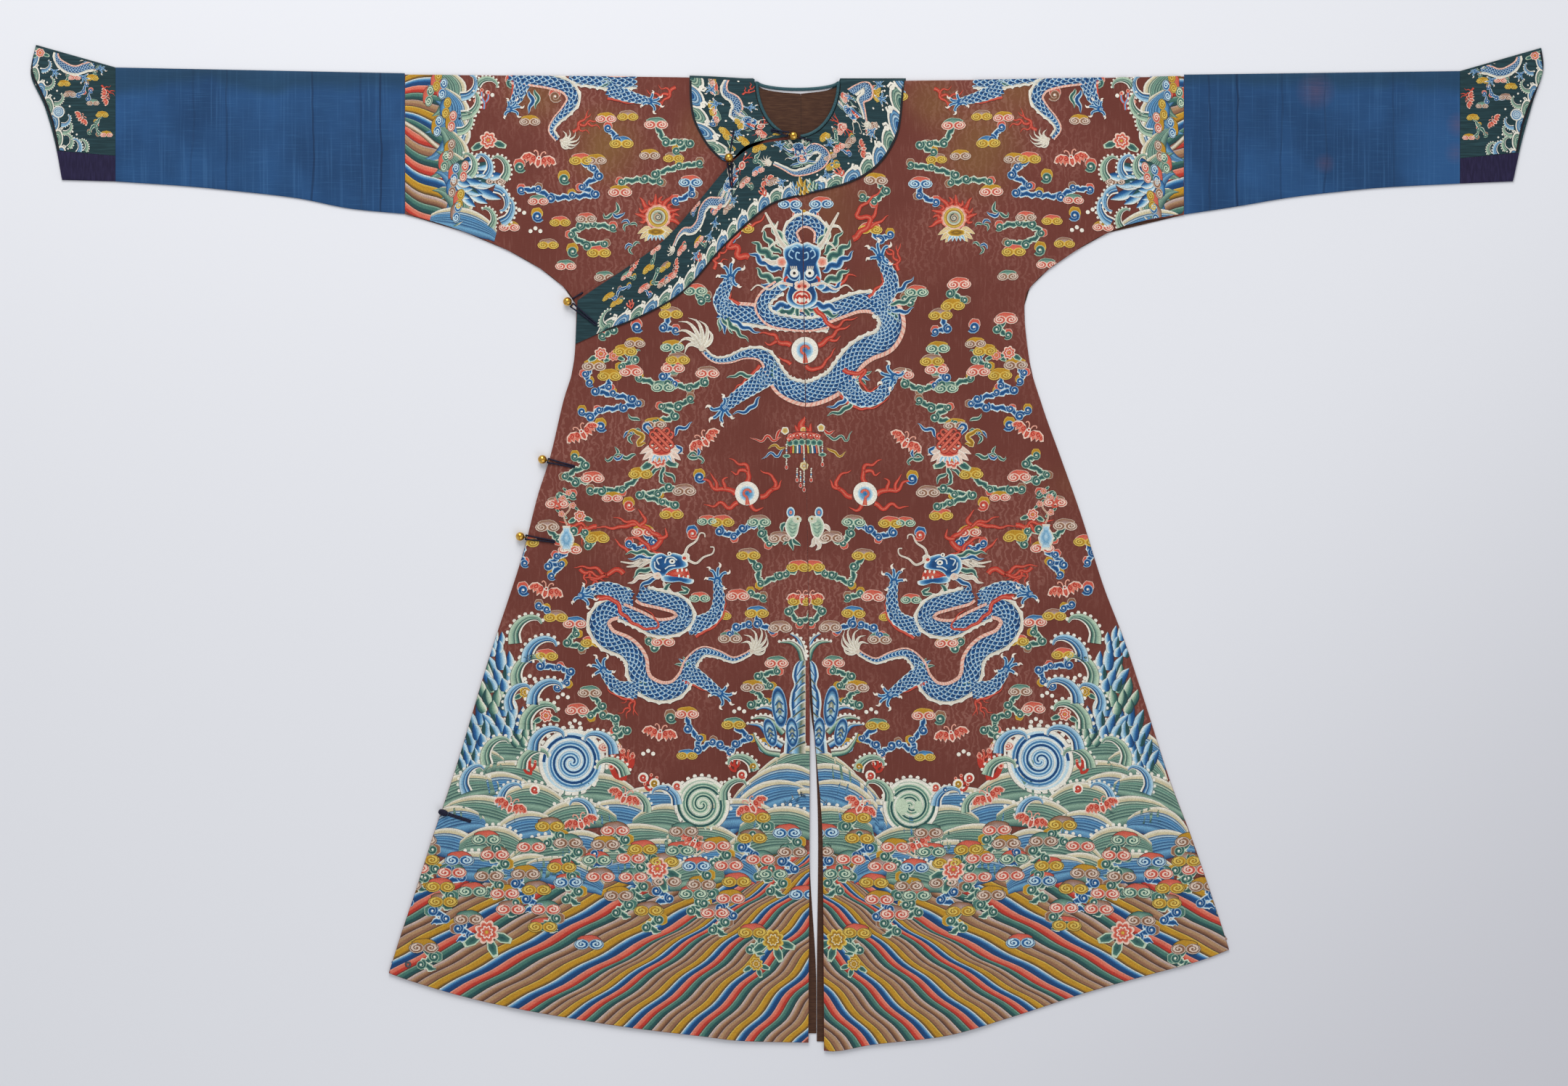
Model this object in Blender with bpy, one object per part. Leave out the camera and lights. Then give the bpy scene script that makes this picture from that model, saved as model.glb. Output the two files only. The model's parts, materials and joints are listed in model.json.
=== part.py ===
"""A Chinese dragon robe laid flat, front up.

The robe is cut as the real one is: two loom widths, each running from the front hem over the shoulder
fold to the back hem, a full outer front that wraps over to the side, two plain sleeve lengths folded
along their tops, two flared horse-hoof cuffs, a shaped collar band and a narrow neck binding. It closes
with ball buttons and cord loops. Every cloth piece is a wall between an outer and an inner grid of
points, worked out row by row from the tables below.

Lengths are in millimetres from the middle of the robe: across to the right, along up to the shoulders,
and up from the floor. They become metres where a mesh is made.
"""

import bpy
import numpy as np

METRES = 0.001

SPAN = 2144.4  # from cuff to cuff
WALL = 1.2  # a silk panel with its lining
SEAM_GAP = 0.3
LAYER = WALL + SEAM_GAP
BACK, INNER_FRONT, OUTER_FRONT = 0.0, LAYER, 2 * LAYER  # undersides of the layers

NECK = {"across": 14.4, "along": 661.0, "half_width": 55.6, "front_depth": 75.4, "back_depth": 8.5}
BINDING = {"half_width": 2.3, "half_height": 1.4, "pieces": 56, "sides": 8}
BALL = {"radius": 6.2, "neck_radius": 1.5, "neck_length": 4.0, "sides": 14, "rings": 8}
CORD = {"radius": 1.2, "sides": 6}
SETTLE = {"from": 180.0, "to": 335.0}  # where the right front comes down from the overlap to its side seam
NECK_EDGE = 2 * BINDING["half_width"] + 3.0  # a panel's cut edge lies this far outside the opening

NECK_ROWS = (648, 633, 617, 603, 592, 584, 579)
BACK_NECK_ROWS = (656, 653, 650, 647, 644.5, 642)

LEFT_SEAM, RIGHT_SEAM = -542.8, 562.4  # where the plain sleeves start
LEFT_CUFF, RIGHT_CUFF = -953.2, 953.8  # where the cuffs start

# Rows are (along, across) for side edges, read from the sleeve seam down to the hem corner.
LEFT_SIDE = [
    (473.3, -542.8), (460.9, -497.5), (438.3, -433.6), (408.4, -370.8), (379.6, -328.6),
    (353.8, -303.9), (340.0, -299.0), (290.0, -300.8), (256.0, -303.9), (210.6, -317.2),
    (128.2, -336.8), (73.6, -354.3), (-3.6, -373.9), (-153.0, -422.3), (-322.9, -473.8),
    (-405.3, -501.6), (-495.9, -530.5), (-541.3, -545.9), (-603.1, -565.5),
]  # fmt: skip
RIGHT_SIDE = [
    (472.3, 562.4), (463.0, 500.6), (442.4, 445.0), (412.5, 395.5), (383.7, 357.4),
    (357.9, 337.8), (340.0, 335.8), (265.2, 343.0), (200.3, 361.5), (128.2, 387.3),
    (50.0, 415.1), (-54.1, 448.0), (-129.3, 476.9), (-215.8, 505.7), (-334.2, 543.8),
    (-407.4, 571.7), (-531.0, 613.9), (-570.1, 626.2),
]  # fmt: skip
OVERLAP = [  # (along, across): the outer front's wrapped edge, from the neck button to the armpit
    (580.5, 17.0), (578.0, -4.0), (574.0, -32.0), (566.0, -54.6), (550.5, -75.2), (542.3, -82.4),
    (492.9, -124.6), (437.2, -174.1), (396.0, -229.7), (350.7, -297.7),
]  # fmt: skip

# Rows are (across, along) for the lines that run across the robe.
SHOULDER = [(-543, 673), (-139, 669), (14, 662), (166, 664), (562, 671)]
LEFT_HEM = [
    (-565.5, -603.1), (-543.8, -611.3), (-432.6, -643.2), (-310.0, -666.9),
    (-218.4, -681.3), (-123.6, -692.7), (-58.7, -699.9), (29.9, -701.9),
]  # fmt: skip
RIGHT_HEM = [
    (51.5, -713.3), (61.8, -714.4), (118.5, -705.0), (217.3, -693.7), (320.3, -664.9),
    (427.5, -629.8), (510.9, -606.2), (592.3, -583.5), (626.2, -570.1),
]  # fmt: skip
BACK_HEM_RISE = 13.0  # the back is shorter than the front
LOWEST_HEM = -713.3

# The middle seams of the front and the back lie on one line that leans a little: (along, across) at
# each end. It opens into slits in the skirt, whose rows are (along, left edge, right edge).
MIDDLE_SEAM = ((585.0, 19.6), (-155.0, 30.9))
FRONT_SLIT = [(-155, 30.9, 30.9), (-280, 31.9, 39.1), (-418, 31.5, 49.4), (-713, 29.9, 51.5)]
BACK_SLIT = [
    (-230, 32.0, 32.0), (-280, 31.6, 39.0), (-418, 31.0, 43.3), (-630, 41.0, 41.4), (-713, 41.0, 41.4),
]  # fmt: skip
INNER_FRONT_EDGE = 10.0  # the inner front stops just short of the middle seam

# Sleeves: rows are (across, along) along the folded top and the sewn underside.
LEFT_SLEEVE_TOP = [(-953, 681.3), (-543, 673.1)]
LEFT_SLEEVE_UNDER = [
    (-955, 519.6), (-849, 512.4), (-796, 507.3), (-697, 495.9), (-617, 480.5), (-543, 473.3),
]  # fmt: skip
RIGHT_SLEEVE_TOP = [(562, 671.1), (954, 676.2)]
RIGHT_SLEEVE_UNDER = [
    (561, 472.3), (635, 483.6), (715, 497.0), (767, 503.2), (847, 510.9), (954, 516.5),
]  # fmt: skip
# Cuffs: rows are (share of the way up, across) along the open end.
LEFT_CUFF_TOP = [(-1066, 713.3), (-953, 681.3)]
LEFT_CUFF_UNDER = [(-1029, 521.7), (-955, 519.6)]
LEFT_CUFF_END = [(0.0, -1029.0), (0.27, -1038.2), (0.54, -1052.7), (0.80, -1073.5), (1.0, -1066.0)]
RIGHT_CUFF_TOP = [(954, 676.2), (1069, 709.1)]
RIGHT_CUFF_UNDER = [(953, 516.5), (1029, 519.6)]
RIGHT_CUFF_END = [(0.0, 1029.0), (0.31, 1041.3), (0.60, 1056.8), (0.87, 1072.2), (1.0, 1069.1)]
CUFF_STRIP = 0.225  # share of the cuff's height that its plain lower strip takes

# Creases: soft ridges, (across, along, half length, half width, height, lean in degrees from upright).
CREASES = [
    (-455, -430, 190, 42, 1.7, -14), (-330, -470, 230, 48, 2.1, -9), (-215, -400, 260, 44, 1.5, -6),
    (-95, -480, 210, 50, 1.9, -2), (-250, -60, 240, 52, 1.2, 6), (-185, 210, 150, 48, 1.4, -38),
    (125, -460, 240, 46, 1.8, 3), (240, -520, 190, 44, 2.0, 8), (350, -390, 230, 50, 1.6, 11),
    (480, -440, 180, 44, 2.0, 17), (270, 30, 250, 55, 1.2, -5), (240, 360, 170, 50, 1.5, 48),
    (-375, 520, 140, 40, 1.2, -55), (420, 540, 140, 40, 1.3, 52),
]  # fmt: skip
SLEEVE_LOFT = 1.5  # the two layers of a sleeve lie this much apart along its middle
# Sleeve creases: (across, depth, half width), pressed into the upper layer.
SLEEVE_CREASES = [
    (-796, 1.3, 9), (-674, 0.8, 8), (-606, 0.7, 8), (-576, 1.3, 8),
    (596, 0.8, 8), (636, 1.4, 8), (760, 0.7, 10),
]  # fmt: skip

# The collar band: rows are (inner edge across, along, outer edge across, along), from its end at the
# armpit up the overlap, round the front of the neck and up to the right shoulder.
COLLAR_BAND = [
    (-297.7, 350.7, -300.8, 289.0), (-262.0, 374.8, -262.0, 306.0), (-229.7, 396.0, -219.4, 321.9),
    (-174.1, 437.2, -152.0, 359.0), (-124.6, 492.9, -87.6, 430.0), (-82.4, 542.3, -45.3, 469.2),
    (-54.6, 566.0, -19.6, 487.7), (-32.0, 574.0, 0.0, 494.0), (0.0, 578.5, 19.6, 499.0),
    (19.7, 580.3, 45.0, 505.0), (40.3, 587.6, 85.0, 516.0), (57.7, 603.8, 118.0, 533.0),
    (69.8, 626.8, 142.0, 558.0), (74.6, 647.0, 159.0, 596.0), (75.5, 661.0, 166.0, 664.0),
]  # fmt: skip
# The left of the collar, on the inner front, ends where the outer front covers it.
COLLAR_LEFT = [
    (-46.7, 661.0, -139.0, 669.0), (-45.8, 647.0, -138.8, 645.0), (-42.3, 630.7, -136.0, 616.0),
    (-35.0, 613.4, -125.0, 588.0), (-24.9, 599.0, -106.0, 561.0), (-16.0, 591.0, -85.5, 547.5),
    (-8.5, 586.4, -58.0, 570.0), (-3.5, 584.2, -32.0, 578.0), (-1.0, 583.5, -12.0, 581.2),
]  # fmt: skip

# Fasteners: ball centre, then the sewn end of its own cord, then the sewn end of the loop. Heights are
# those of the cloth under the ball, the cord's end and the loop's end.
BUTTONS = [
    {"name": "neck", "ball": (8.5, 583.5), "cord": (34, 577), "loop": (-22, 592), "up": (5.7, 5.7, 4.2)},
    {"name": "clavicle", "ball": (-83, 552.5), "cord": (-76, 593), "loop": (-79, 512), "up": (5.7, 4.2, 5.7)},
    {"name": "armpit", "ball": (-312, 349), "cord": (-290, 362), "loop": (-272, 317), "up": (0, 2.7, 5.7)},
    {"name": "side", "ball": (-347.5, 125.2), "cord": None, "loop": (-303, 115), "up": (0, 0, 4.7)},
    {"name": "lower", "ball": (-379, 16), "cord": None, "loop": (-331, 8.8), "up": (0, 0, 4.5)},
]
KNOT = {"across": -488.0, "along": -375.4, "half": (7.0, 5.0, 3.0), "tab": (34.0, 5.0, 1.0), "lean": -18.0}
SNAP = {"across": -538.0, "along": -590.7, "radius": 4.6, "hole": 1.6, "height": 1.2, "sides": 20}

COLOURS = {
    "maroon": (0.105, 0.036, 0.030), "teal": (0.016, 0.030, 0.038), "blue": (0.018, 0.075, 0.20),
    "navy": (0.012, 0.010, 0.030), "binding": (0.045, 0.10, 0.11), "cord": (0.008, 0.008, 0.016),
    "brass": (0.72, 0.45, 0.12), "steel": (0.35, 0.35, 0.36),
}  # fmt: skip


def read(table, at):
    """Values of a (position, value) table at any positions, on a smooth curve through its rows that
    never swings past them."""
    place, value = np.array(sorted(row[:2] for row in table), float).T
    slope = np.diff(value) / np.diff(place)
    before, after = slope[:-1], slope[1:]
    tangent = np.concatenate([[slope[0]], np.where(before * after > 0, 2 * before * after, 0.0), [slope[-1]]])
    tangent[1:-1] /= np.where(before * after > 0, before + after, 1.0)
    at = np.clip(np.asarray(at, float), place[0], place[-1])
    k = np.clip(np.searchsorted(place, at, side="right") - 1, 0, len(place) - 2)
    width = place[k + 1] - place[k]
    t = (at - place[k]) / width
    return (
        value[k] * (1 + 2 * t) * (1 - t) ** 2
        + tangent[k] * width * t * (1 - t) ** 2
        + value[k + 1] * t**2 * (3 - 2 * t)
        + tangent[k + 1] * width * t**2 * (t - 1)
    )


def ease(value, start, end):
    """0 before start, 1 after end, and a soft step between."""
    t = np.clip((value - start) / (end - start), 0, 1)
    return t * t * (3 - 2 * t)


def middle(slit, along, side):
    """Across place of the middle seam's left (side -1) or right (side 1) edge, half a seam gap off it,
    and below it of that edge of the slit."""
    (top, top_across), (low, low_across) = MIDDLE_SEAM
    seam = top_across + (low_across - top_across) * (top - along) / (top - low)
    edge = read([(row[0], row[1 if side < 0 else 2]) for row in slit], along)
    return np.where(along > slit[0][0], seam, edge) + side * SEAM_GAP / 2


def neck_edge(along, depth, side):
    """Across place of the neck's cut edge, which is half of an ellipse, on its left or right side. Below
    the neck it lies past the middle seam, which then takes over."""
    down = np.clip((NECK["along"] - along) / (depth + NECK_EDGE), 0, 1)
    round_edge = NECK["across"] + side * (NECK["half_width"] + NECK_EDGE) * np.sqrt(1 - down**2)
    return np.where(down < 1, round_edge, -side * SPAN)


def shoulder(across):
    return read(SHOULDER, across)


def row_points(levels, columns, left, right, hem, top_sag=True):
    """A grid of points: each row runs from the left edge to the right one. Near the shoulders the rows
    follow the shoulder line, and down the skirt they bend more and more like the hem."""
    share = np.linspace(0, 1, columns + 1)[None, :]
    level = np.asarray(levels, float)[:, None]
    skirt = np.clip((100.0 - level) / (100.0 - LOWEST_HEM), 0, 1)
    near_top = ease(level, 560.0, 660.0) if top_sag else 0.0

    def bend(across):
        sag = near_top * (shoulder(across) - NECK["along"])
        return level + sag + skirt * (read(hem, across) - LOWEST_HEM)

    ends = []
    for edge in (left, right):
        along = level + 0 * share[:, :1]
        for _ in range(12):
            across = edge(along)
            along = bend(across)
        ends.append(across)
    across = ends[0] * (1 - share) + ends[1] * share
    return across, bend(across)


def crease(across, along):
    """Height of the cloth over its flat place: a sum of soft ridges."""
    height = np.zeros_like(across)
    for x, y, half_length, half_width, rise, lean in CREASES:
        turn = np.radians(lean)
        on = (across - x) * np.sin(-turn) + (along - y) * np.cos(turn)
        off = (across - x) * np.cos(turn) + (along - y) * np.sin(turn)
        height += rise * np.exp(-((off / half_width) ** 2) - (on / half_length) ** 4)
    return height


def edge_fade(across, along):
    """1 inside a panel and 0 on its side edges and top row, so that creases die out before a seam."""
    share = np.linspace(0, 1, across.shape[1])[None, :]
    return ease(np.minimum(share, 1 - share), 0.0, 0.2) * ease(shoulder(across) - along, 15.0, 90.0)


def right_front_level(across):
    """Underside of the right front: on the inner front's level plus one at the middle, down to one layer
    over the back at its side seam."""
    return OUTER_FRONT + (INNER_FRONT - OUTER_FRONT) * ease(across, SETTLE["from"], SETTLE["to"])


def stack(across, along, up):
    return np.stack([across, along, up + 0 * across], axis=-1)


def folded_width(front_rows, back_rows, level, relief):
    """Outer and inner grids of one loom width: front hem to shoulder, round the fold, shoulder to back
    hem. The front's underside is at level(across) and the back's outside is on the floor."""
    fa, fy = front_rows
    ba, by = back_rows
    under = level(fa) + relief(fa, fy)
    outer, inner = [stack(fa, fy, under + WALL)[::-1]], [stack(fa, fy, under)[::-1]]
    radius = (level(fa[0]) + WALL) / 2
    for angle in np.radians([60, 30, 0, -30, -60]):
        for points, away in ((outer, radius), (inner, radius - WALL)):
            along = fy[0] + away * np.cos(angle)
            points.append(stack(fa[0], along, radius + away * np.sin(angle))[None])
    outer.append(stack(ba, by, BACK))
    inner.append(stack(ba, by, BACK + WALL))
    return np.concatenate(outer), np.concatenate(inner)


def grid_faces(first, rows, columns, round_rows=False):
    """Two triangles for each cell of a grid whose points are numbered row by row."""
    r, c = np.meshgrid(np.arange(rows - (not round_rows)), np.arange(columns - 1), indexing="ij")
    a, b = first + r * columns + c, first + r * columns + c + 1
    d, e = first + (r + 1) % rows * columns + c, first + (r + 1) % rows * columns + c + 1
    return np.concatenate([np.stack(corner, -1).reshape(-1, 3) for corner in ((a, b, e), (a, e, d))])


def strip_faces(one, other, closed=False):
    """Two triangles for each step between two equal rows of point numbers."""
    if closed:
        one, other = np.append(one, one[0]), np.append(other, other[0])
    return np.concatenate([
        np.stack([one[:-1], other[:-1], other[1:]], -1),
        np.stack([one[:-1], other[1:], one[1:]], -1),
    ])


def add_mesh(name, points, faces, material, smooth=False):
    """Adds a mesh object in metres, with its faces pointing out."""
    points, faces = np.asarray(points, float).reshape(-1, 3) * METRES, np.asarray(faces)
    a, b, c = (points[faces[:, k]] for k in range(3))
    if np.einsum("ij,ij->i", a, np.cross(b, c)).sum() < 0:
        faces = faces[:, ::-1]
    mesh = bpy.data.meshes.new(name)
    mesh.from_pydata(points.tolist(), [], faces.tolist())
    mesh.materials.append(material)
    if smooth:
        mesh.shade_smooth()
    robe = bpy.data.objects.new(name, mesh)
    bpy.context.scene.collection.objects.link(robe)
    return robe


def add_wall(name, outer, inner, material, round_rows=False):
    """A cloth wall between two grids. With round_rows the last row meets the first, as in a tube."""
    rows, columns = outer.shape[:2]
    count = rows * columns
    number = np.arange(count).reshape(rows, columns)
    faces = [grid_faces(0, rows, columns, round_rows), grid_faces(count, rows, columns, round_rows)[:, ::-1]]
    if round_rows:
        faces.append(strip_faces(number[:, 0] + count, number[:, 0], closed=True))
        faces.append(strip_faces(number[:, -1], number[:, -1] + count, closed=True))
    else:
        rim = np.concatenate([number[0, :-1], number[:-1, -1], number[-1, :0:-1], number[:0:-1, 0]])
        faces.append(strip_faces(rim, rim + count, closed=True))
    points = np.concatenate([outer.reshape(-1, 3), inner.reshape(-1, 3)])
    return add_mesh(name, points, np.concatenate(faces), material)


def make_material(name, colour, roughness, metallic=0.0):
    material = bpy.data.materials.new(name)
    material.use_nodes = True
    shader = material.node_tree.nodes["Principled BSDF"]
    shader.inputs["Base Color"].default_value = (*colour, 1.0)
    shader.inputs["Roughness"].default_value = roughness
    shader.inputs["Metallic"].default_value = metallic
    return material


def levels(start, end, step, *keys):
    """Row heights from start down to end, about a step apart, with the key heights among them."""
    stops = sorted({start, end, *keys}, reverse=True)
    rows = [np.linspace(a, b, max(1, round((a - b) / step)) + 1)[:-1] for a, b in zip(stops, stops[1:])]
    return np.append(np.concatenate(rows), end)


def left_side(along):
    return np.where(along > LEFT_SIDE[0][0], LEFT_SEAM + SEAM_GAP / 2, read(LEFT_SIDE, along))


def right_side(along):
    return np.where(along > RIGHT_SIDE[0][0], RIGHT_SEAM - SEAM_GAP / 2, read(RIGHT_SIDE, along))


def raised(hem):
    return [(across, along + BACK_HEM_RISE) for across, along in hem]


def make_left_width(silk):
    """The width that makes the left of the back and, under the wrap, the inner front."""
    top, under_arm = NECK["along"] - 2.5, LEFT_SIDE[0][0]
    arm_rows = (under_arm + 0.1, under_arm, 438, 408, 380, 352, 320)
    front = levels(top, LOWEST_HEM, 62.0, *NECK_ROWS, *arm_rows)
    back = levels(top, LOWEST_HEM, 90.0, *BACK_NECK_ROWS, *arm_rows)

    def front_inner(along):
        return np.minimum(neck_edge(along, NECK["front_depth"], -1), INNER_FRONT_EDGE)

    def back_inner(along):
        return np.minimum(neck_edge(along, NECK["back_depth"], -1), middle(BACK_SLIT, along, -1))

    def relief(across, along):
        shown = ease(along - read([(x, y) for y, x in OVERLAP], across), 20.0, 80.0)
        return crease(across, along) * edge_fade(across, along) * shown * (across < NECK["across"])

    outer, inner = folded_width(
        row_points(front, 10, left_side, front_inner, LEFT_HEM),
        row_points(back, 10, left_side, back_inner, raised(LEFT_HEM)),
        lambda across: INNER_FRONT + 0 * across,
        relief,
    )
    add_wall("left_width_inner_front_and_back", outer, inner, silk)


def make_right_width(silk):
    """The width that makes the right of the front and of the back."""
    top, under_arm = NECK["along"] - 3.0, RIGHT_SIDE[0][0]
    arm_rows = (under_arm + 0.1, under_arm, 442, 412, 384, 358, 320)
    front = levels(top, LOWEST_HEM, 48.0, *NECK_ROWS, *arm_rows)
    back = levels(top, LOWEST_HEM, 90.0, *BACK_NECK_ROWS, *arm_rows)

    def front_inner(along):
        return np.maximum(neck_edge(along, NECK["front_depth"], 1), middle(FRONT_SLIT, along, 1))

    def back_inner(along):
        return np.maximum(neck_edge(along, NECK["back_depth"], 1), middle(BACK_SLIT, along, 1))

    def relief(across, along):
        clear_of_collar = np.maximum(ease(-along, -470.0, -380.0), ease(across, 180.0, 240.0))
        return crease(across, along) * edge_fade(across, along) * clear_of_collar

    outer, inner = folded_width(
        row_points(front, 11, front_inner, right_side, RIGHT_HEM),
        row_points(back, 11, back_inner, right_side, raised(RIGHT_HEM)),
        right_front_level,
        relief,
    )
    add_wall("right_width_front_and_back", outer, inner, silk)


def make_outer_front(silk):
    """The wrap: from the middle seam to the left side, its upper edge cut along the overlap."""
    armpit = OVERLAP[-1][0]
    edge = OVERLAP + [row for row in LEFT_SIDE if row[0] < armpit - 5]
    overlap_rows = (578, 574, 566, 558, 550.5, 542.3, 517, 493, 465, 437, 416, 396, 373, armpit, 320)
    rows = levels(OVERLAP[0][0] - SEAM_GAP, LOWEST_HEM, 48.0, *overlap_rows)

    def outer_edge(along):
        return read(edge, along)

    def inner_edge(along):
        return middle(FRONT_SLIT, along, -1)

    across, along = row_points(rows, 11, outer_edge, inner_edge, LEFT_HEM, top_sag=False)
    share = np.linspace(0, 1, across.shape[1])[None, :]
    clear_of_collar = ease(read([(x, y) for y, x in OVERLAP], across) - along, 95.0, 150.0)
    up = OUTER_FRONT + crease(across, along) * ease(np.minimum(share, 1 - share), 0.0, 0.2) * clear_of_collar
    add_wall("outer_front", stack(across, along, up + WALL), stack(across, along, up), silk)


def band_grid(sections, pieces, columns):
    """A grid between the two edges of a collar band, along curves through its sections."""
    table = np.array(sections, float)
    step = np.hypot(*np.diff(table[:, :2] + table[:, 2:], axis=0).T)
    place = np.concatenate([[0], np.cumsum(step)])
    at = np.linspace(0, place[-1], pieces + 1)
    edges = [read(list(zip(place, table[:, k])), at) for k in range(4)]
    share = np.linspace(0, 1, columns + 1)[None, :]
    across = edges[0][:, None] * (1 - share) + edges[2][:, None] * share
    along = edges[1][:, None] * (1 - share) + edges[3][:, None] * share
    return across, along


def make_collar_piece(name, sections, pieces, under, silk):
    """A collar piece on top of the front, from its shoulder section on. It is rounded down over the
    shoulder fold."""
    across, along = band_grid(sections, pieces, 3)
    low = under(across)
    outer, inner = [stack(across, along, low + WALL)], [stack(across, along, low)]
    radius = (low[0] + WALL) / 2
    along_fold = shoulder(across[0]) - (low[0] - SEAM_GAP) / 2
    outer[0][0, :, 1] = inner[0][0, :, 1] = along_fold
    for angle in np.radians([60, 30, 0]):
        for points, away in ((outer, low[0] + WALL - radius), (inner, low[0] - radius)):
            edge, rise = along_fold + away * np.cos(angle), radius + away * np.sin(angle)
            points.insert(0, stack(across[0], edge, rise)[None])
    add_wall(name, np.concatenate(outer), np.concatenate(inner), silk)


def make_collar(silk):
    make_collar_piece("collar_band", COLLAR_BAND[::-1], 34, lambda x: right_front_level(x) + LAYER, silk)
    make_collar_piece("collar_left", COLLAR_LEFT, 14, lambda x: INNER_FRONT + LAYER + 0 * x, silk)


def skin_rings(rings, poles=None):
    """Points and faces of a row of rings: closed at two poles, or joined last to first without them."""
    rows, columns = rings.shape[:2]
    number = np.arange(rows * columns).reshape(rows, columns)
    faces = [strip_faces(number[k], number[k + 1], closed=True) for k in range(rows - 1)]
    points = rings.reshape(-1, 3)
    if poles is None:
        faces.append(strip_faces(number[-1], number[0], closed=True))
        return points, np.concatenate(faces)
    for ring, pole in ((number[0], len(points)), (number[-1][::-1], len(points) + 1)):
        faces.append(np.stack([ring, np.roll(ring, -1), np.full(columns, pole)], -1))
    return np.concatenate([points, poles]), np.concatenate(faces)


def swept_tube(centre, side, up, half_width, half_height, sides, closed=False):
    """An oval carried along a path. Each ring is set by its own side and up directions."""
    angle = np.linspace(0, 2 * np.pi, sides, endpoint=False)[None, :, None]
    aside, rise = half_width * side[:, None], half_height * up[:, None]
    rings = centre[:, None] + np.cos(angle) * aside + np.sin(angle) * rise
    return skin_rings(rings, None if closed else centre[[0, -1]])


def frames_along(path, closed=False):
    """Side and up directions along a path: side is level where it can be."""
    ahead = np.roll(path, -1, 0) - np.roll(path, 1, 0)
    if not closed:
        ahead[0], ahead[-1] = path[1] - path[0], path[-1] - path[-2]
    ahead /= np.linalg.norm(ahead, axis=1, keepdims=True)
    side = np.cross([0.0, 0.0, 1.0], ahead)
    side /= np.linalg.norm(side, axis=1, keepdims=True)
    return side, np.cross(ahead, side)


def make_binding(silk):
    """The rolled binding inside the neck edge: along the right front, over the shoulder, round the back
    of the neck and down to the end of the left front."""
    turn = np.radians(np.linspace(-86.0, 248.0, BINDING["pieces"] + 1))
    wide = NECK["half_width"] + BINDING["half_width"]
    front_deep, back_deep = (NECK[key] + BINDING["half_width"] for key in ("front_depth", "back_depth"))
    deep = np.where(np.sin(turn) < 0, front_deep, -back_deep)
    across = NECK["across"] + wide * np.cos(turn)
    along = NECK["along"] + deep * np.sin(turn)
    right, left = OUTER_FRONT + LAYER - SEAM_GAP / 2, INNER_FRONT + LAYER - SEAM_GAP / 2
    fade = ease(-np.sin(turn), -0.5, 0.03)
    up = BINDING["half_height"] + (np.where(np.cos(turn) > 0, right, left) - BINDING["half_height"]) * fade
    path = np.stack([across, along, up], -1)
    side, rise = frames_along(path)
    half = BINDING["half_width"], BINDING["half_height"]
    points, faces = swept_tube(path, side, rise, *half, BINDING["sides"])
    add_mesh("neck_binding", points, faces, silk, smooth=True)


def flat_tube(name, silk, stations, seam, end, top, under, up_share, shape, loft):
    """A folded sleeve or cuff. Points run from the seam line to the end line (stations 0 to 1) and from
    the underside to the top (share 0 to 1); the ring is whole, or only its upper or lower part."""
    station = np.asarray(stations, float)[:, None]
    share = np.asarray(up_share, float)[None, :]
    across = seam(share) * (1 - station) + end(share) * station
    along = under(across) * (1 - share) + top(across) * share
    low = INNER_FRONT + loft(across, share, station)
    front = [stack(across, along, low + WALL), stack(across, along, low)]
    back = [stack(across, along, BACK), stack(across, along, BACK + WALL)]
    radius = (INNER_FRONT + WALL) / 2
    # The layers stop one radius short of each fold, and a half round of cloth joins them.
    for sheet in front + back:
        if shape != "under":
            sheet[:, -1, 1] -= radius
        if shape != "top":
            sheet[:, 0, 1] += radius

    def fold(column, outward, angles, away):
        base = front[1][:, column]
        edge = [base[:, 1] + outward * away * np.cos(t) for t in angles]
        lift = [radius + away * np.sin(t) for t in angles]
        return np.stack([stack(base[:, 0], along, up) for along, up in zip(edge, lift)], 1)

    down, rising = np.radians([50, 0, -50]), np.radians([-50, 0, 50])
    rings = []
    for side, away in ((0, radius), (1, radius - WALL)):
        parts = [front[side]]
        if shape != "under":
            parts += [fold(-1, 1, down, away), back[side][:, ::-1]]
        if shape == "whole":
            parts.append(fold(0, -1, rising, away))
        if shape == "under":
            parts = [back[side][:, ::-1], fold(0, -1, rising, away), front[side]]
        rings.append(np.concatenate(parts, 1).transpose(1, 0, 2))
    add_wall(name, rings[0], rings[1], silk, round_rows=shape == "whole")


def make_sleeve(name, silk, seam_at, cuff_at, top, under):
    inward = np.sign(seam_at)
    seam_at, cuff_at = seam_at + inward * SEAM_GAP / 2, cuff_at - inward * SEAM_GAP / 2
    creases = [row for row in SLEEVE_CREASES if row[0] * inward > 0]
    stops = {seam_at, cuff_at} | {x + k * w for x, _, w in creases for k in (-1, 0, 1)}
    plain = [x for x in np.linspace(seam_at, cuff_at, 8) if min(abs(x - s) for s in stops) > 18]
    stations = sorted((np.array(sorted(stops | set(plain))) - seam_at) / (cuff_at - seam_at))

    def loft(across, share, station):
        pressed = sum(deep * np.exp(-(((across - x) / w) ** 2)) for x, deep, w in creases)
        swell = (4 * share * (1 - share)) ** 0.6 * ease(np.minimum(station, 1 - station), 0.0, 0.12)
        return np.clip(SLEEVE_LOFT - pressed, 0.05, None) * swell

    flat_tube(
        name, silk, stations, lambda s: seam_at + 0 * s, lambda s: cuff_at + 0 * s,
        lambda x: read(top, x), lambda x: read(under, x), np.linspace(0, 1, 7), "whole", loft,
    )  # fmt: skip


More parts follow.
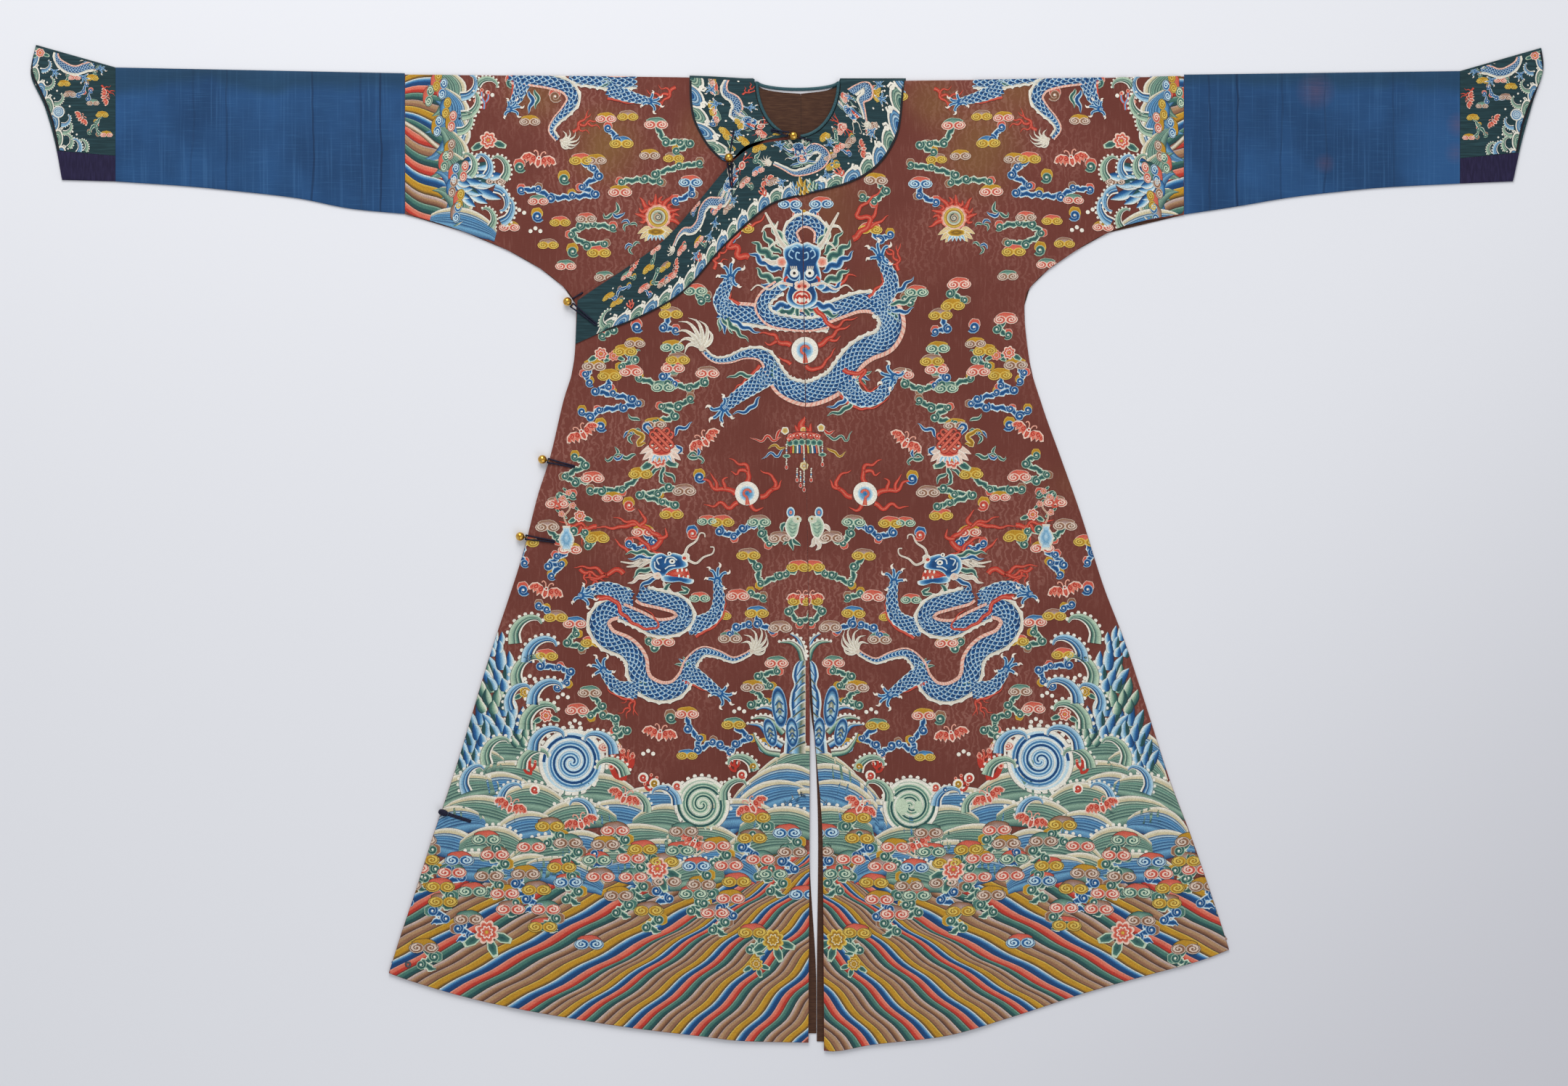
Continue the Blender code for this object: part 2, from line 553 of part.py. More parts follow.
def make_cuff(side, teal, navy, cuff_at, top, under, end):
    start = cuff_at + np.sign(cuff_at) * SEAM_GAP / 2
    half_gap = SEAM_GAP / 2 / (read(top, start) - read(under, start))
    for name, silk, shares, shape in (
        (f"cuff_{side}", teal, np.linspace(CUFF_STRIP + half_gap, 1, 7), "top"),
        (f"cuff_strip_{side}", navy, np.linspace(0, CUFF_STRIP - half_gap, 3), "under"),
    ):
        flat_tube(
            name, silk, np.linspace(0, 1, 5), lambda s: start + 0 * s, lambda s: read(end, s),
            lambda x: read(top, x), lambda x: read(under, x), shares, shape, lambda a, s, t: 0 * a,
        )  # fmt: skip


def make_ball(name, brass, centre, towards):
    """A cast ball with a short neck, turned about the direction its cord leaves in."""
    r, neck = BALL["radius"], BALL["neck_radius"]
    start = np.arcsin(neck / r)
    angle = np.linspace(start, np.pi, BALL["rings"] + 1)[:-1]
    reach = np.concatenate([[r * np.cos(start) + BALL["neck_length"]], r * np.cos(angle)])
    wide = np.concatenate([[neck], r * np.sin(angle)])
    axis = np.array([*towards, 0.0]) / np.hypot(*towards)
    side, up = np.cross([0, 0, 1.0], axis), np.array([0, 0, 1.0])
    turn = np.linspace(0, 2 * np.pi, BALL["sides"], endpoint=False)[None, :, None]
    around = np.cos(turn) * side + np.sin(turn) * up
    rings = centre + reach[:, None, None] * axis + wide[:, None, None] * around
    points, faces = skin_rings(rings, np.array([centre + reach[0] * axis, centre - r * axis]))
    add_mesh(name, points, faces, brass, smooth=True)


def add_cord(name, path, silk, closed=False):
    side, up = frames_along(path, closed)
    points, faces = swept_tube(path, side, up, CORD["radius"], CORD["radius"], CORD["sides"], closed)
    add_mesh(name, points, faces, silk, smooth=True)


def make_fastener(button, brass, silk):
    """A ball lying on the cloth or just off its edge, a cord loop arched over the ball's neck and sewn
    down on the overlapping side, and the ball's own cord where it shows on the other side."""
    thick = CORD["radius"]
    ball_up, cord_up, loop_up = button["up"]
    centre = np.array(button["ball"], float)
    ball = np.array([*centre, ball_up + (SEAM_GAP if ball_up else 0.0) + BALL["radius"]])
    way = np.subtract(button["loop"], centre)
    far = np.hypot(*way)
    way /= far
    side = np.array([-way[1], way[0]])
    make_ball(f"button_{button['name']}", brass, ball, way)

    # Half of the loop: out along the cloth and back, as (distance from the ball, aside, up).
    rest = loop_up + SEAM_GAP + thick
    neck_up = max(ball[2], rest)
    arch = BALL["radius"] + BALL["neck_length"] / 2
    closed_up, spread = thick + SEAM_GAP / 2, BALL["neck_radius"] + thick + SEAM_GAP
    nearness = np.linspace(0, 1, 7) ** 2
    out = far + (arch - far) * np.linspace(0, 1, 7)
    aside = closed_up + (spread - closed_up) * nearness
    up = rest + (neck_up - rest) * nearness
    over = np.radians([30, 60, 90, 120, 150])
    bend = np.column_stack([np.full(5, arch), spread * np.cos(over), neck_up + spread * np.sin(over)])
    strand = np.column_stack([out, aside, up])
    path = np.concatenate([strand, bend, strand[::-1] * [1, -1, 1], [[far + thick, 0.0, rest]]])
    plan = centre + path[:, :1] * way + path[:, 1:2] * side
    add_cord(f"loop_{button['name']}", np.column_stack([plan, path[:, 2]]), silk, closed=True)

    if button["cord"]:
        own_way = np.subtract(button["cord"], centre)
        start = centre + own_way / np.hypot(*own_way) * (BALL["radius"] + thick + SEAM_GAP)
        share = np.linspace(0, 1, 6)[:, None]
        high, low = max(cord_up, ball_up) + SEAM_GAP + thick, cord_up + SEAM_GAP + thick
        plan = start * (1 - share) + np.array(button["cord"]) * share
        drop = (low - high) * ease(share[:, 0], 0.4, 0.8)
        add_cord(f"cord_{button['name']}", np.column_stack([plan, high + drop]), silk)


def make_knot(silk):
    """A flat button knot of cord at the skirt's side, on the outer front, and the tab that it ends in."""
    turn = np.radians(KNOT["lean"])
    way, side = np.array([np.cos(turn), np.sin(turn)]), np.array([-np.sin(turn), np.cos(turn)])
    half = np.array(KNOT["half"])
    centre = np.array([KNOT["across"], KNOT["along"]])
    lift = OUTER_FRONT + WALL + SEAM_GAP + crease(*centre[:, None]).max()
    rows, sides = 6, 10
    angle = np.linspace(0, np.pi, rows + 1)
    path = centre - way * half[0] * np.cos(angle)[:, None]
    girth = np.clip(np.sin(angle), 0.25, 1)[:, None, None]
    spin = np.linspace(0, 2 * np.pi, sides, endpoint=False)[None, :, None]
    flat = np.column_stack([path, np.full(rows + 1, lift + half[2])])[:, None]
    across = np.array([*side, 0.0]) * half[1] * np.cos(spin) * girth
    rings = flat + across + np.array([0, 0, half[2]]) * np.sin(spin) * girth
    points, faces = skin_rings(rings, flat[[0, -1], 0])
    add_mesh("knot", points, faces, silk, smooth=True)
    length, width, thick = KNOT["tab"]
    reach = half[0] + SEAM_GAP + np.linspace(0, length, 4)[:, None, None]
    aside = np.array([-0.5, 0.5])[None, :, None] * width
    plan = centre + reach * way + aside * side
    grid = stack(plan[..., 0], plan[..., 1], lift)
    add_wall("knot_tab", grid + np.array([0, 0, thick]), grid, silk)


def make_snap(steel):
    """A pressed metal eyelet at the skirt's corner: a ring with a rounded lip."""
    lift = OUTER_FRONT + WALL + SEAM_GAP
    mean, half = (SNAP["radius"] + SNAP["hole"]) / 2, (SNAP["radius"] - SNAP["hole"]) / 2
    turn = np.linspace(0, 2 * np.pi, SNAP["sides"], endpoint=False)
    out = np.column_stack([np.cos(turn), np.sin(turn), 0 * turn])
    centre = np.array([SNAP["across"], SNAP["along"], lift + SNAP["height"] / 2])
    up = np.tile([0.0, 0.0, 1.0], (len(turn), 1))
    points, faces = swept_tube(centre + mean * out, out, up, half, SNAP["height"] / 2, 8, closed=True)
    add_mesh("snap", points, faces, steel, smooth=True)


def clear_scene():
    for item in list(bpy.data.objects):
        bpy.data.objects.remove(item, do_unlink=True)


def main():
    clear_scene()
    maroon = make_material("maroon_silk", COLOURS["maroon"], 0.6)
    teal = make_material("teal_ribbed_silk", COLOURS["teal"], 0.6)
    blue = make_material("blue_slub_silk", COLOURS["blue"], 0.55)
    navy = make_material("navy_silk", COLOURS["navy"], 0.6)
    binding = make_material("binding_silk", COLOURS["binding"], 0.5)
    black = make_material("black_cord", COLOURS["cord"], 0.7)
    brass = make_material("cast_brass", COLOURS["brass"], 0.3, 1.0)
    make_left_width(maroon)
    make_right_width(maroon)
    make_outer_front(maroon)
    make_collar(teal)
    make_binding(binding)
    make_sleeve("sleeve_left", blue, LEFT_SEAM, LEFT_CUFF, LEFT_SLEEVE_TOP, LEFT_SLEEVE_UNDER)
    make_sleeve("sleeve_right", blue, RIGHT_SEAM, RIGHT_CUFF, RIGHT_SLEEVE_TOP, RIGHT_SLEEVE_UNDER)
    make_cuff("left", teal, navy, LEFT_CUFF, LEFT_CUFF_TOP, LEFT_CUFF_UNDER, LEFT_CUFF_END)
    make_cuff("right", teal, navy, RIGHT_CUFF, RIGHT_CUFF_TOP, RIGHT_CUFF_UNDER, RIGHT_CUFF_END)
    for button in BUTTONS:
        make_fastener(button, brass, black)
    make_knot(black)
    make_snap(make_material("dulled_steel", COLOURS["steel"], 0.35, 1.0))


main()
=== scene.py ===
import json

import bpy
import numpy as np
from mathutils import Vector
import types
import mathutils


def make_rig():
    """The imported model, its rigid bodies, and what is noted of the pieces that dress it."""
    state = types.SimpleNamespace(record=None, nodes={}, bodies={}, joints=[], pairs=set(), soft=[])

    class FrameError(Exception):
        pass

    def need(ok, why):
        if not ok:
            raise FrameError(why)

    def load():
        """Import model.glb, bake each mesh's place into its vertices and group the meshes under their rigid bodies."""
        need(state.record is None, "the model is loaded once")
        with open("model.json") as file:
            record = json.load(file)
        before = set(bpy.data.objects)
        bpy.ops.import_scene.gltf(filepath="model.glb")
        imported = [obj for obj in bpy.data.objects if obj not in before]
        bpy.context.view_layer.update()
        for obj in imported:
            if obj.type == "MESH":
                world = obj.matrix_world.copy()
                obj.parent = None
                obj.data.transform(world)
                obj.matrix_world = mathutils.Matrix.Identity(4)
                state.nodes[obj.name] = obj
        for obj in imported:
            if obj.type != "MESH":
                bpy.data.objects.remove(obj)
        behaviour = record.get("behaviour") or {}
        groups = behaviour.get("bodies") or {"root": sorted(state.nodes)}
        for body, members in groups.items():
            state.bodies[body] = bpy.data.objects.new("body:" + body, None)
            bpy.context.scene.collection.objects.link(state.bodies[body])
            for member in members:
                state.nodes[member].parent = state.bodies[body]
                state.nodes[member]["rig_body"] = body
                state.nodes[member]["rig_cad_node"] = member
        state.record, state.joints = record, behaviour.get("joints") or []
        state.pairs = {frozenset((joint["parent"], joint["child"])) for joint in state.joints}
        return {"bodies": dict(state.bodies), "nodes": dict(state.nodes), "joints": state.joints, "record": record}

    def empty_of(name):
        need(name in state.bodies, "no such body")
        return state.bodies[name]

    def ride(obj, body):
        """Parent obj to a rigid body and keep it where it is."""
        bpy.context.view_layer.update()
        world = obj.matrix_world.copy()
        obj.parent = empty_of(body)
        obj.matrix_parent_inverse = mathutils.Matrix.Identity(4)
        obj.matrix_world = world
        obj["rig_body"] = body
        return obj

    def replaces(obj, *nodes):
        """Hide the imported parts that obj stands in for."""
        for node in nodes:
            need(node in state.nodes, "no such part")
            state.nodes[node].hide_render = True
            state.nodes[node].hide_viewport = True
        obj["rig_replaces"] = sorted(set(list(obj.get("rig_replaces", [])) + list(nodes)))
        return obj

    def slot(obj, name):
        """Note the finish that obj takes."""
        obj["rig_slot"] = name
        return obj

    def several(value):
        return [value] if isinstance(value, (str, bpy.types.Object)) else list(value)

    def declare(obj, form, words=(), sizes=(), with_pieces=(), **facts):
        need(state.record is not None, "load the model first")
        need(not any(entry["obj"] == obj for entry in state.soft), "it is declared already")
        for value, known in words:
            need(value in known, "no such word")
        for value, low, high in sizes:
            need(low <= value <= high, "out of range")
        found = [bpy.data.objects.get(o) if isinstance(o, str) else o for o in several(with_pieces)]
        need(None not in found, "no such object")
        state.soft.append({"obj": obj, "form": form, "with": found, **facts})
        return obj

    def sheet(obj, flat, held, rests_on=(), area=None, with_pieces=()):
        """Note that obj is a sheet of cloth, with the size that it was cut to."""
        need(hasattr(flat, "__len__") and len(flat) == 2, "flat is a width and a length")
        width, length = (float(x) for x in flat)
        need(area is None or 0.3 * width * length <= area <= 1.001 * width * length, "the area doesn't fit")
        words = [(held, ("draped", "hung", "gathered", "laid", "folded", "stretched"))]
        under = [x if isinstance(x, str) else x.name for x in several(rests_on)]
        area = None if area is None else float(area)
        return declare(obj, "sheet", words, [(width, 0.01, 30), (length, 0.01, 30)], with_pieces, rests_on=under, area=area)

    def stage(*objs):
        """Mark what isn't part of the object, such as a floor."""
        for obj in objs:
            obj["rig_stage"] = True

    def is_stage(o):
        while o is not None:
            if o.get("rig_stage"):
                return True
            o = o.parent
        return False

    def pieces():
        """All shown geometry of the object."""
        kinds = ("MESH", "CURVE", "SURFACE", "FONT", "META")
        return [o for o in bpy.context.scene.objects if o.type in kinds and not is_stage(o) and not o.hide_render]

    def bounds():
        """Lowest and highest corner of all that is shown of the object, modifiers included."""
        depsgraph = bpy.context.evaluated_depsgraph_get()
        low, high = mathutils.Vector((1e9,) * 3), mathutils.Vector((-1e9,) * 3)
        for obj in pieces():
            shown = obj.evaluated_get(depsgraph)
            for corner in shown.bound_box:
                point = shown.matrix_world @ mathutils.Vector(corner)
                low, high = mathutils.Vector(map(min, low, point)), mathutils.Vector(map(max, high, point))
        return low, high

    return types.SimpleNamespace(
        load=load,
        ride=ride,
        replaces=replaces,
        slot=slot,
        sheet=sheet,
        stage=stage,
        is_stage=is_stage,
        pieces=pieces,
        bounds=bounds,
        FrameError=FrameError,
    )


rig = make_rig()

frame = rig.load()
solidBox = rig.bounds()
print("frame loaded:", len(frame["nodes"]), "solids")

# Lengths are millimetres from the middle of the robe: x across to the right, y up to the shoulders,
# z up from the floor. They become metres where a mesh is made.
robe = {
    "wall": 1.2,  # silk with its lining
    "gap": 0.3,
    "middle": 25.5,  # the line that the embroidery is mirrored about
    "innerFront": 1.5,  # undersides of the layers
    "outerFront": 3.0,
    "underside": 0.35,  # the back's silk, which leaves room for its embroidery above the floor
    "lowestHem": -713.3,
    "settleFrom": 180.0,  # the right front comes down between these x
    "settleTo": 335.0,
    "skirtFrom": 100.0,  # rows below this y bend down to the hem
    "fade": 0.2,  # the share of a panel's width over which its creases die out at an edge
    "floss": 0.3,  # the lowest stitches lie this far over the silk
    "flossStep": 0.075,  # and each layer of them this much higher
    "backFloss": 0.05,  # the same two under the back
    "backFlossStep": 0.022,
    "detail": 1.0,  # how finely the stitches are drawn: less on the collar and the cuffs, and on the back
    "smallDetail": 0.62,
    "backDetail": 0.32,
}
neck = {"x": 14.4, "y": 661.0, "halfWidth": 55.6, "frontDepth": 75.4, "backDepth": 8.5, "edge": 7.6}
# The binding runs round the neck between two angles, in degrees, and lies at these heights on either side.
binding = {
    "halfWidth": 2.3, "halfHeight": 1.4, "pieces": 150, "sides": 12, "from": -86.0, "to": 248.0,
    "rightUp": 4.35, "leftUp": 2.85,
}

# Side edges, the wrap's edge and the sleeve seam: rows of y, x.
leftSide = [
    (473.3, -542.8), (460.9, -497.5), (438.3, -433.6), (408.4, -370.8), (379.6, -328.6), (353.8, -303.9),
    (340.0, -299.0), (290.0, -300.8), (256.0, -303.9), (210.6, -317.2), (128.2, -336.8), (73.6, -354.3),
    (-3.6, -373.9), (-153.0, -422.3), (-322.9, -473.8), (-405.3, -501.6), (-495.9, -530.5), (-541.3, -545.9),
    (-603.1, -565.5),
]
rightSide = [
    (472.3, 562.4), (463.0, 500.6), (442.4, 445.0), (412.5, 395.5), (383.7, 357.4), (357.9, 337.8),
    (340.0, 335.8), (265.2, 343.0), (200.3, 361.5), (128.2, 387.3), (50.0, 415.1), (-54.1, 448.0),
    (-129.3, 476.9), (-215.8, 505.7), (-334.2, 543.8), (-407.4, 571.7), (-531.0, 613.9), (-570.1, 626.2),
]
overlap = [
    (580.5, 17.0), (578.0, -4.0), (574.0, -32.0), (566.0, -54.6), (550.5, -75.2), (542.3, -82.4),
    (492.9, -124.6), (437.2, -174.1), (396.0, -229.7), (350.7, -297.7),
]
# Lines across the robe: rows of x, y.
shoulderLine = [(-543, 673), (-139, 669), (14, 662), (166, 664), (562, 671)]
leftHem = [
    (-565.5, -603.1), (-543.8, -611.3), (-432.6, -643.2), (-310.0, -666.9), (-218.4, -681.3),
    (-123.6, -692.7), (-58.7, -699.9), (29.9, -701.9),
]
rightHem = [
    (51.5, -713.3), (61.8, -714.4), (118.5, -705.0), (217.3, -693.7), (320.3, -664.9), (427.5, -629.8),
    (510.9, -606.2), (592.3, -583.5), (626.2, -570.1),
]
middleSeam = ((585.0, 19.6), (-155.0, 30.9))
frontSlit = [(-155, 30.9, 30.9), (-280, 31.9, 39.1), (-418, 31.5, 49.4), (-713, 29.9, 51.5)]
backSlit = [
    (-230, 32.0, 32.0), (-280, 31.6, 39.0), (-418, 31.0, 43.3), (-630, 41.0, 41.4), (-713, 41.0, 41.4),
]
# Sleeves and cuffs: rows of x, y; a cuff's open end has rows of share of the way up, x.
sleeves = {
    "left": {
        "seam": -542.8, "cuff": -953.2, "top": [(-953, 681.3), (-543, 673.1)],
        "under": [(-955, 519.6), (-849, 512.4), (-796, 507.3), (-697, 495.9), (-617, 480.5), (-543, 473.3)],
        "cuffTop": [(-1066, 713.3), (-953, 681.3)], "cuffUnder": [(-1029, 521.7), (-955, 519.6)],
        "cuffEnd": [(0.0, -1029.0), (0.27, -1038.2), (0.54, -1052.7), (0.80, -1073.5), (1.0, -1066.0)],
    },
    "right": {
        "seam": 562.4, "cuff": 953.8, "top": [(562, 671.1), (954, 676.2)],
        "under": [(561, 472.3), (635, 483.6), (715, 497.0), (767, 503.2), (847, 510.9), (954, 516.5)],
        "cuffTop": [(954, 676.2), (1069, 709.1)], "cuffUnder": [(953, 516.5), (1029, 519.6)],
        "cuffEnd": [(0.0, 1029.0), (0.31, 1041.3), (0.60, 1056.8), (0.87, 1072.2), (1.0, 1069.1)],
    },
}
cuffStripShare = 0.225
# Creases: x, y, half length, half width, height, lean in degrees from upright.
creases = [
    (-455, -430, 190, 42, 1.7, -14), (-330, -470, 230, 48, 2.1, -9), (-215, -400, 260, 44, 1.5, -6),
    (-95, -480, 210, 50, 1.9, -2), (-250, -60, 240, 52, 1.2, 6), (-185, 210, 150, 48, 1.4, -38),
    (125, -460, 240, 46, 1.8, 3), (240, -520, 190, 44, 2.0, 8), (350, -390, 230, 50, 1.6, 11),
    (480, -440, 180, 44, 2.0, 17), (270, 30, 250, 55, 1.2, -5), (240, 360, 170, 50, 1.5, 48),
    (-375, 520, 140, 40, 1.2, -55), (420, 540, 140, 40, 1.3, 52),
]
# Sleeve creases: x, depth, half width. The last rows are fainter press lines.
sleeveCreases = [
    (-796, 1.3, 7), (-674, 0.9, 6), (-606, 0.8, 6), (-576, 1.3, 6), (-845, 0.3, 5), (-735, 0.25, 6),
    (596, 0.8, 6), (636, 1.4, 6), (760, 0.7, 8), (700, 0.3, 5), (858, 0.3, 7), (905, 0.25, 5),
]
sleeveLoft = 1.5
# Collar rows: x, y of the inner edge, then x, y of the outer edge.
collarBand = [
    (-297.7, 350.7, -300.8, 289.0), (-262.0, 374.8, -262.0, 306.0), (-229.7, 396.0, -219.4, 321.9),
    (-174.1, 437.2, -152.0, 359.0), (-124.6, 492.9, -87.6, 430.0), (-82.4, 542.3, -45.3, 469.2),
    (-54.6, 566.0, -19.6, 487.7), (-32.0, 574.0, 0.0, 494.0), (0.0, 578.5, 19.6, 499.0),
    (19.7, 580.3, 45.0, 505.0), (40.3, 587.6, 85.0, 516.0), (57.7, 603.8, 118.0, 533.0),
    (69.8, 626.8, 142.0, 558.0), (74.6, 647.0, 159.0, 596.0), (75.5, 661.0, 166.0, 664.0),
]
collarLeft = [
    (-46.7, 661.0, -139.0, 669.0), (-45.8, 647.0, -138.8, 645.0), (-42.3, 630.7, -136.0, 616.0),
    (-35.0, 613.4, -125.0, 588.0), (-24.9, 599.0, -106.0, 561.0), (-16.0, 591.0, -85.5, 547.5),
    (-8.5, 586.4, -58.0, 570.0), (-3.5, 584.2, -32.0, 578.0), (-1.0, 583.5, -12.0, 581.2),
]


def linear(hexColour):
    # sRGB hex to linear: ((c + 0.055) / 1.055) ^ 2.4, or c / 12.92 near black
    value = np.array([int(hexColour[k : k + 2], 16) for k in (1, 3, 5)]) / 255
    return np.where(value > 0.04045, ((value + 0.055) / 1.055) ** 2.4, value / 12.92)


def read(table, at):
    # a smooth curve through rows of (place, value) that never swings past them
    place, value = np.array(sorted(row[:2] for row in table), float).T
    slope = np.diff(value) / np.diff(place)
    before, after = slope[:-1], slope[1:]
    tangent = np.concatenate(
        [[slope[0]], np.where(before * after > 0, 2 * before * after, 0.0), [slope[-1]]])
    tangent[1:-1] /= np.where(before * after > 0, before + after, 1.0)
    at = np.clip(np.asarray(at, float), place[0], place[-1])
    k = np.clip(np.searchsorted(place, at, side="right") - 1, 0, len(place) - 2)
    width = place[k + 1] - place[k]
    t = (at - place[k]) / width
    return (
        value[k] * (1 + 2 * t) * (1 - t) ** 2
        + tangent[k] * width * t * (1 - t) ** 2
        + value[k + 1] * t**2 * (3 - 2 * t)
        + tangent[k + 1] * width * t**2 * (t - 1)
    )


def ease(value, start, end):
    t = np.clip((value - start) / (end - start), 0, 1)
    return t * t * (3 - 2 * t)


# Edges of the panels, as functions of y or x


def slitEdge(slit, y, side):
    # the middle seam's left (-1) or right (1) edge, and below it that edge of the slit
    (top, topX), (low, lowX) = middleSeam
    seam = topX + (lowX - topX) * (top - y) / (top - low)
    edge = read([(row[0], row[1 if side < 0 else 2]) for row in slit], y)
    return np.where(y > slit[0][0], seam, edge) + side * robe["gap"] / 2


def neckEdge(y, depth, side):
    # half an ellipse: x = middle + side * width * sqrt(1 - down^2), down = share of the depth below its top
    down = np.clip((neck["y"] - y) / (depth + neck["edge"]), 0, 1)
    roundEdge = neck["x"] + side * (neck["halfWidth"] + neck["edge"]) * np.sqrt(1 - down**2)
    return np.where(down < 1, roundEdge, -side * 2000.0)


def shoulder(x):
    return read(shoulderLine, x)


def leftEdge(y):
    return np.where(y > leftSide[0][0], sleeves["left"]["seam"] + robe["gap"] / 2, read(leftSide, y))


def rightEdge(y):
    return np.where(y > rightSide[0][0], sleeves["right"]["seam"] - robe["gap"] / 2, read(rightSide, y))


def wrapEdge(y):
    return read(overlap + [row for row in leftSide if row[0] < overlap[-1][0] - 5], y)


def overlapY(x):
    return read([(across, along) for along, across in overlap], x)


def raisedHem(hem):
    return [(x, y + 13.0) for x, y in hem]


# Heights of the front's upper faces, used by the silk and by what is sewn on it


def crease(x, y):
    # a sum of soft ridges, each high * exp(-(off / half width)^2 - (on / half length)^4)
    height = np.zeros(np.broadcast(x, y).shape)
    for middleX, middleY, halfLength, halfWidth, rise, lean in creases:
        turn = np.radians(lean)
        on = (x - middleX) * np.sin(-turn) + (y - middleY) * np.cos(turn)
        off = (x - middleX) * np.cos(turn) + (y - middleY) * np.sin(turn)
        height += rise * np.exp(-((off / halfWidth) ** 2) - (on / halfLength) ** 4)
    return height


def puckers(x, y):
    # faint uneven drawing-up of the silk, from slow waves that cross each other
    slow = np.sin(x / 31 + 1.3 * np.sin(y / 47)) * np.sin(y / 39 + 1.1 * np.sin(x / 53 + 2.0))
    return 0.16 * slow + 0.12 * np.sin(x / 21 + y / 83 + np.sin(y / 61))


def betweenEdges(x, left, right):
    # 0 at either edge and 1 from the fade's share of the way in
    share = (x - left) / (right - left)
    return ease(np.minimum(share, 1 - share), 0.0, robe["fade"])


def settledLevel(x):
    # the right front comes down from the wrap's level to the inner front's at its side seam
    down = ease(x, robe["settleFrom"], robe["settleTo"])
    return robe["outerFront"] + (robe["innerFront"] - robe["outerFront"]) * down


def leftFrontTop(x, y):
    fade = betweenEdges(x, leftEdge(y), 10.0) * ease(shoulder(x) - y, 15.0, 90.0)
    shown = ease(y - overlapY(x), 20.0, 80.0) * (x < neck["x"])
    return robe["innerFront"] + robe["wall"] + (crease(x, y) + puckers(x, y)) * fade * shown


def rightFrontTop(x, y):
    fade = betweenEdges(x, slitEdge(frontSlit, y, 1), rightEdge(y)) * ease(shoulder(x) - y, 15.0, 90.0)
    clear = np.maximum(ease(-y, -470.0, -380.0), ease(x, 180.0, 240.0))
    return settledLevel(x) + robe["wall"] + (crease(x, y) + puckers(x, y)) * fade * clear


def wrapTop(x, y):
    fade = betweenEdges(x, wrapEdge(y), slitEdge(frontSlit, y, -1))
    clear = ease(overlapY(x) - y, 95.0, 150.0)
    return robe["outerFront"] + robe["wall"] + (crease(x, y) + puckers(x, y)) * fade * clear


def collarTop(x, y):
    return settledLevel(x) + 2 * robe["wall"] + robe["gap"] + 0 * y


def collarLeftTop(x, y):
    return robe["innerFront"] + 2 * robe["wall"] + robe["gap"] + 0 * x


# Meshes


def addMesh(name, points, faces, material, slot, nodes=(), shade="folded"):
    # points in mm become metres; nodes are the solids that the piece stands for; shade is flat, smooth or
    # folded, which is smooth but for folds of more than 35 degrees
    mesh = bpy.data.meshes.new(name)
    faces = faces if isinstance(faces, list) else faces.tolist()
    mesh.from_pydata((points * 0.001).tolist(), [], faces)
    mesh.materials.append(material)
    if shade != "flat":
        mesh.shade_smooth()
    if shade == "folded":
        mesh.set_sharp_from_angle(angle=np.radians(35))
    piece = bpy.data.objects.new(name, mesh)
    bpy.context.scene.collection.objects.link(piece)
    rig.ride(piece, "root")
    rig.slot(piece, slot)
    if nodes:
        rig.replaces(piece, *nodes)
    return piece


def stack(x, y, z):
    x, y, z = np.broadcast_arrays(x, y, z)
    return np.stack([x, y, z], axis=-1)


def gridQuads(first, rows, columns, wrapRows=False):
    r, c = np.meshgrid(np.arange(rows - (not wrapRows)), np.arange(columns - 1), indexing="ij")
    a, d = first + r * columns + c, first + (r + 1) % rows * columns + c
    return np.stack([a, a + 1, d + 1, d], -1).reshape(-1, 4)


def rimQuads(rim, shift):
    # a strip of quads between a closed row of point numbers and the same row on the other face
    after = np.roll(rim, -1)
    return np.stack([rim, rim + shift, after + shift, after], -1)


def turnedOut(points, quads):
    # turns the faces round if they enclose a negative volume
    a, b, c, d = (points[quads[:, k]] for k in range(4))
    volume = np.einsum("ij,ij->i", a, np.cross(b, c)).sum() + np.einsum("ij,ij->i", a, np.cross(c, d)).sum()
    return quads if volume > 0 else quads[:, ::-1]


def clothShell(name, outer, inner, material, slot, nodes, wrapRows=False):
    # a closed wall of cloth: an outer and an inner grid joined along the rim
    rows, columns = outer.shape[:2]
    count = rows * columns
    number = np.arange(count).reshape(rows, columns)
    quads = [gridQuads(0, rows, columns, wrapRows), gridQuads(count, rows, columns, wrapRows)[:, ::-1]]
    if wrapRows:
        quads += [rimQuads(number[::-1, 0], count), rimQuads(number[:, -1], count)]
    else:
        rim = np.concatenate([number[0, :-1], number[:-1, -1], number[-1, :0:-1], number[:0:-1, 0]])
        quads.append(rimQuads(rim, count))
    points = np.concatenate([outer.reshape(-1, 3), inner.reshape(-1, 3)])
    return addMesh(name, points, turnedOut(points, np.concatenate(quads)), material, slot, nodes)


def rowPoints(rows, columns, left, right, hem, nearTop=True):
    # rows of points from edge to edge, which follow the shoulder line above and the hem below
    share = np.linspace(0, 1, columns + 1)[None, :]
    level = np.asarray(rows, float)[:, None]
    skirt = np.clip((robe["skirtFrom"] - level) / (robe["skirtFrom"] - robe["lowestHem"]), 0, 1)
    top = ease(level, 560.0, 660.0) if nearTop else 0.0
    bend = lambda x: level + top * (shoulder(x) - neck["y"]) + skirt * (read(hem, x) - robe["lowestHem"])
    ends = []
    for edge in (left, right):
        y = level
        for _ in range(14):  # each turn brings the row's end nearer to where it crosses the edge
            x = edge(y)
            y = bend(x)
        ends.append(x)
    x = ends[0] * (1 - share) + ends[1] * share
    return x, bend(x)


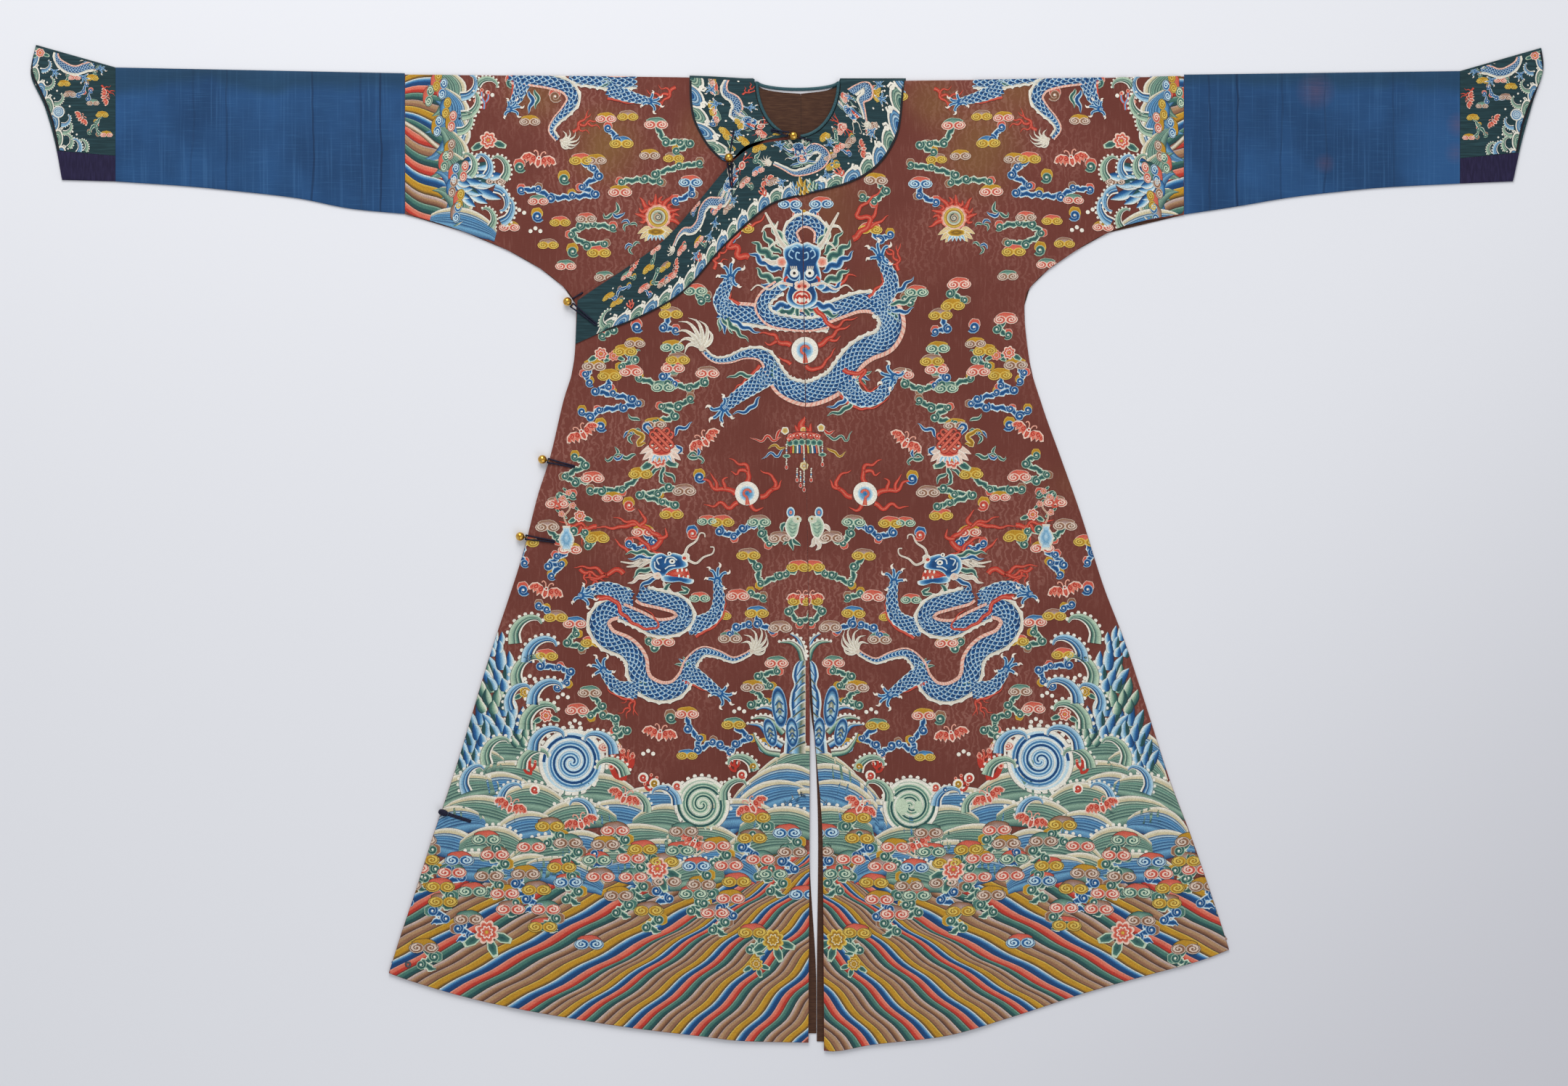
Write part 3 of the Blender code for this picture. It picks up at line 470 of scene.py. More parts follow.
def levelsBetween(start, end, step, *keys):
    stops = sorted({start, end, *keys}, reverse=True)
    rows = [np.linspace(a, b, max(1, round((a - b) / step)) + 1)[:-1] for a, b in zip(stops, stops[1:])]
    return np.append(np.concatenate(rows), end)


def node(nodes, kind, inputs=None, **settings):
    # adds a shader node, sets its properties, and sets or links its inputs
    made = nodes.new(kind)
    for key, value in settings.items():
        setattr(made, key, value)
    for key, value in (inputs or {}).items():
        if isinstance(value, bpy.types.NodeSocket):
            nodes.id_data.links.new(value, made.inputs[key])
        else:
            made.inputs[key].default_value = value
    return made


# Materials

silk = {
    "ground": "#733d34", "groundDark": "#64332b", "moire": "#a27468", "faded": "#7c5c31",
    "lining": "#40291f", "liningRib": "#523829", "teal": "#1e3338", "tealRib": "#2a454b", "blue": "#28507e",
    # the fourth colour on the next line darkens a band along the sleeves' folded tops
    "blueDark": "#1d3d63", "warp": "#3f6a97", "slub": "#3d6a97", "stain": "#1d3848", "reddish": "#6b4a52",
    # the first colour on the next line is painted shade, laid along the sleeves' creases
    "pressed": "#132440", "navy": "#211c36", "navyRib": "#2c2746", "binding": "#2a464d",
    "bindingRib": "#3d6067", "cord": "#171724", "cordRib": "#2b2c44", "brass": "#e6bd63",
    "brassDark": "#c08a2e", "steel": "#76767a", "steelDark": "#3c3c40",
}


def newMaterial(name, roughness, specular=0.5, sheen=0.0, metallic=0.0):
    material = bpy.data.materials.new(name)
    material.use_nodes = True
    nodes = material.node_tree.nodes
    shader = nodes["Principled BSDF"]
    inputs = {"Roughness": roughness, "Specular IOR Level": specular, "Sheen Weight": sheen,
        "Metallic": metallic}
    for key, value in inputs.items():
        shader.inputs[key].default_value = value
    return material, nodes, shader


def rgba(hexColour):
    return (*linear(hexColour), 1.0)


def linkTo(nodes, output, socket):
    nodes.id_data.links.new(output, socket)


def stretched(nodes, scale, kind="ShaderNodeTexNoise", **inputs):
    # a noise read in metres, stretched by scale, so that 1000 / scale is its size in mm
    place = node(nodes, "ShaderNodeTexCoord")
    mapped = node(nodes, "ShaderNodeMapping", {"Vector": place.outputs["Object"], "Scale": scale})
    return node(nodes, kind, {"Vector": mapped.outputs["Vector"], **inputs})


def mixColour(nodes, factor, first, second):
    return node(nodes, "ShaderNodeMix", {0: factor, 6: first, 7: second}, data_type="RGBA").outputs[2]


def ramp(nodes, factor, low, high):
    # 0 below low, 1 above high
    made = node(nodes, "ShaderNodeMapRange", {"Value": factor, "From Min": low, "From Max": high})
    made.interpolation_type = "SMOOTHSTEP"
    return made.outputs["Result"]


def maths(nodes, operation, *values):
    return node(nodes, "ShaderNodeMath", dict(enumerate(values)), operation=operation).outputs["Value"]


def times(nodes, first, second):
    return maths(nodes, "MULTIPLY", first, second)


def nearSpot(nodes, x, y, reach, kind):
    # 1 at a spot on the cloth, given in metres, and 0 from its reach outwards
    place = node(nodes, "ShaderNodeTexCoord")
    spot = {0: place.outputs["Object"], 1: (x, y, 0.003)}
    away = node(nodes, "ShaderNodeVectorMath", spot, operation="DISTANCE")
    inputs = {"Value": away.outputs["Value"], "From Min": reach, "From Max": 0.0}
    return node(nodes, "ShaderNodeMapRange", inputs, interpolation_type=kind).outputs["Result"]


def tinted(nodes, colour, noise, low, high, amount, name):
    # the colour mixed with the named one where the noise is over low, fully so over high, times the amount
    there = times(nodes, ramp(nodes, noise.outputs["Fac"], low, high), amount)
    return mixColour(nodes, there, colour, rgba(silk[name]))


def addBump(nodes, shader, height, distance, strength=1.0):
    bump = node(nodes, "ShaderNodeBump", {"Height": height, "Distance": distance, "Strength": strength})
    linkTo(nodes, bump.outputs["Normal"], shader.inputs["Normal"])


def makeGroundSilk():
    # maroon silk tabby, hand woven and watered: faint wavy pale bars (moire), a thread every 0.4 mm drawn at
    # 2 mm so that it shows, and places where the dye has gone golden with wear
    material, nodes, shader = newMaterial("maroonTabbySilk", 0.6, 0.12, 0.05)
    broad = stretched(nodes, (5, 5, 5), **{"Detail": 3.0, "Scale": 1.0})
    bars = stretched(
        nodes, (1, 1, 1), "ShaderNodeTexWave",
        **{"Scale": 34.0, "Distortion": 13.0, "Detail": 3.0, "Detail Scale": 1.5, "Detail Roughness": 0.65},
    )
    slub = stretched(nodes, (420, 36, 1), **{"Scale": 1.0, "Detail": 2.0})
    thread = stretched(nodes, (110, 520, 1), **{"Scale": 1.0, "Detail": 1.0})
    ground = tinted(nodes, rgba(silk["groundDark"]), broad, 0.3, 0.75, 1.0, "ground")
    patchy = ramp(nodes, broad.outputs["Fac"], 0.4, 0.64)
    watered = times(nodes, times(nodes, ramp(nodes, bars.outputs["Fac"], 0.6, 0.95), patchy), 0.34)
    ground = mixColour(nodes, watered, ground, rgba(silk["moire"]))
    ground = tinted(nodes, ground, slub, 0.55, 0.8, 0.22, "moire")
    for x, y, reach, amount in wornPlaces:
        near = nearSpot(nodes, x, y, reach, "SMOOTHSTEP")
        worn = times(nodes, times(nodes, near, ramp(nodes, broad.outputs["Fac"], 0.25, 0.7)), amount)
        ground = mixColour(nodes, worn, ground, rgba(silk["faded"]))
    linkTo(nodes, ground, shader.inputs["Base Color"])
    addBump(nodes, shader, thread.outputs["Fac"], 0.0004, 0.35)
    return material


# Worn golden places: x, y and reach in metres, amount.
wornPlaces = [
    (-0.257, 0.571, 0.075, 0.75), (0.273, 0.561, 0.09, 0.7), (0.067, 0.478, 0.07, 0.6),
    (-0.12, 0.60, 0.05, 0.5), (0.20, 0.63, 0.06, 0.6), (0.33, 0.66, 0.07, 0.5), (-0.36, 0.64, 0.06, 0.5),
    (0.12, 0.36, 0.05, 0.4), (-0.30, 0.02, 0.05, 0.3), (0.40, 0.10, 0.05, 0.3),
]


def makePlainSilk(name, base, rib, roughness, ribScale, amount):
    # a plain weave silk with a rib: one colour between the ribs, a paler one on them
    material, nodes, shader = newMaterial(name, roughness, 0.12)
    ribs = stretched(nodes, ribScale, **{"Scale": 1.0, "Detail": 2.0})
    broad = stretched(nodes, (7, 7, 7), **{"Scale": 1.0, "Detail": 3.0})
    colour = mixColour(nodes, ramp(nodes, ribs.outputs["Fac"], 0.35, 0.75), rgba(base), rgba(rib))
    colour = mixColour(nodes, times(nodes, ramp(nodes, broad.outputs["Fac"], 0.35, 0.75), amount),
        colour, rgba(base))
    linkTo(nodes, colour, shader.inputs["Base Color"])
    addBump(nodes, shader, ribs.outputs["Fac"], 0.0004, 0.4)
    return material


def makeBlueSilk():
    # indigo slub silk, hand reeled: thick and thin threads along the sleeve drawn at 1.5 mm, paler warp
    # streaks across it, a darker band along the folded top, reddish wear on the right sleeve, and painted
    # shade: dark lines along the sleeve's creases
    material, nodes, shader = newMaterial("indigoSlubSilk", 0.6, 0.12, 0.04)
    slub = stretched(nodes, (22, 640, 1), **{"Scale": 1.0, "Detail": 2.0, "Roughness": 0.6})
    streak = stretched(nodes, (260, 5, 1), **{"Scale": 1.0, "Detail": 3.0, "Roughness": 0.65})
    broad = stretched(nodes, (9, 6, 1), **{"Scale": 1.0, "Detail": 3.0})
    colour = tinted(nodes, rgba(silk["blueDark"]), broad, 0.3, 0.7, 1.0, "blue")
    colour = tinted(nodes, colour, streak, 0.5, 0.72, 0.35, "warp")
    colour = tinted(nodes, colour, slub, 0.52, 0.75, 0.25, "slub")
    place = node(nodes, "ShaderNodeTexCoord")
    axes = node(nodes, "ShaderNodeSeparateXYZ", {"Vector": place.outputs["Object"]})
    # darker along the sleeve's folded top, in a band with an uneven lower edge
    uneven = maths(nodes, "MULTIPLY_ADD", broad.outputs["Fac"], 0.09, axes.outputs["Y"])
    stain = ramp(nodes, uneven, 0.685, 0.712)
    colour = mixColour(nodes, times(nodes, stain, 0.62), colour, rgba(silk["stain"]))
    for x, y, reach, amount in sleeveWear:
        near = nearSpot(nodes, x, y, reach, "LINEAR")
        worn = times(nodes, times(nodes, near, slub.outputs["Fac"]), amount)
        colour = mixColour(nodes, worn, colour, rgba(silk["reddish"]))
    # painted shade: a dark line across the sleeve along each of its creases, which wavers a little with the noise
    wander = maths(nodes, "MULTIPLY_ADD", broad.outputs["Fac"], 0.022, axes.outputs["X"])
    for at, amount in creaseShadeLines:
        pressed = times(nodes, maths(nodes, "COMPARE", wander, at + 0.011, 0.0014), amount)
        colour = mixColour(nodes, pressed, colour, rgba(silk["pressed"]))
    linkTo(nodes, colour, shader.inputs["Base Color"])
    addBump(nodes, shader, slub.outputs["Fac"], 0.0005, 0.45)
    return material


# Painted shade along the sleeves' creases: dark lines across the sleeves, x in metres, amount.
creaseShadeLines = [
    (-0.796, 0.35), (-0.674, 0.5), (-0.606, 0.3), (-0.578, 0.6), (-0.845, 0.2), (0.596, 0.4), (0.636, 0.6),
    (0.70, 0.3), (0.761, 0.35), (0.858, 0.25),
]
# Reddish wear: x, y and reach in metres, amount.
sleeveWear = [
    (0.749, 0.648, 0.03, 0.6), (0.762, 0.545, 0.016, 0.5), (0.952, 0.60, 0.02, 0.6),
    (0.948, 0.56, 0.018, 0.4),
]


def makeFloss():
    # dyed silk floss laid in satin stitch: the attribute holds each stitch's colour, a grain of 1.4 mm
    # stands for bundles of thread, and a low roughness with a little sheen gives the soft shine
    material, nodes, shader = newMaterial("dyedSilkFloss", 0.5, 0.2, 0.04)
    thread = node(nodes, "ShaderNodeAttribute", attribute_name="thread")
    grain = stretched(nodes, (700, 520, 1), **{"Scale": 1.0, "Detail": 1.5})
    slow = stretched(nodes, (60, 60, 1), **{"Scale": 1.0, "Detail": 2.0})
    spans = []
    for noise, low, high, dark, bright in ((grain, 0.25, 0.75, 0.72, 1.2), (slow, 0.3, 0.7, 0.9, 1.06)):
        span = {"Value": noise.outputs["Fac"], "From Min": low, "From Max": high, "To Min": dark,
            "To Max": bright}
        spans.append(node(nodes, "ShaderNodeMapRange", span).outputs["Result"])
    toned = node(nodes, "ShaderNodeVectorMath", {0: thread.outputs["Color"]}, operation="SCALE")
    linkTo(nodes, times(nodes, *spans), toned.inputs["Scale"])
    linkTo(nodes, toned.outputs["Vector"], shader.inputs["Base Color"])
    addBump(nodes, shader, grain.outputs["Fac"], 0.0005, 0.5)
    return material


def makeBrass():
    # cast and polished brass, worn by fingers: a warm gold mirror with small dents
    material, nodes, shader = newMaterial("castBrass", 0.22, metallic=1.0)
    dents = stretched(nodes, (260, 260, 260), **{"Scale": 1.0, "Detail": 2.0})
    colour = mixColour(nodes, ramp(nodes, dents.outputs["Fac"], 0.35, 0.7), rgba(silk["brassDark"]),
        rgba(silk["brass"]))
    linkTo(nodes, colour, shader.inputs["Base Color"])
    addBump(nodes, shader, dents.outputs["Fac"], 0.0004, 0.3)
    return material


def makeSteel():
    # nickelled steel, pressed and dulled
    material, nodes, shader = newMaterial("dulledSteel", 0.42, metallic=1.0)
    spots = stretched(nodes, (500, 500, 500), **{"Scale": 1.0, "Detail": 2.0})
    linkTo(nodes, mixColour(nodes, spots.outputs["Fac"], rgba(silk["steelDark"]), rgba(silk["steel"])),
        shader.inputs["Base Color"])
    return material


groundSilk = makeGroundSilk()
liningSilk = makePlainSilk("brownLiningSilk", silk["lining"], silk["liningRib"], 0.6, (60, 500, 1), 0.5)
tealSilk = makePlainSilk("tealRibbedSilk", silk["teal"], silk["tealRib"], 0.62, (30, 420, 1), 0.5)
navySilk = makePlainSilk("navySilk", silk["navy"], silk["navyRib"], 0.6, (420, 60, 1), 0.5)
bindingSilk = makePlainSilk("bindingSatin", silk["binding"], silk["bindingRib"], 0.42, (700, 700, 700), 0.4)
cordSilk = makePlainSilk("braidedCord", silk["cord"], silk["cordRib"], 0.6, (900, 900, 900), 0.3)
blueSilk = makeBlueSilk()
floss = makeFloss()
brass = makeBrass()
steel = makeSteel()
print("materials made")


# The silk of the robe

fineRow, backRow = 11.0, 26.0  # row spacing of the front and of the back
edgeTurns = [65, 40, 15, -15, -40, -65]  # rows round a fold over the shoulder, in degrees
foldTurns = [60, 30, 0, -30, -60]  # and round a fold along a sleeve


def foldedWidth(name, front, back, top, nodes):
    # front hem to shoulder, round the fold, shoulder to back hem; the outer face first
    (frontX, frontY), (backX, backY) = front, back
    high = top(frontX, frontY)
    outer, inner = [stack(frontX, frontY, high)[::-1]], [stack(frontX, frontY, high - robe["wall"])[::-1]]
    low = robe["underside"]
    thick = robe["wall"] - low
    middleZ, away = (high[0] + low) / 2, (high[0] - low) / 2
    edge = frontY[0] - 0.6
    for angle in np.radians(edgeTurns):
        for points, far in ((outer, away), (inner, away - thick)):
            points.append(stack(frontX[0], edge + far * np.cos(angle), middleZ + far * np.sin(angle))[None])
    outer.append(stack(backX, backY, low + 0 * backX))
    inner.append(stack(backX, backY, robe["wall"] + 0 * backX))
    shell = clothShell(name, np.concatenate(outer), np.concatenate(inner), groundSilk, "maroon_silk", nodes)
    lineInside(shell, np.concatenate(outer).shape[:2])
    return shell


def lineInside(shell, shape):
    # the inner grid's faces come second and take the lining
    faces = (shape[0] - 1) * (shape[1] - 1)
    shell.data.materials.append(liningSilk)
    index = np.zeros(len(shell.data.polygons), np.int32)
    index[faces : 2 * faces] = 1
    shell.data.polygons.foreach_set("material_index", index)


# Rows of y where the neck's curve turns quickly.
neckRows = (656, 648, 640, 633, 625, 617, 610, 603, 597, 592, 588, 584, 581, 579)
backNeckRows = (656, 654.5, 653, 651.5, 650, 648.5, 647, 645.7, 644.5, 643.2, 642)


def makeLeftWidth():
    rows = levelsBetween(neck["y"] - 2.5, robe["lowestHem"], fineRow, *neckRows, 473.4, 473.3)
    behind = levelsBetween(neck["y"] - 2.5, robe["lowestHem"], backRow, *backNeckRows, 473.4, 473.3)
    frontInner = lambda y: np.minimum(neckEdge(y, neck["frontDepth"], -1), 10.0)
    backInner = lambda y: np.minimum(neckEdge(y, neck["backDepth"], -1), slitEdge(backSlit, y, -1))
    front = rowPoints(rows, 44, leftEdge, frontInner, leftHem)
    back = rowPoints(behind, 44, leftEdge, backInner, raisedHem(leftHem))
    return foldedWidth("leftWidth", front, back, leftFrontTop, ["left_width_inner_front_and_back"])


def makeRightWidth():
    rows = levelsBetween(neck["y"] - 3.0, robe["lowestHem"], fineRow, *neckRows, 472.4, 472.3)
    behind = levelsBetween(neck["y"] - 3.0, robe["lowestHem"], backRow, *backNeckRows, 472.4, 472.3)
    frontInner = lambda y: np.maximum(neckEdge(y, neck["frontDepth"], 1), slitEdge(frontSlit, y, 1))
    backInner = lambda y: np.maximum(neckEdge(y, neck["backDepth"], 1), slitEdge(backSlit, y, 1))
    front = rowPoints(rows, 46, frontInner, rightEdge, rightHem)
    back = rowPoints(behind, 46, backInner, rightEdge, raisedHem(rightHem))
    return foldedWidth("rightWidth", front, back, rightFrontTop, ["right_width_front_and_back"])


def makeWrap():
    keys = (578, 574, 570, 566, 560, 555, 550.5, 546, 542.3)
    rows = levelsBetween(overlap[0][0] - robe["gap"], robe["lowestHem"], fineRow, *keys, 350.7)
    slit = lambda level: slitEdge(frontSlit, level, -1)
    x, y = rowPoints(rows, 46, wrapEdge, slit, leftHem, nearTop=False)
    high = wrapTop(x, y)
    outer, inner = stack(x, y, high), stack(x, y, high - robe["wall"])
    wrap = clothShell("outerFront", outer, inner, groundSilk, "maroon_silk", ["outer_front"])
    lineInside(wrap, x.shape)
    return wrap


def bandEdges(sections, at):
    # both edges of a collar piece at shares of the way along it
    table = np.array(sections, float)
    step = np.hypot(*np.diff(table[:, :2] + table[:, 2:], axis=0).T)
    place = np.concatenate([[0], np.cumsum(step)])
    return [read(list(zip(place / place[-1], table[:, k])), at) for k in range(4)]


def bandPlane(sections):
    # a map from (share along, share across) of a collar piece to x, y
    def put(points):
        innerX, innerY, outerX, outerY = bandEdges(sections, points[..., 0])
        across = points[..., 1]
        x, y = innerX * (1 - across) + outerX * across, innerY * (1 - across) + outerY * across
        return np.stack([x, y], -1)

    return put


def makeCollarPiece(name, sections, pieces, top, nodes):
    share = np.stack(np.meshgrid(np.linspace(0, 1, pieces + 1), np.linspace(0, 1, 13), indexing="ij"), -1)
    x, y = np.moveaxis(bandPlane(sections)(share), -1, 0)
    high = top(x, y)
    low = high - robe["wall"]
    fold = shoulder(x[0]) - (low[0] - robe["gap"]) / 2
    outer, inner = [stack(x, y, high)], [stack(x, y, low)]
    outer[0][0, :, 1] = inner[0][0, :, 1] = fold
    middleZ = high[0] / 2
    for angle in np.radians(edgeTurns[:3]):
        for points, away in ((outer, high[0] - middleZ), (inner, low[0] - middleZ)):
            points.insert(0, stack(x[0], fold + away * np.cos(angle), middleZ + away * np.sin(angle))[None])
    return clothShell(name, np.concatenate(outer), np.concatenate(inner), tealSilk, "teal_silk", nodes)


def flatTube(name, side, shares, stations, shape, loft, material, slot, nodes, ends):
    # a folded sleeve or cuff: front from the seam line to the end line and from underside to top, half
    # rounds at the folds, and the back; only its upper or lower part where a cuff has a strip
    cut = sleeves[side]
    station, share = np.asarray(stations)[:, None], np.asarray(shares)[None, :]
    start, end, top, under = ends
    x = start + (end(share) - start) * station
    y = read(cut[under], x) * (1 - share) + read(cut[top], x) * share
    lowFront = robe["innerFront"] + loft(x, share, station)
    back, thick = robe["underside"], robe["wall"] - robe["underside"]
    front = [stack(x, y, lowFront + robe["wall"]), stack(x, y, lowFront)]
    behind = [stack(x, y, back), stack(x, y, back + thick)]
    radius = (robe["innerFront"] + robe["wall"] - back) / 2
    for sheet in front + behind:
        if shape != "under":
            sheet[:, -1, 1] -= radius
        if shape != "top":
            sheet[:, 0, 1] += radius

    def fold(column, outward, degrees, away):
        base = front[1][:, column]
        turns = [(away * np.cos(t), away * np.sin(t)) for t in np.radians(degrees)]
        rows = [stack(base[:, 0], base[:, 1] + outward * c, back + radius + s) for c, s in turns]
        return np.stack(rows, 1)

    rings = []
    for face, away in ((0, radius), (1, radius - thick)):
        parts = [front[face]]
        if shape != "under":
            parts += [fold(-1, 1, foldTurns, away), behind[face][:, ::-1]]
        if shape == "whole":
            parts.append(fold(0, -1, foldTurns[::-1], away))
        if shape == "under":
            parts = [behind[face][:, ::-1], fold(0, -1, foldTurns[::-1], away), front[face]]
        rings.append(np.concatenate(parts, 1).transpose(1, 0, 2))
    return clothShell(name, rings[0], rings[1], material, slot, nodes, wrapRows=shape == "whole")


def makeSleeve(side):
    cut = sleeves[side]
    inward = np.sign(cut["seam"])
    seam, cuff = cut["seam"] + inward * robe["gap"] / 2, cut["cuff"] - inward * robe["gap"] / 2
    pressed = [row for row in sleeveCreases if row[0] * inward > 0]

    def loft(x, share, station):
        down = sum(deep * np.exp(-(((x - at + 6 * np.sin(3.1 * share + at)) / w) ** 2))
            for at, deep, w in pressed)
        swell = (4 * share * (1 - share)) ** 0.6 * ease(np.minimum(station, 1 - station), 0.0, 0.06)
        drawn = 0.18 * np.sin(x / 7 + 2 * np.sin(x / 37)) * ease(share, 0.22, 0.0) * ease(share, 0.0, 0.05)
        return np.clip(sleeveLoft - 0.25 - down, 0.05, None) * swell + np.clip(drawn, 0, None)

    ends = (seam, lambda share: cuff + 0 * share, "top", "under")
    across, along = np.linspace(0, 1, 25), np.linspace(0, 1, 96)
    names = (blueSilk, "blue_silk", [f"sleeve_{side}"])
    return flatTube(f"{side}Sleeve", side, across, along, "whole", loft, *names, ends)


def makeCuff(side):
    cut = sleeves[side]
    start = cut["cuff"] + np.sign(cut["cuff"]) * robe["gap"] / 2
    halfGap = robe["gap"] / 2 / (read(cut["cuffTop"], start) - read(cut["cuffUnder"], start))
    ends = (start, lambda share: read(cut["cuffEnd"], share), "cuffTop", "cuffUnder")
    flat = lambda x, share, station: 0 * (x + station)
    stations = np.linspace(0, 1, 13)
    above, below = np.linspace(cuffStripShare + halfGap, 1, 25), np.linspace(0, cuffStripShare - halfGap, 8)
    made = []
    for title, shares, shape, material, slot, solid in (
        (f"{side}Cuff", above, "top", tealSilk, "teal_silk", f"cuff_{side}"),
        (f"{side}CuffStrip", below, "under", navySilk, "navy_silk", f"cuff_strip_{side}"),
    ):
        made.append(flatTube(title, side, shares, stations, shape, flat, material, slot, [solid], ends))
    return made


leftWidth, rightWidth, outerFront = makeLeftWidth(), makeRightWidth(), makeWrap()
collar = [
    makeCollarPiece("collarBand", collarBand[::-1], 150, collarTop, ["collar_band"]),
    makeCollarPiece("collarLeft", collarLeft, 60, collarLeftTop, ["collar_left"]),
]
leftSleeve, rightSleeve = makeSleeve("left"), makeSleeve("right")
leftCuff, leftStrip = makeCuff("left")
rightCuff, rightStrip = makeCuff("right")
print("silk laid")


# Embroidery: patches of floss drawn flat, then laid on the silk
# Places on the body are u, y in mm, where u is the distance out from the middle line, so that one
# drawing serves both halves. A collar's or a cuff's places are mm along it and across it.

dyes = {
    "cream": "#cfc8b6", "white": "#e2ddd0", "aged": "#c4b997", "black": "#1b1a20", "line": "#2b2627",
    "red": "#b23427", "brick": "#c25443", "coral": "#cf6a55", "rose": "#d99a86", "blush": "#e2c3b2",
    "gold": "#b48522", "amber": "#7c5a1e", "straw": "#d0b254", "moss": "#5d6a50", "navy": "#143e6c",
    "deep": "#0f3461", "blue": "#1f5a90", "sky": "#6a9dbd", "ice": "#b6d0da", "pine": "#22494a",
    "green": "#426f64", "sage": "#86a590", "mint": "#b9cab0", "tan": "#a5825f", "taupe": "#8a6148",
    "mauve": "#6b4733", "lilac": "#ad9590", "shell": "#cdb9a9",
}
dye = {name: linear(value) for name, value in dyes.items()}
# Shades of one hue, from its pale edge to its dark core.
hues = {
    "blue": ("ice", "sky", "blue", "navy"), "green": ("mint", "sage", "green", "pine"),
    "gold": ("straw", "gold", "gold", "amber"), "pink": ("blush", "coral", "brick", "red"),
    "lilac": ("shell", "lilac", "taupe", "mauve"), "red": ("rose", "coral", "red", "red"),
    "cream": ("white", "cream", "shell", "taupe"), "scale": ("ice", "sky", "blue", "deep"),
}
accents = ("gold", "pink", "lilac")  # second colours of the clouds
hoop = []  # the patches of the drawing in hand


def smoothPath(points, count):
    # Catmull-Rom curve through the points, read at even steps of its length
    points = np.asarray(points, float)
    padded = np.concatenate([2 * points[:1] - points[1:2], points, 2 * points[-1:] - points[-2:-1]])
    t = np.linspace(0, 1, 12, endpoint=False)[None, :, None]
    a, b, c, d = (padded[k : len(padded) - 3 + k][:, None] for k in range(4))
    curve = 0.5 * (2 * b + (c - a) * t + (2 * a - 5 * b + 4 * c - d) * t**2 + (3 * b - a - 3 * c + d) * t**3)
    curve = np.concatenate([curve.reshape(-1, points.shape[1]), points[-1:]])
    length = np.concatenate([[0], np.cumsum(np.linalg.norm(np.diff(curve, axis=0), axis=1))])
    return np.stack([np.interp(np.linspace(0, length[-1], count), length, column) for column in curve.T], -1)


def even(points, step):
    # the smooth curve through the points, read about every step mm; coarser when the detail is low
    length = np.hypot(*np.diff(np.asarray(points, float), axis=0).T).sum()
    return smoothPath(points, max(4, int(length * 1.08 * robe["detail"] / step)))


def dyesOf(names):
    return np.array([dye[name] for name in names.split()])


def sew(grid, shade, layer, closed=False):
    # a grid of points (rows, columns, 2) with dyes (rows or 1, columns or 1, 3); closed joins its columns;
    # the layer may be one number or one for each point; at a low detail every second column is left out
    shade = np.broadcast_to(shade, (*grid.shape[:2], 3))
    layer = np.broadcast_to(np.asarray(layer, float), grid.shape[:2])
    if closed:
        grid, shade, layer = (np.concatenate([a, a[:, :1]], 1) for a in (grid, shade, layer))
    elif robe["detail"] < 0.6 and grid.shape[1] > 4:
        kept = np.append(np.arange(0, grid.shape[1] - 1, 2), grid.shape[1] - 1)
        shade = np.concatenate([shade[:, 1:2], shade[:, 1:-1], shade[:, -2:-1]], 1)
        grid, shade, layer = grid[:, kept], shade[:, kept], layer[:, kept]
    rows, columns = grid.shape[:2]
    number = np.arange(rows * columns).reshape(rows, columns)
    a, b, c, d = (n.ravel() for n in (number[:-1, :-1], number[:-1, 1:], number[1:, 1:], number[1:, :-1]))
    triangles = np.concatenate([np.stack([a, b, c], -1), np.stack([a, c, d], -1)])
    hoop.append((grid.reshape(-1, 2), triangles, shade.reshape(-1, 3), layer.ravel()))


def placed(u, y, size=1.0, turn=0.0, flip=1):
    # local x, y times size, mirrored by flip, turned by degrees and moved to u, y
    c, s = size * np.cos(np.radians(turn)), size * np.sin(np.radians(turn))

    def put(points):
        points = np.asarray(points, float)
        x, z = points[..., 0] * flip, points[..., 1]
        return np.stack([u + c * x - s * z, y + s * x + c * z], -1)

    return put


def normals(path):
    ahead = np.gradient(path, axis=0)
    return np.stack([-ahead[:, 1], ahead[:, 0]], -1) / np.maximum(np.hypot(*ahead.T), 1e-9)[:, None]


def ribbon(path, half, colours, layer, across=None):
    # a strip along a path: path + across * half width * normal, with a dye for each place across
    path, shade = np.asarray(path, float), dyesOf(colours)
    across = np.linspace(-1, 1, len(shade)) if across is None else np.asarray(across)
    half = np.broadcast_to(half, len(path))
    layer = np.broadcast_to(layer, len(path))[:, None]
    sew(path[:, None] + across[None, :, None] * half[:, None, None] * normals(path)[:, None],
        shade[None], layer)


def lobes(steps, count=0, depth=0.0, height=1.0):
    # a scalloped outline: radius = 1 - depth + depth * |sin(count * angle / 2)|, squashed by height
    angle = np.linspace(0, 2 * np.pi, max(6, int(steps * robe["detail"])), endpoint=False)
    radius = 1 - depth + depth * np.abs(np.sin(count * angle / 2))
    return np.stack([radius * np.cos(angle), radius * np.sin(angle) * height], -1)


def disc(put, outline, rings, colours, layer, at=(0, 0)):
    # rings of the outline shrunk towards its middle, a dye for each ring
    grid = np.asarray(rings)[:, None, None] * outline[None] + np.asarray(at, float)
    sew(put(grid), dyesOf(colours)[:, None], layer, closed=True)


def dot(u, y, radius, colour, layer, steps=7):
    disc(placed(u, y, radius), lobes(steps), (1, 0), f"{colour} {colour}", layer)


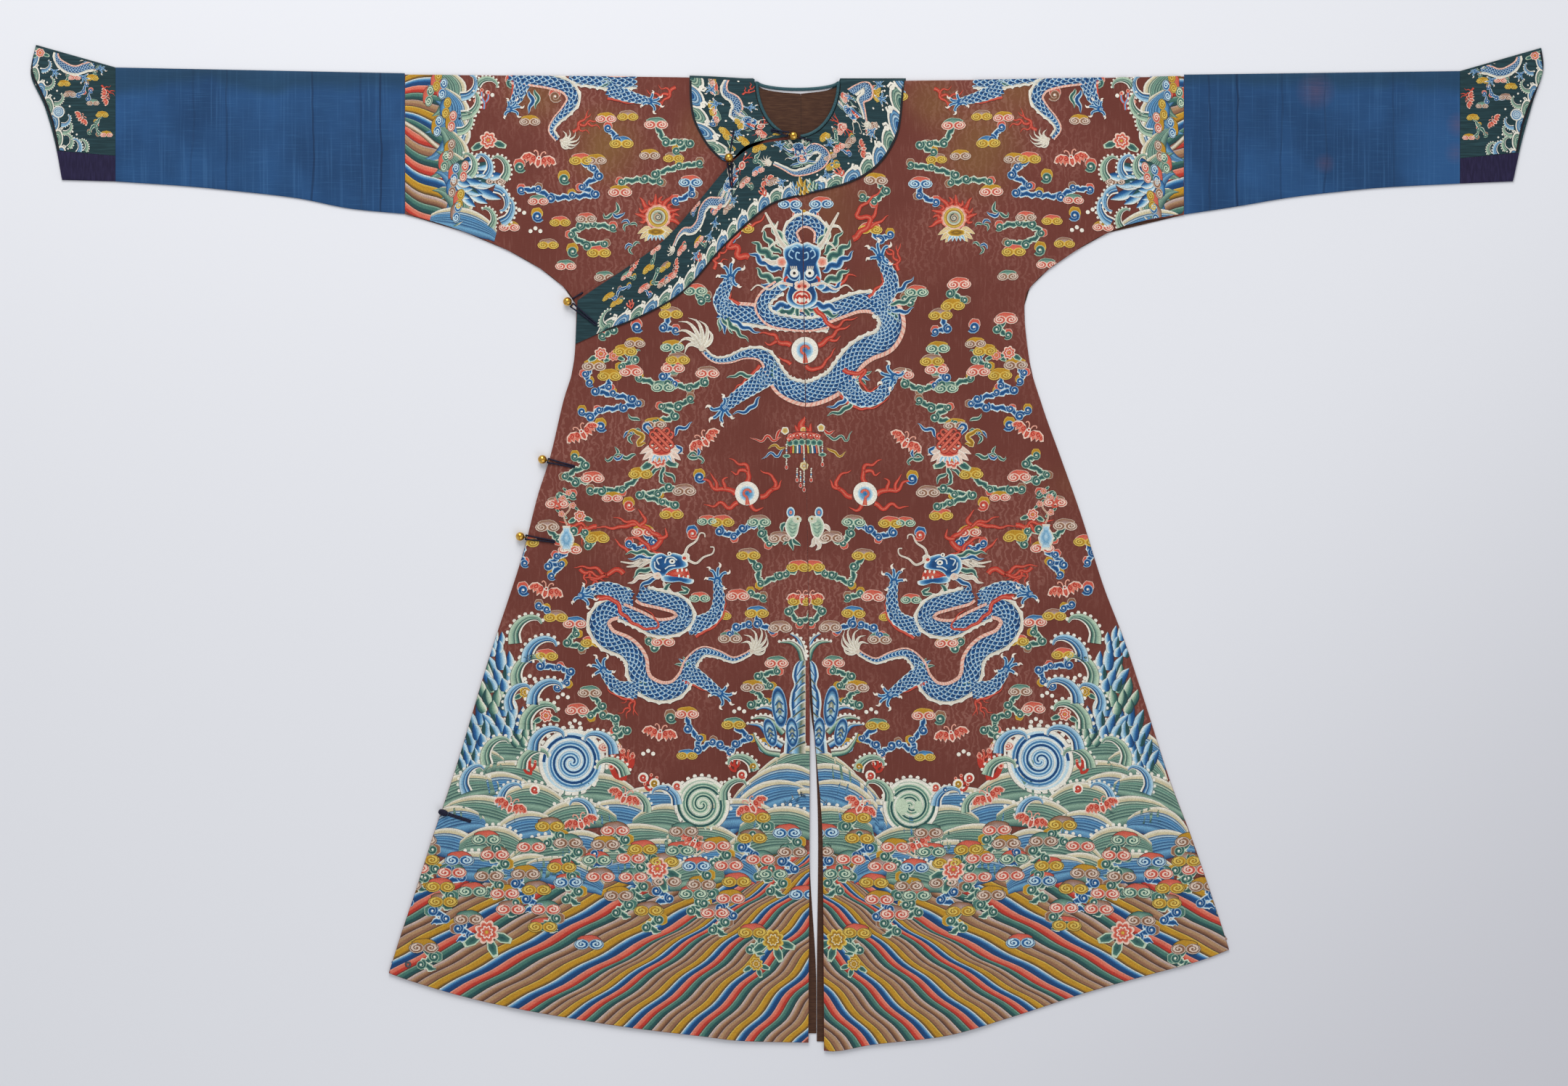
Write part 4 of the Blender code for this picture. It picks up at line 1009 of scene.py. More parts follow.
def coil(put, x, y, radius, turns, way, colour, layer, width=0.13, steps=13):
    # a spiral line, r = radius * (1 - 0.86 t) at the angle 2 pi * turns * t, which thins inwards
    t = np.linspace(0, 1, max(8, int(steps * robe["detail"])))
    angle = way * 2 * np.pi * turns * t + np.pi / 2
    path = np.stack([x + radius * (1 - 0.86 * t) * np.cos(angle),
        y + radius * (1 - 0.86 * t) * np.sin(angle)], -1)
    shade = dyesOf(f"{colour} {colour}")
    offset = np.array([-1, 1])[None, :, None] * (width * radius * (1.25 - 0.5 * t))[:, None, None]
    sew(put(path[:, None] + offset * normals(path)[:, None]), shade[None], layer)


def curl(u, y, size, hue, turn=90.0, accent=None, way=1, layer=3):
    # one rolled lobe of a cloud: a banded strip wound in a spiral of a turn and a third round a white eye,
    # with a lobe of a second colour showing behind it
    pale, _, mid, dark = hues[hue]
    put = placed(u, y, size, turn)
    if accent:
        edge, _, body, _ = hues[accent]
        disc(put, 0.95 * lobes(12, 5, 0.14), (1, 0.82, 0.0), f"{edge} {body} {body}", layer - 1.4, (0.45, 0))
    t = np.linspace(0, 1, int(14 * robe["detail"] ** 0.5))
    angle, far = way * (2 * np.pi * 1.32 * t + 2.2), 0.72 - 0.48 * t**0.8
    path = put(np.stack([far * np.cos(angle), far * np.sin(angle)], -1))
    ribbon(path, size * (0.36 - 0.14 * t), f"{pale} {mid} {dark} {mid} {pale}", layer + 0.5 * t,
        (-1, -0.55, 0, 0.55, 1))
    disc(put, 0.17 * lobes(6), (1, 0.0), "white white", layer + 0.9)


def head(u, y, size, hue, turn=0.0, layer=4):
    # a mushroom-shaped cloud head, pressed to 0.68 of its height: a cap of the second colour behind two
    # rolled lobes of the first, in each of which a pale spiral on a dark one winds inwards
    hue, accent = (hue.split() + [None])[:2]
    pale, _, mid, dark = hues[hue]
    edge, glow, body, _ = hues[accent or hue]
    put = placed(u, y, size, turn)

    def low(points):
        return put(points * np.array([1, 0.68]))

    rim, crown = ("line", "line") if layer > 7 else (pale, edge)  # dark over the waves and the stripes
    disc(low, lobes(14, 5, 0.12, 0.72), (0.9, 0.78, 0), f"{crown} {body} {glow}", layer - 1.2, (0, 0.22))
    for side in (-1, 1):
        disc(low, 0.53 * lobes(11), (1, 0.86, 0.76, 0), f"{rim} {pale} {mid} {mid}", layer,
            (side * 0.48, -0.1))
        coil(low, side * 0.48, -0.1, 0.37, 1.45, -side, dark, layer + 0.5, 0.32, 12)
        coil(low, side * 0.48, -0.08, 0.37, 1.45, -side, pale, layer + 0.95, 0.19, 12)


def swaying(path, sway, wave):
    # the path moved sideways by sway * sin(wave)
    return path + (sway * np.sin(wave))[:, None] * normals(path)


def stem(points, hue, width=4.0, layer=2):
    # a wavy stem of cloud: pale edges, a dark core, and a width that swells every 8 mm
    pale, _, mid, dark = hues[hue]
    path = even(points, 2.6)
    s = np.linspace(0, 2.6 * (len(path) - 1) / robe["detail"], len(path))
    half = width * np.clip(np.minimum(s, s[-1] - s) / 6.0, 0.3, 1) * (1 + 0.2 * np.cos(2 * np.pi * s / 7.8))
    shades = f"white {pale} {mid} {dark} {mid} {pale} white"
    ribbon(swaying(path, 1.2 + 0 * s, 2 * np.pi * s / 15), half, shades, layer,
        (-1, -0.72, -0.5, 0, 0.5, 0.72, 1))


def cloud(hue, first, last, points, size=8.0, width=4.5, layer=2):
    # a chain of cloud: a stem through the points, a curl outside each bend, and a head where one is named
    points = np.asarray(points, float)
    stem(points, hue, width, layer)
    seed = int(abs(points[0]).sum())
    for k in range(1, len(points) - 1):
        out = points[k] - (points[k - 1] + points[k + 1]) / 2
        far = np.hypot(*out)
        out = out / far if far > 1.5 else np.array([0.3, 1.0])
        spot = points[k] + out * size * 0.3
        odd = (k + seed) % 2
        accent = None if odd else accents[(k + seed) % len(accents)]
        turn, way = np.degrees(np.arctan2(out[1], out[0])), 1 if out[0] > 0 else -1
        curl(*spot, size * (0.84 + 0.2 * odd), hue, turn, accent, way, layer + 1)
    for end, kind in ((points[0], first), (points[-1], last)):
        if kind:
            head(end[0], end[1] + 3, size * 2.15, kind, 0.0, layer + 2)
        else:
            curl(*end, size * 0.9, hue, 90.0, accents[seed % len(accents)], 1, layer + 1)


def flame(points, size, layer=2):
    # a tongue of flame: a wavy ribbon, pale along its core, that thins to its tip
    path = even(points, 2.4)
    s = np.linspace(0, 1, len(path))
    path = swaying(path, 0.3 * size + 0 * s, s * len(path) * 0.7 / robe["detail"])
    ribbon(path, size * (1.02 - s) ** 0.6, "red red coral red red", layer, (-1, -0.55, 0, 0.55, 1))


def flameFork(u, y, size, turn=0.0, flip=1, layer=2):
    # a branching flame, drawn about 10 long and 8 high and scaled by size
    put = placed(u, y, size, turn, flip)
    for points, width in (
        ([(0, 0), (2.2, 1.0), (4.0, 0.4), (6.4, 1.4), (9.6, 1.0)], 0.62),
        ([(3.4, 0.6), (4.2, 2.6), (6.2, 3.2), (7.0, 4.8), (9.2, 5.4)], 0.5),
        ([(5.4, 3.0), (5.2, 4.8), (6.2, 6.2), (5.6, 8.2)], 0.4),
        ([(6.4, 1.3), (7.6, 2.2), (8.9, 2.4)], 0.3),
        ([(2.2, 1.0), (1.8, 2.6), (2.8, 3.8), (2.2, 5.6)], 0.36),
    ):
        flame(put(points), width * size, layer)


def wisp(points, hue, half=3.0, layer=3):
    # a lock of mane or a trailing ribbon: a wavy leaf shape with a white edge that darkens to its core
    pale, light, mid, dark = hues[hue]
    path = even(points, 2.6)
    t = np.linspace(0, 1, len(path))
    path = swaying(path, 0.42 * half + 0 * t, t * len(path) * 0.85 / robe["detail"])
    wide = half * (np.sin(np.pi * t**0.75) ** 0.8 + 0.06)
    core = light if hue == "cream" else dark
    ribbon(path, wide, f"white {pale} {mid} {core} {mid} {pale} white", layer,
        (-1, -0.78, -0.55, -0.1, 0.4, 0.78, 1))


def bat(u, y, size, turn=0.0, layer=4):
    # a bat of good fortune: two scrolled wings scalloped behind, a body and curled feelers
    put = placed(u, y, size, turn)
    for side in (-1, 1):
        wing = np.array([(0.1, 0.2), (0.45, 0.62), (0.95, 0.8), (1.45, 0.62), (1.75, 0.1), (1.5, -0.1),
            (1.3, 0.2), (1.12, -0.3), (0.9, 0.0), (0.7, -0.5), (0.45, -0.15), (0.2, -0.4)])
        wing[:, 0] *= side
        middle = wing.mean(0) + [0, 0.12]
        disc(put, wing - middle, (1, 0.84, 0.76, 0.5, 0.0), "blush blush coral coral rose", layer, middle)
        for x, z, r in ((0.55, 0.25, 0.26), (1.05, 0.38, 0.24), (1.45, 0.28, 0.16)):
            coil(put, side * x, z, r, 1.2, side, "red", layer + 0.5, 0.22, 12)
        feeler = smoothPath(
            put([(side * 0.08, 0.4), (side * 0.2, 0.9), (side * 0.5, 1.05), (side * 0.55, 0.85)]), 9)
        ribbon(feeler, size * 0.06, "rose rose", layer + 0.4)
    disc(put, lobes(10) * [0.26, 0.6], (1, 0.74, 0.66, 0), "blush blush red coral", layer + 0.6)
    disc(put, lobes(8) * [0.2, 0.2], (1, 0.6, 0.5, 0), "white white red red", layer + 0.9, (0, 0.4))


def flower(u, y, size, hue="pink", petals=7, leaves=(200, 330), layer=4):
    # a peony: two rings of petals, a gold heart, and leaves at the given angles
    pale, light, _, dark = hues[hue]
    for angle in leaves:
        put = placed(u, y, size, angle)
        leaf = lobes(12, 6, 0.12) * [0.9, 0.42]
        disc(put, leaf, (1, 0.8, 0.7, 0), "mint mint green pine", layer - 0.8, (1.3, 0))
    put = placed(u, y, size)
    disc(put, lobes(petals * 4, petals, 0.25), (1, 0.84, 0.78, 0.5), f"{pale} {pale} {light} {dark}", layer)
    disc(put, 0.55 * lobes(petals * 3, petals, 0.3), (1, 0.8, 0.7, 0),
        f"white {pale} {light} {dark}", layer + 0.5)
    disc(put, 0.16 * lobes(6), (1, 0), "gold straw", layer + 0.9)


def pearl(u, y, radius, turn=0.0, layer=4):
    # a flaming pearl: a white disc that shades to blue at its heart, with a red hook laid in it
    put = placed(u, y, radius, turn)
    disc(put, lobes(24), (1, 0.66, 0.6, 0.42, 0.36, 0), "white white ice sky sky blue", layer)
    angle = np.linspace(-1.4, 3.0, 12)
    hook = np.stack([0.3 * np.cos(angle) - 0.02, 0.3 * np.sin(angle) + 0.02], -1)
    path = smoothPath(put(np.concatenate([[(-0.05, -0.95), (-0.02, -0.55)], hook])), 22)
    ribbon(path, radius * np.concatenate([np.linspace(0.2, 0.1, 8), np.full(14, 0.1)]),
        "red coral coral red", layer + 0.8)


def whirlpool(u, y, radius, hue, flip=1, layer=3):
    # a coiled wave: a pale disc with a toothed foam rim, under a dark spiral line and a paler one beside it
    pale, light, mid, dark = hues[hue]
    for angle in range(20, 200, 14):
        c, s = np.cos(np.radians(angle)), np.sin(np.radians(angle))
        dot(u + radius * 1.03 * c, y + radius * 1.03 * s, radius * 0.075, "white", layer - 0.2, 7)
    disc(placed(u, y, radius), lobes(36), (1, 0.97, 0.88, 0.86, 0.6, 0.0),
        f"line white white {pale} {pale} {pale}", layer)
    t = np.linspace(0, 1, 70)
    for start, names, half in ((0.0, f"{mid} {dark} {dark} {mid}", 0.042),
            (2.1, f"{light} {mid} {light}", 0.035), (4.2, f"{pale} white {light}", 0.05)):
        angle, far = flip * (2 * np.pi * 2.6 * t + start), radius * (0.84 - 0.8 * t)
        path = np.stack([u + far * np.cos(angle), y + far * np.sin(angle)], -1)
        ribbon(path, radius * half * (1.1 - 0.5 * t), names, layer + 0.5)


def crest(u, y, size, turn=0.0, flip=1, hue="blue", layer=5):
    # the curled top of a breaking wave: a slender claw that bends over to a thin tip, with a row of foam
    # teeth along its back
    pale, light, mid, dark = hues[hue]
    put = placed(u, y, size, turn, flip)
    path = smoothPath(
        put([(0.1, -0.75), (0.28, -0.2), (0.14, 0.4), (-0.26, 0.82), (-0.74, 0.92), (-1.0, 0.7)]), 20)
    t = np.linspace(0, 1, 20)
    half = size * (0.34 * (1 - t) ** 0.75 + 0.05)
    names = f"white white line {mid} {light} {pale} {dark} {light} {pale} line"
    ribbon(path, half, names if flip < 0 else " ".join(names.split()[::-1]), layer,
        np.array([-1, -0.74, -0.66, -0.4, -0.2, -0.1, 0.0, 0.3, 0.86, 1])[:: -flip] * -flip)
    out = normals(path) * (-flip)
    for k in range(2, 20, 2):
        dot(*(path[k] + out[k] * (half[k] + size * 0.05)), size * 0.11, "white", layer - 0.2, 6)


def rock(u, y, size, turn=0.0, flip=1, hue="blue", layer=4):
    # standing rocks: leaf-shaped shards in rows, light down one side and dark down the other
    pale, light, mid, dark = hues[hue]
    put = placed(u, y, size, turn, flip)
    for k, (x, z, long, tilt, wide) in enumerate((
        (0.0, 0.15, 0.95, 2, 0.17), (-0.2, -0.02, 0.75, 12, 0.15), (0.22, -0.05, 0.8, -12, 0.15),
        (-0.4, -0.2, 0.6, 22, 0.14), (0.42, -0.22, 0.62, -22, 0.14), (-0.1, -0.3, 0.62, 6, 0.15),
        (0.14, -0.32, 0.6, -8, 0.15), (-0.3, -0.45, 0.5, 16, 0.14), (0.34, -0.46, 0.5, -16, 0.14),
        (0.02, -0.55, 0.45, 0, 0.15),
    )):
        c, s = np.sin(np.radians(-tilt)), np.cos(np.radians(tilt))
        path = smoothPath(
            put([(x, z), (x + c * long * 0.5 - 0.04, z + s * long * 0.5), (x + c * long, z + s * long)]), 8)
        half = size * wide * np.array([0.7, 1.0, 1.12, 1.05, 1.0, 0.78, 0.45, 0.06])
        names = f"line {dark} {mid} {light} {pale} white line"
        if k % 3 == 2:
            names = f"line pine pine {light} {pale} {pale} line"
        ribbon(path, half, names, layer + 0.12 * k, (-1, -0.82, -0.3, 0.1, 0.5, 0.86, 1))


def coral(u, y, size, turn=90.0, layer=5, core="coral"):
    # branching coral: forked stems with a pale ring at each tip
    put = placed(u, y, size, turn)
    for points in (
        [(0, 0), (0.5, 0.12), (1.0, 0.0), (1.6, 0.1)], [(0.45, 0.1), (0.8, 0.5), (1.3, 0.6)],
        [(0.7, 0.05), (1.0, -0.4), (1.5, -0.45)], [(0.1, 0), (0.3, -0.4), (0.8, -0.6)],
    ):
        path = even(put(points), 2.4)
        ribbon(path, size * 0.14, f"red red {core} {core} red red", layer, (-1, -0.6, -0.3, 0.3, 0.6, 1))
        dot(*path[-1], size * 0.17, "rose", layer + 0.4, 8)
        dot(*path[-1], size * 0.09, "red", layer + 0.6, 6)


def flamesOf(rows, layer=3):
    # loose flames: each row is a size and the points of one tongue
    for size, points in rows:
        flame(points, size, layer)


def locks(put, rows, size, layer):
    # locks of mane: each row is a hue, a share of the size for the half width, and the points
    for hue, half, points in rows:
        wisp(put(points), hue, half * size, layer)


def lotus(u, y, size, hue="pink", layer=5):
    # a lotus from the side: long petals that droop to both sides, a row of small blue ones and a full heart
    pale, light, mid, dark = hues[hue]
    own = placed(u, y, size)
    for side in (-1, 1):
        for tip, half, lift in (((-1.55, -0.1), 0.2, 0.25), ((-1.35, -0.55), 0.22, 0.1),
                ((-0.95, -0.75), 0.2, 0.0), ((-1.2, 0.3), 0.16, 0.3)):
            path = smoothPath(
                own(np.array([(-0.3, 0.05), (tip[0] * 0.6, tip[1] * 0.35 + lift), tip]) * [side, 1]), 9)
            ribbon(path, size * half * np.array([0.5, 0.8, 1, 1.05, 1, 0.9, 0.7, 0.45, 0.05]),
                f"white {pale} shell {pale} white", layer)
    for x in (-0.6, -0.3, 0.0, 0.3, 0.6):
        path = smoothPath(own([(x * 0.6, -0.1), (x, -0.4), (x * 1.15, -0.68)]), 6)
        ribbon(path, size * 0.13 * np.array([1, 1.1, 1, 0.8, 0.5, 0.05]),
            "white ice sky ice white", layer + 0.3)
    heart = lobes(20, 7, 0.14) * [0.85, 0.34]
    disc(own, heart, (1, 0.84, 0.74, 0.4, 0), f"white {pale} {light} {dark} {mid}", layer + 0.6, (0, 0.06))


def drawCanopy():
    # on the middle line: a canopy with a flame, a valance, pendants and ribbons, and two fishes under it
    for points, width in (([(3, 158), (4, 172), (3, 186)], 8.0), ([(-3, 160), (-6, 168), (-9, 176)], 4.0),
            ([(10, 160), (13, 168), (14, 174)], 4.0)):
        flame(points, width, 4)
    disc(placed(3, 167, 4.4), lobes(12), (1, 0.7, 0), "cream straw coral", 5)
    for u, y, turn in ((29, 166, 20), (-22, 170, -20)):
        disc(placed(u, y, 6.0, turn), lobes(16, 5, 0.2), (1, 0.7, 0.6, 0), "white cream straw tan", 5)
    ribbon(even([(26, 153), (15, 160), (2, 161), (-10, 160), (-21, 157)], 3), 4.2,
        "line red coral blush coral red line", 5)
    for k in range(5):
        curl(21 - 9.4 * k, 160 - abs(k - 2), 5.2, "red" if k % 2 else "pink", 90, None, 1, 5.4)
    for k in range(6):
        disc(placed(22 - 8.4 * k, 150 - 0.6 * abs(k - 2.5), 5.4), lobes(14, 6, 0.12) * [1, 0.9],
            (1, 0.8, 0.6, 0), "mint sage green pine", 4.8 + 0.1 * k)
    for k in range(14):
        hue = ("red", "straw", "green", "white", "blue", "coral", "cream")[k % 7]
        ribbon([(20 - 2.9 * k, 147), (20 - 3.0 * k, 141), (20.4 - 3.1 * k, 134)], 1.35,
            f"line {hue} {hue}", 4.4)
    for points, hue, half in (
        ([(34, 157), (44, 152), (54, 158), (64, 151), (79, 157)], "red", 2.0),
        ([(31, 140), (40, 130), (50, 134), (62, 125)], "blue", 2.0),
        ([(28, 142), (36, 140), (42, 146), (54, 140)], "gold", 2.0),
        ([(-26, 166), (-38, 154), (-50, 158), (-58, 152), (-66, 166)], "green", 2.0),
        ([(-30, 142), (-40, 136), (-48, 130), (-58, 136)], "gold", 2.0),
        ([(-26, 168), (-34, 162), (-42, 166)], "red", 2.2), ([(34, 168), (40, 160), (44, 152)], "red", 2.2),
    ):
        wisp(points, hue, half, 4.2)
    for u, top, low in ((27, 146, 116), (-24, 146, 120), (2, 134, 84), (12, 112, 98),
            (-8, 112, 98), (7, 108, 90)):
        for k, y in enumerate(np.arange(top, low, -2.7)):
            dot(u + 0.3 * np.sin(y), y, 1.25,
                ("white", "cream", "red", "sky")[k % 4 if k % 3 == 0 else k % 2], 5, 6)
        disc(placed(u, low - 2, 3.0), lobes(10) * [0.8, 1.1], (1, 0.7, 0.5, 0), "white red red coral", 5.2)
    for u, y in ((27, 130), (-24, 132)):
        disc(placed(u, y, 6.0), lobes(14, 7, 0.1) * [1, 0.5], (1, 0.75, 0.6, 0), "mint sage green pine", 5.4)
    disc(placed(2, 116, 6.0, 45), lobes(4) * 1.1, (1, 0.8, 0.5, 0.4, 0), "straw cream straw tan cream", 5.6)
    for side, hue in ((1, "green"), (-1, "cream")):
        own = placed(8 * side + 1, 30, 1.0, 0, side)
        body = np.array([(4, 14), (12, 15), (18, 8), (20, -2), (16, -12), (10, -18), (3, -12),
            (0, 0), (-1, 8)])
        outline = smoothPath(np.concatenate([body, body[:1]]), 30)[:-1]
        disc(own, outline - body.mean(0), (1, 0.9, 0.84, 0.5, 0), "white white mint sage mint",
            4.6, body.mean(0))
        disc(own, lobes(14) * [6.5, 5.5], (1, 0.84, 0.7, 0), "white mint cream mint", 5, (3, 10))
        disc(own, lobes(8) * [1.6, 1.6], (1, 0.6, 0.5, 0), "gold gold black black", 5.6, (2, 11))
        disc(own, lobes(14) * [6, 8], (1, 0.8, 0.7, 0.4, 0.3, 0),
            "white ice sky blue rose red", 4.4, (12, 20))
        for k in range(4):
            ribbon(smoothPath(own([(4 + 0.8 * k, 3 - 5 * k), (9 + 0.6 * k, 1 - 5 * k), (15 - k, 4 - 5 * k)]),
                8), 0.5, "sage pine sage", 5.2)
        for points in ([(9, -15), (4, -24), (-2, -28)], [(10, -15), (12, -26), (8, -34)],
                [(12, -14), (19, -22), (24, -24)], [(17, 4), (24, 0), (26, -8)]):
            wisp(own(points), "green" if hue == "green" else "cream", 3.4, 4.4)


def drawPearls():
    pearl(83, 77, 17, 0)
    flamesOf((
        (3.6, [(84, 92), (80, 104), (85, 117), (96, 120), (108, 127)]),
        (2.8, [(82, 108), (94, 110), (98, 104), (106, 108)]),
        (3.8, [(64, 72), (54, 76), (46, 84), (42, 94), (52, 104), (64, 110)]),
        (2.8, [(48, 84), (38, 86), (34, 96)]),
        (3.8, [(99, 76), (112, 84), (126, 82), (138, 94), (154, 102)]),
        (2.8, [(114, 84), (117, 95), (110, 100)]), (2.6, [(126, 84), (128, 96), (136, 106)]),
        (3.4, [(96, 64), (108, 57), (122, 64), (132, 58), (144, 62)]), (3.0, [(78, 62), (70, 52), (60, 58)]),
    ))


def sprig(u, y, size, turn=0.0):
    # a curled sprig: two leaves that part and a third that rolls back
    put = placed(u, y, size, turn)
    for points, hue in (([(0, 0), (0.6, 0.5), (1.2, 0.3), (1.5, -0.2)], "green"),
            ([(0, 0), (-0.3, 0.7), (0.1, 1.3), (0.7, 1.4)], "blue"),
            ([(0, 0), (-0.6, -0.2), (-0.9, -0.8), (-0.5, -1.2)], "green")):
        wisp(put(points), hue, 0.26 * size, 3)


def peak():
    # half of the rock that stands in the sea on the middle line: a stepped column with a navy rim and
    # chevrons down it, two leaning shards at its side and claws of foam from its top and foot
    layer = 4.4
    y = np.linspace(-158, -292, 40)
    edge = read([(-292, 31), (-270, 29), (-252, 27), (-238, 21), (-222, 23), (-206, 21), (-194, 16),
        (-182, 19), (-168, 16), (-160, 9), (-157, 2)], y)
    share = np.array([0, 0.25, 0.45, 0.6, 0.72, 0.84, 0.9, 1])
    sew(np.stack([share * edge[:, None], np.broadcast_to(y[:, None], (40, 8))], -1),
        dyesOf("cream moss sky ice blue navy ice white")[None], layer)
    for k, top in enumerate(np.arange(-168, -286, -12.0)):
        out = float(read([(-292, 31), (-252, 27), (-206, 21), (-160, 14)], top)) * 0.8
        path = even([(0.5, top), (out * 0.5, top - 5), (out, top - 14)], 3)
        ribbon(path, 2.2 * np.linspace(1, 0.5, len(path)),
            ("white ice navy blue", "cream moss line sky")[k % 2], layer + 0.4)
    for u, middle, wide, high, lean in ((37, -226, 11, 30, -6), (50, -262, 9, 21, -14),
            (19, -262, 9, 22, -4)):
        put = placed(u, middle, 1, lean)
        disc(put, lobes(20) * [wide, high], (1, 0.9, 0.78, 0.6, 0.5, 0.25, 0),
            "ice blue navy sky ice moss cream", layer + 0.6)
        for step in (-0.5, -0.15, 0.2):
            ribbon(even(put([(-wide * 0.5, high * step - 3), (0, high * step + 3),
                (wide * 0.5, high * step - 3)]), 3), 1.1, "blue navy", layer + 0.9)
    for k, (points, half) in enumerate((
        ([(3, -160), (8, -144), (20, -134), (37, -134)], 4.6),
        ([(2, -160), (4, -142), (11, -128), (22, -122)], 4.2),
        ([(30, -262), (46, -246), (62, -240), (78, -243)], 5.6),
        ([(32, -280), (50, -268), (64, -252), (82, -250)], 5.6),
        ([(36, -292), (56, -288), (68, -274), (74, -262)], 5.2),
        ([(28, -240), (48, -228), (60, -226), (70, -230)], 4.2),
    )):
        pale, light, mid, dark = hues[("green", "blue")[k % 2]]
        path = even(points, 3)
        wide = half * (1 - np.linspace(0, 1, len(path)) ** 2) + 0.5
        ribbon(path, wide, f"{dark} {mid} {light} {pale} line white white", layer + 0.2)
        for spot, way, out in zip(path[2::2], normals(path)[2::2], wide[2::2]):
            dot(*(spot + way * (out + 0.6)), 2.3, "white", layer, 6)


# Dragons


def scales(path, wide, low, high, hue, layer, side=1, pitch=6.6):
    # rows of overlapping fish scales between two shares of the half width, staggered by half a scale; each
    # scale is a fan that is dark at its root and pale at its rim, and its rim lies over the next row's root
    pale, _, mid, dark = hues[hue]
    angle = np.radians(np.linspace(-90, 90, 6 if robe["detail"] > 0.8 else 5))
    rings = np.array([1.0, 0.84, 0.7, 0.12])
    rise = np.array([0.7, 0.64, 0.5, 0.0])[:, None] + 0 * angle
    step = np.hypot(*np.diff(path, axis=0).T).mean()
    skip = max(1, int(round(pitch * 0.8 / step)))
    path = np.concatenate([2 * path[:1] - path[skip : skip + 1], path[::skip]])
    wide = np.concatenate([wide[:1], wide[::skip]])
    out, ahead = normals(path), np.gradient(path, axis=0)
    long = np.hypot(*ahead.T)
    ahead /= long[:, None]
    for k in range(len(path) - 1):
        span = (high - low) * wide[k]
        count = max(1, int(round(span / pitch)))
        half = span / count / 2 * (1.04 if count > 1 else 1)
        spots = low * wide[k] + span * (np.arange(count) + 0.5) / count
        if k % 2 and count > 1:
            spots = low * wide[k] + span * np.arange(count + 1) / count
        for spot in spots:
            reach = half * (0.62 if spot in (spots[0], spots[-1]) and k % 2 and count > 1 else 1)
            middle = path[k] + side * spot * out[k]
            along = rings[:, None] * np.cos(angle) * long[k] * 1.3
            over = rings[:, None] ** 0.7 * np.sin(angle) * reach
            grid = middle + along[..., None] * ahead[k] + over[..., None] * out[k]
            sew(grid, dyesOf(f"{pale} {pale} {mid} {dark}")[:, None], layer + rise)


def serpent(spine, half, taper, belly=-1, layer=6, hue="scale", ease0=0.45, pitch=6.6):
    # a scaled body: a dark band with scales, a pink roped belly on one side and a cream spiny back on the
    # other; the half width eases from half to taper at the tail
    dark = hues[hue][3]
    path = even(spine, 1.4)
    count = len(path)
    s = np.linspace(0, 1.4 * (count - 1) / robe["detail"], count)
    wide = half + (taper - half) * ease(np.linspace(0, 1, count), ease0, 1.0)
    side = normals(path)
    across = belly * np.linspace(0.88, -0.96, 7 if half > 8 else 4)
    few = slice(None, None, 3)
    sew(path[few, None] + across[None, :, None] * (wide[:, None] * side)[few, None],
        dyesOf(dark)[None], layer)
    rope = np.maximum(0.34 * wide, 2.2)
    share = np.array([0, 0.1, 0.5, 1.0])
    twist = (s[:, None] / 5.6 - 0.55 * share) % 1
    rows = np.where((twist < 0.3)[..., None], dye["coral"] * 0.5 + dye["rose"] * 0.5,
        dye["blush"] * 0.75 + dye["rose"] * 0.25)
    rows[:, 0] = dye["line"]
    edge = belly * (wide[:, None] * 1.08 - rope[:, None] * (1 - share))
    sew(path[:, None] + edge[..., None] * side[:, None], rows, layer + 0.9)
    comb = 2.2 + 2.2 * np.clip(np.sin(2 * np.pi * s / 12.0), 0, 1) ** 2 * np.minimum(1, wide / 9)
    edge = -belly * np.stack([wide * 0.84, wide * 0.88, wide + comb], 1)
    sew(path[::2, None] + edge[::2, :, None] * side[::2, None],
        dyesOf("line cream white")[None], layer + 0.8)
    scales(path, wide, -0.6, 0.84, hue, layer + 0.1, -belly, pitch)


